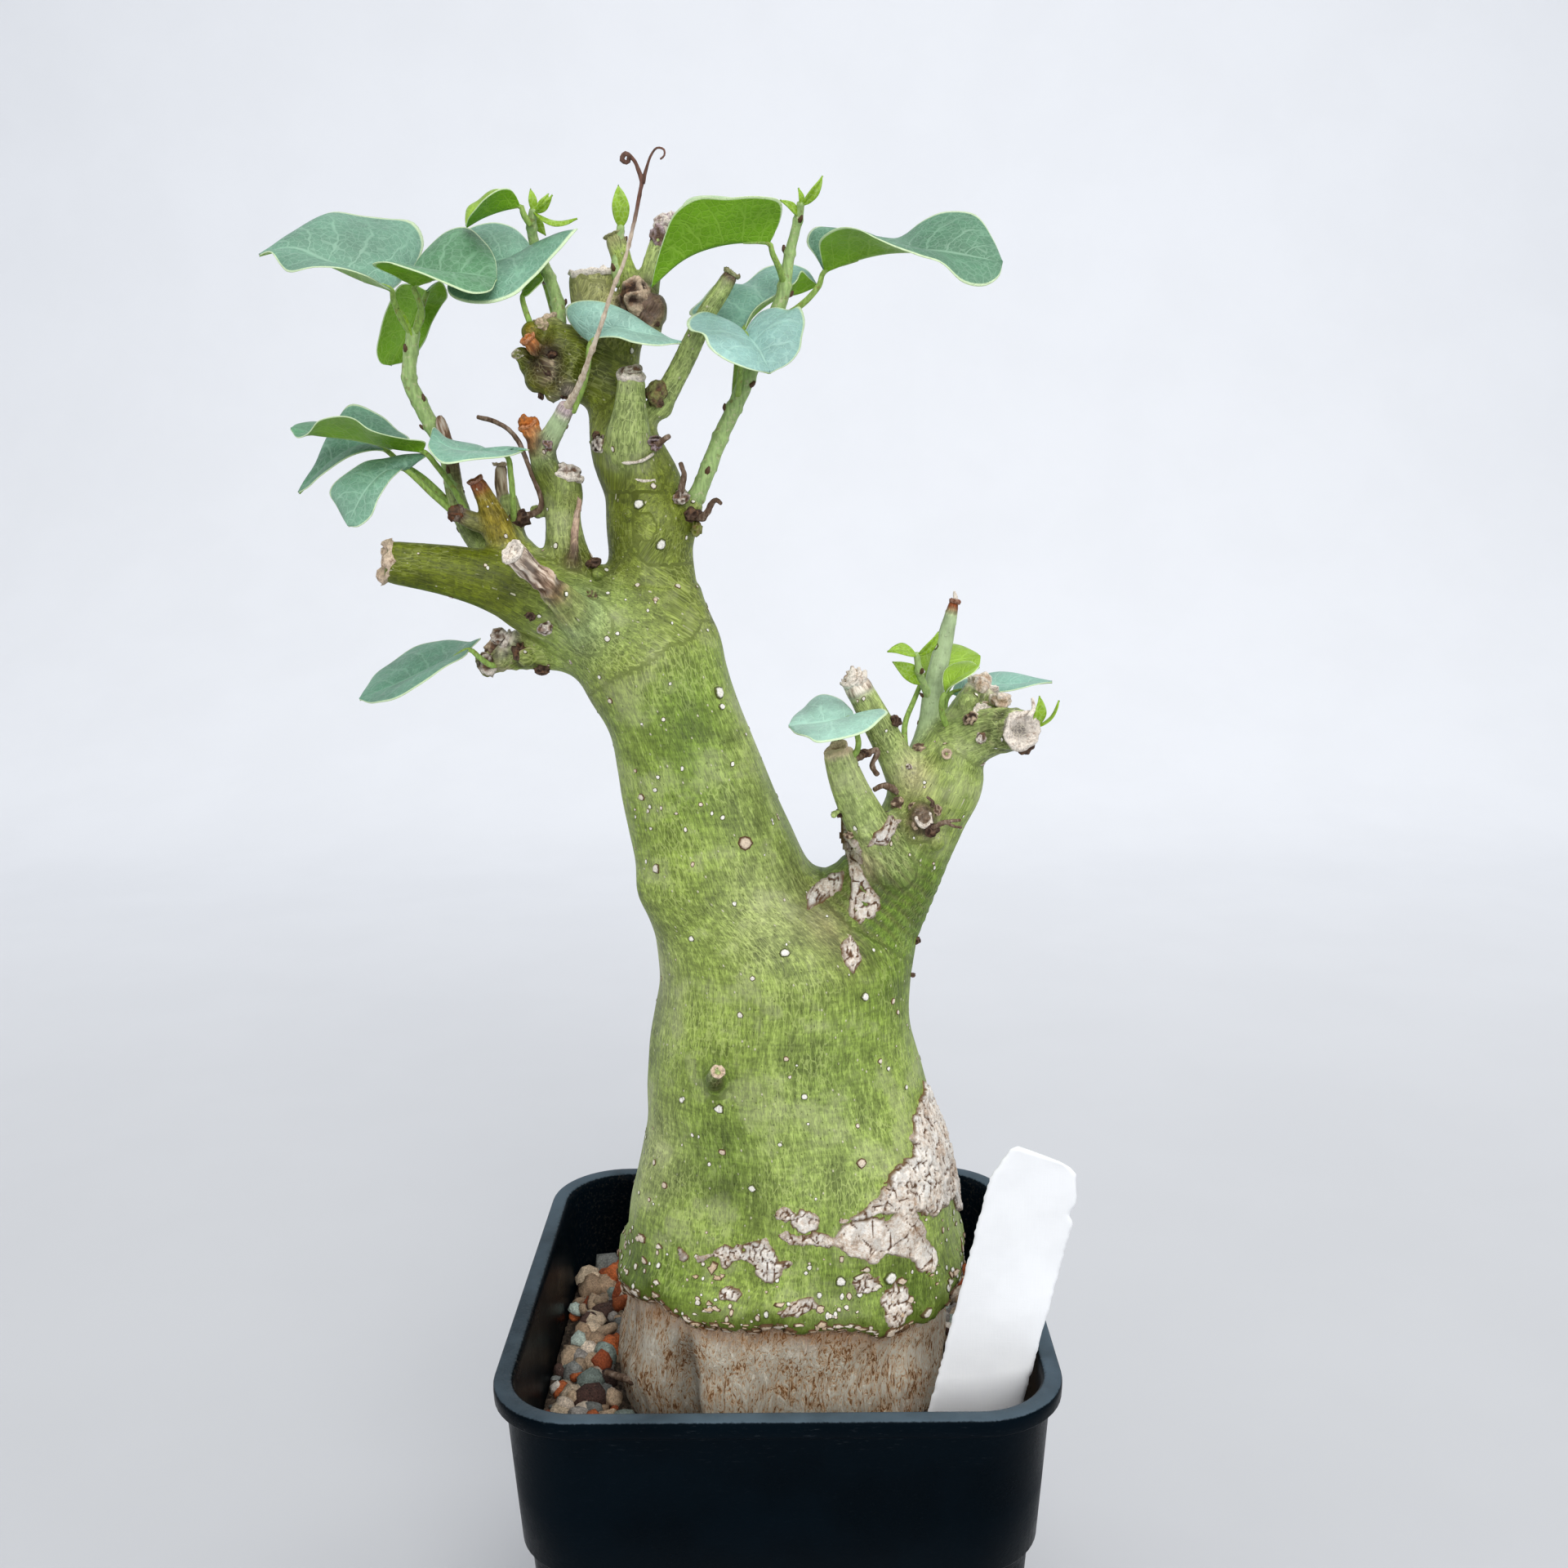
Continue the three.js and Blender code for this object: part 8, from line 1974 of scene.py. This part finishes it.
class PotSettings(bpy.types.PropertyGroup):
    rim: length_setting("Rim width", "Width of the pot across its rim", 0.1, 0.09, 0.103)
    colour: colour_setting("Plastic", "Colour of the pot's plastic", (0.0006, 0.0028, 0.0052))
    stone: length_setting("Stone size", "Usual width of a gravel stone", 0.0042, 0.002, 0.006)
    soil: colour_setting("Soil", "Colour of the soil between the stones", (0.075, 0.055, 0.04))
    tag_width: length_setting("Label width", "Width of the plant label", 0.0162, 0.012, 0.018)
    tag_thick: length_setting("Label thickness", "Thickness of the plant label", 0.0008, 0.0004, 0.0012)
    tag_colour: colour_setting("Label", "Colour of the label's plastic", (0.86, 0.88, 0.91))


class WoodSettings(bpy.types.PropertyGroup):
    foot: colour_setting("Foot", "Colour of the corky foot", (0.95, 0.68, 0.45))
    cork: colour_setting("Cork", "Colour of the cork plates", (0.8, 0.73, 0.65))


class LeafSettings(bpy.types.PropertyGroup):
    thick: length_setting("Leaf thickness", "Thickness of a leaf at its rib", 0.0005, 0.0003, 0.0008)
    upper: colour_setting("Upper face", "Colour of the leaves from above", (0.21, 0.42, 0.31))
    lower: colour_setting("Underside", "Colour of the leaves from below", (0.15, 0.33, 0.012))
    vein: colour_setting("Veins", "Colour of the veins on the upper face", (0.5, 0.7, 0.55))
    young: colour_setting("Young leaves", "Colour of the youngest leaves", (0.23, 0.39, 0.02))


class StageSettings(bpy.types.PropertyGroup):
    floor: colour_setting("Floor", "Colour of the floor and backdrop", (0.8, 0.82, 0.86))
    lamp: bpy.props.FloatProperty(name="Lamps", description="Power that the four soft lamps take a share of",
                                  default=12, min=0, subtype="POWER", unit="POWER")
    sky: bpy.props.FloatProperty(name="Sky", description="Strength of the even light around the plant",
                                 default=0.46, min=0, max=4)


class PlantSettings(bpy.types.PropertyGroup):
    pot: bpy.props.PointerProperty(type=PotSettings, name="Pot", description="Pot, gravel and label")
    wood: bpy.props.PointerProperty(type=WoodSettings, name="Wood", description="Trunk and limbs")
    leaf: bpy.props.PointerProperty(type=LeafSettings, name="Leaves", description="Leaves and shoots")
    stage: bpy.props.PointerProperty(type=StageSettings, name="Stage", description="Floor and light")


# Operators


class PLANT_OT_pot(bpy.types.Operator):
    """Make the square nursery pot"""

    bl_idname = "plant.pot"
    bl_label = "Pot"

    def execute(self, context):
        settings = context.scene.plant.pot
        shape = pot_shape(settings.rim / MM)
        make("nursery_pot", shape, pot_finish(settings.colour), ["pot"])
        return {"FINISHED"}


class PLANT_OT_grit(bpy.types.Operator):
    """Make the soil and the gravel on it"""

    bl_idname = "plant.grit"
    bl_label = "Gravel"

    def execute(self, context):
        settings = context.scene.plant.pot
        make("soil", soil_shape(), soil_finish(settings.soil), ["grit"])
        make("gravel_stones", pebbles(settings.stone / MM), stone_finish())
        return {"FINISHED"}


class PLANT_OT_label(bpy.types.Operator):
    """Make the bare plant label"""

    bl_idname = "plant.label"
    bl_label = "Label"

    def execute(self, context):
        settings = context.scene.plant.pot
        make("plant_label", label_shape(settings.tag_width / MM, settings.tag_thick / MM),
             label_finish(settings.tag_colour), ["label"])
        return {"FINISHED"}


class PLANT_OT_wood(bpy.types.Operator):
    """Make the trunk and its limbs as one skin"""

    bl_idname = "plant.wood"
    bl_label = "Trunk and limbs"

    def execute(self, context):
        shape = wood()[0]
        if len(shape.points) < 1000:
            raise RuntimeError("The wood's skin came out empty")
        make("woody_body", shape, bark_finish(context.scene.plant.wood.foot), ["caudex"])
        return {"FINISHED"}


class PLANT_OT_cork(bpy.types.Operator):
    """Make the cork plates, the warts and the cut ends"""

    bl_idname = "plant.cork"
    bl_label = "Cork, warts and cut ends"

    def execute(self, context):
        crusts = together([crust(*row, seed=30 + n * 7) for n, row in enumerate(CRUSTS)])
        make("cork_plates", crusts, cork_finish(context.scene.plant.wood.cork))
        make("warts", warts(), wart_finish())
        make("cut_ends", together([scars(), growths()]), scar_finish())
        return {"FINISHED"}


class PLANT_OT_leaves(bpy.types.Operator):
    """Make each leaf with its stalk"""

    bl_idname = "plant.leaves"
    bl_label = "Leaves"

    def execute(self, context):
        settings = context.scene.plant.leaf
        grown = leaf_finish("leaf", settings.upper, settings.lower, settings.vein)
        young = leaf_finish("young_leaf", settings.young, settings.lower, (0.42, 0.6, 0.16))
        for name in LEAVES:
            fresh = name in YOUNG_LEAVES
            make("blade_" + name, leaf_shape(name, settings.thick / MM), young if fresh else grown,
                 ["leaf_" + name])
        return {"FINISHED"}


class PLANT_OT_shoots(bpy.types.Operator):
    """Make the soft green shoots with their youngest leaves"""

    bl_idname = "plant.shoots"
    bl_label = "Shoots"

    def execute(self, context):
        material = stem_finish(context.scene.plant.leaf.young)
        for name in SHOOTS:
            make("stem_" + name[6:], shoot_shape(name), material, [name])
        return {"FINISHED"}


class PLANT_OT_twigs(bpy.types.Operator):
    """Make the dried flower stem, the hooked tendril and the dead curls"""

    bl_idname = "plant.twigs"
    bl_label = "Dried stem and tendrils"

    def execute(self, context):
        rings = [(at, 0.14, 0.4) for at in (4, 9, 15, 21, 27, 33)]
        stem = [tube(line, 10, 0.4, 0.18, n, () if n else rings) for n, line in enumerate(DRIED_STEM)]
        pale = twig_finish("dried_wood", (0.3, 0.21, 0.15), (0.56, 0.46, 0.35), (0.76, 0.68, 0.56), 290)
        make("flower_stem", together(stem), pale, ["dried_stem"])
        dark = twig_finish("dark_twig", (0.05, 0.026, 0.016), (0.14, 0.09, 0.06), (0.36, 0.28, 0.22))
        make("tendril", tube(HOOK, 10, 0.4, 0.2, 5), dark, ["hooked_tendril"])
        for name, lines, sides, pitch in (("dead_curls", CURLS, 8, 0.4), ("litter", LITTER, 7, 0.6)):
            twigs = together([tube(line, sides, pitch, 0.3, n) for n, line in enumerate(lines)])
            make(name, twigs, dark)
        return {"FINISHED"}


# Soft lamps: name, place, what it is aimed at, size, share of the power
LAMPS = [
    ("top_lamp", (0.1, -0.2, 1.3), (0, 0, 0.15), 0.8, 0.52),
    ("front_lamp", (0.3, -1.25, 0.72), (0, 0, 0.12), 0.7, 0.95),
    ("right_lamp", (0.85, 0.05, 1.1), (0, 0, 0.18), 0.6, 0.34),
    ("left_lamp", (-1.1, -0.1, 0.6), (0, 0, 0.15), 0.8, 0.28),
]


class PLANT_OT_stage(bpy.types.Operator):
    """Make the floor, the lights and the camera"""

    bl_idname = "plant.stage"
    bl_label = "Stage"

    def execute(self, context):
        settings = context.scene.plant.stage
        scene = context.scene
        turn = np.linspace(0, np.pi / 2, 24)
        sweep = np.column_stack([0.7 + 0.5 * np.sin(turn), 0.5 - 0.5 * np.cos(turn)])
        line = np.vstack([[[-1.6, 0]], sweep, [[1.2, 2.4]]])
        across = np.linspace(-2.2, 2.2, 9)
        points = np.stack([np.stack([across, 0 * across + y, 0 * across + z], axis=-1) for y, z in line])
        mesh = bpy.data.meshes.new("floor")
        mesh.from_pydata(points.reshape(-1, 3).tolist(), [], grid_quads(len(line), 9, False).tolist())
        mesh.shade_smooth()
        f = Finish("floor", Roughness=0.9, Specular_IOR_Level=0.2)
        split = f.add("SeparateXYZ", {0: f.place}).node
        away = f.plus(split.outputs[1], split.outputs[2])
        cloud = f.remap(f.noise(f.place, 0.012, 3), 0.3, 0.7, 0.99, 1.01)
        # Painted light: the sweep is darker on the floor towards the front and lighter up the backdrop,
        # standing in for the fall-off of the light
        painted_light_fade = f.times(f.remap(away, 50, 950, 0.66, 1.1), cloud)
        f.set("Base Color", f.tone(settings.floor, painted_light_fade))
        mesh.materials.append(f.material)
        floor = bpy.data.objects.new("floor", mesh)
        scene.collection.objects.link(floor)
        for name, place, target, size, share in LAMPS:
            lamp = bpy.data.lights.new(name, "AREA")
            lamp.shape = "SQUARE"
            lamp.size = size
            lamp.energy = settings.lamp * share
            lamp.color = (1.0, 0.985, 0.96)
            holder = bpy.data.objects.new(name, lamp)
            aim = Vector(np.array(place) - target).to_track_quat("Z", "Y")
            holder.matrix_world = Matrix.Translation(place) @ aim.to_matrix().to_4x4()
            scene.collection.objects.link(holder)
        world = bpy.data.worlds.new("soft_light")
        world.use_nodes = True
        light = world.node_tree.nodes["Background"]
        light.inputs[0].default_value = (0.93, 0.96, 1.0, 1)
        light.inputs[1].default_value = settings.sky
        scene.world = world
        scene.view_settings.view_transform = "Standard"
        lens = bpy.data.cameras.new("camera")
        lens.sensor_width = 36
        lens.lens = 36
        lens.clip_start = 0.01
        camera = bpy.data.objects.new("camera", lens)
        camera.matrix_world = camera_place()
        scene.collection.objects.link(camera)
        scene.camera = camera
        return {"FINISHED"}


CAMERA = (4.13, -287.06, 248.24)  # the camera's place, in millimetres
CAMERA_PITCH, CAMERA_YAW, CAMERA_ROLL = np.radians([10.73, -0.424, -0.614])


def camera_place():
    """The camera's matrix from its place, its pitch down, its yaw and its roll."""
    cp, sp = np.cos(CAMERA_PITCH), np.sin(CAMERA_PITCH)
    cy, sy = np.cos(CAMERA_YAW), np.sin(CAMERA_YAW)
    ahead = np.array([sy * cp, cy * cp, -sp])
    right = np.array([cy, -sy, 0])
    up = np.cross(right, ahead)
    c, s = np.cos(CAMERA_ROLL), np.sin(CAMERA_ROLL)
    columns = np.stack([right * c + up * s, up * c - right * s, -ahead, np.array(CAMERA) * MM], axis=1)
    return Matrix(np.vstack([columns, [0, 0, 0, 1]]).tolist())


STEPS = ("pot", "grit", "label", "wood", "cork", "leaves", "shoots", "twigs", "stage")


class PLANT_PT_sidebar(bpy.types.Panel):
    """Buttons and settings of the potted adenia"""

    bl_idname = "PLANT_PT_sidebar"
    bl_label = "Potted Adenia"
    bl_space_type = "VIEW_3D"
    bl_region_type = "UI"
    bl_category = "Plant"

    def draw(self, context):
        for step in STEPS:
            self.layout.operator("plant." + step)
        for group in (context.scene.plant.pot, context.scene.plant.wood, context.scene.plant.leaf,
                      context.scene.plant.stage):
            box = self.layout.box()
            for key in group.__annotations__:
                box.prop(group, key)


CLASSES = (
    PotSettings, WoodSettings, LeafSettings, StageSettings, PlantSettings, PLANT_OT_pot, PLANT_OT_grit,
    PLANT_OT_label, PLANT_OT_wood, PLANT_OT_cork, PLANT_OT_leaves, PLANT_OT_shoots, PLANT_OT_twigs,
    PLANT_OT_stage, PLANT_PT_sidebar,
)


def register():
    for item in CLASSES:
        bpy.utils.register_class(item)
    bpy.types.Scene.plant = bpy.props.PointerProperty(type=PlantSettings)


def unregister():
    del bpy.types.Scene.plant
    for item in reversed(CLASSES):
        bpy.utils.unregister_class(item)


def main():
    register()
    for step in STEPS:
        getattr(bpy.ops.plant, step)()


if __name__ == "__main__":
    main()
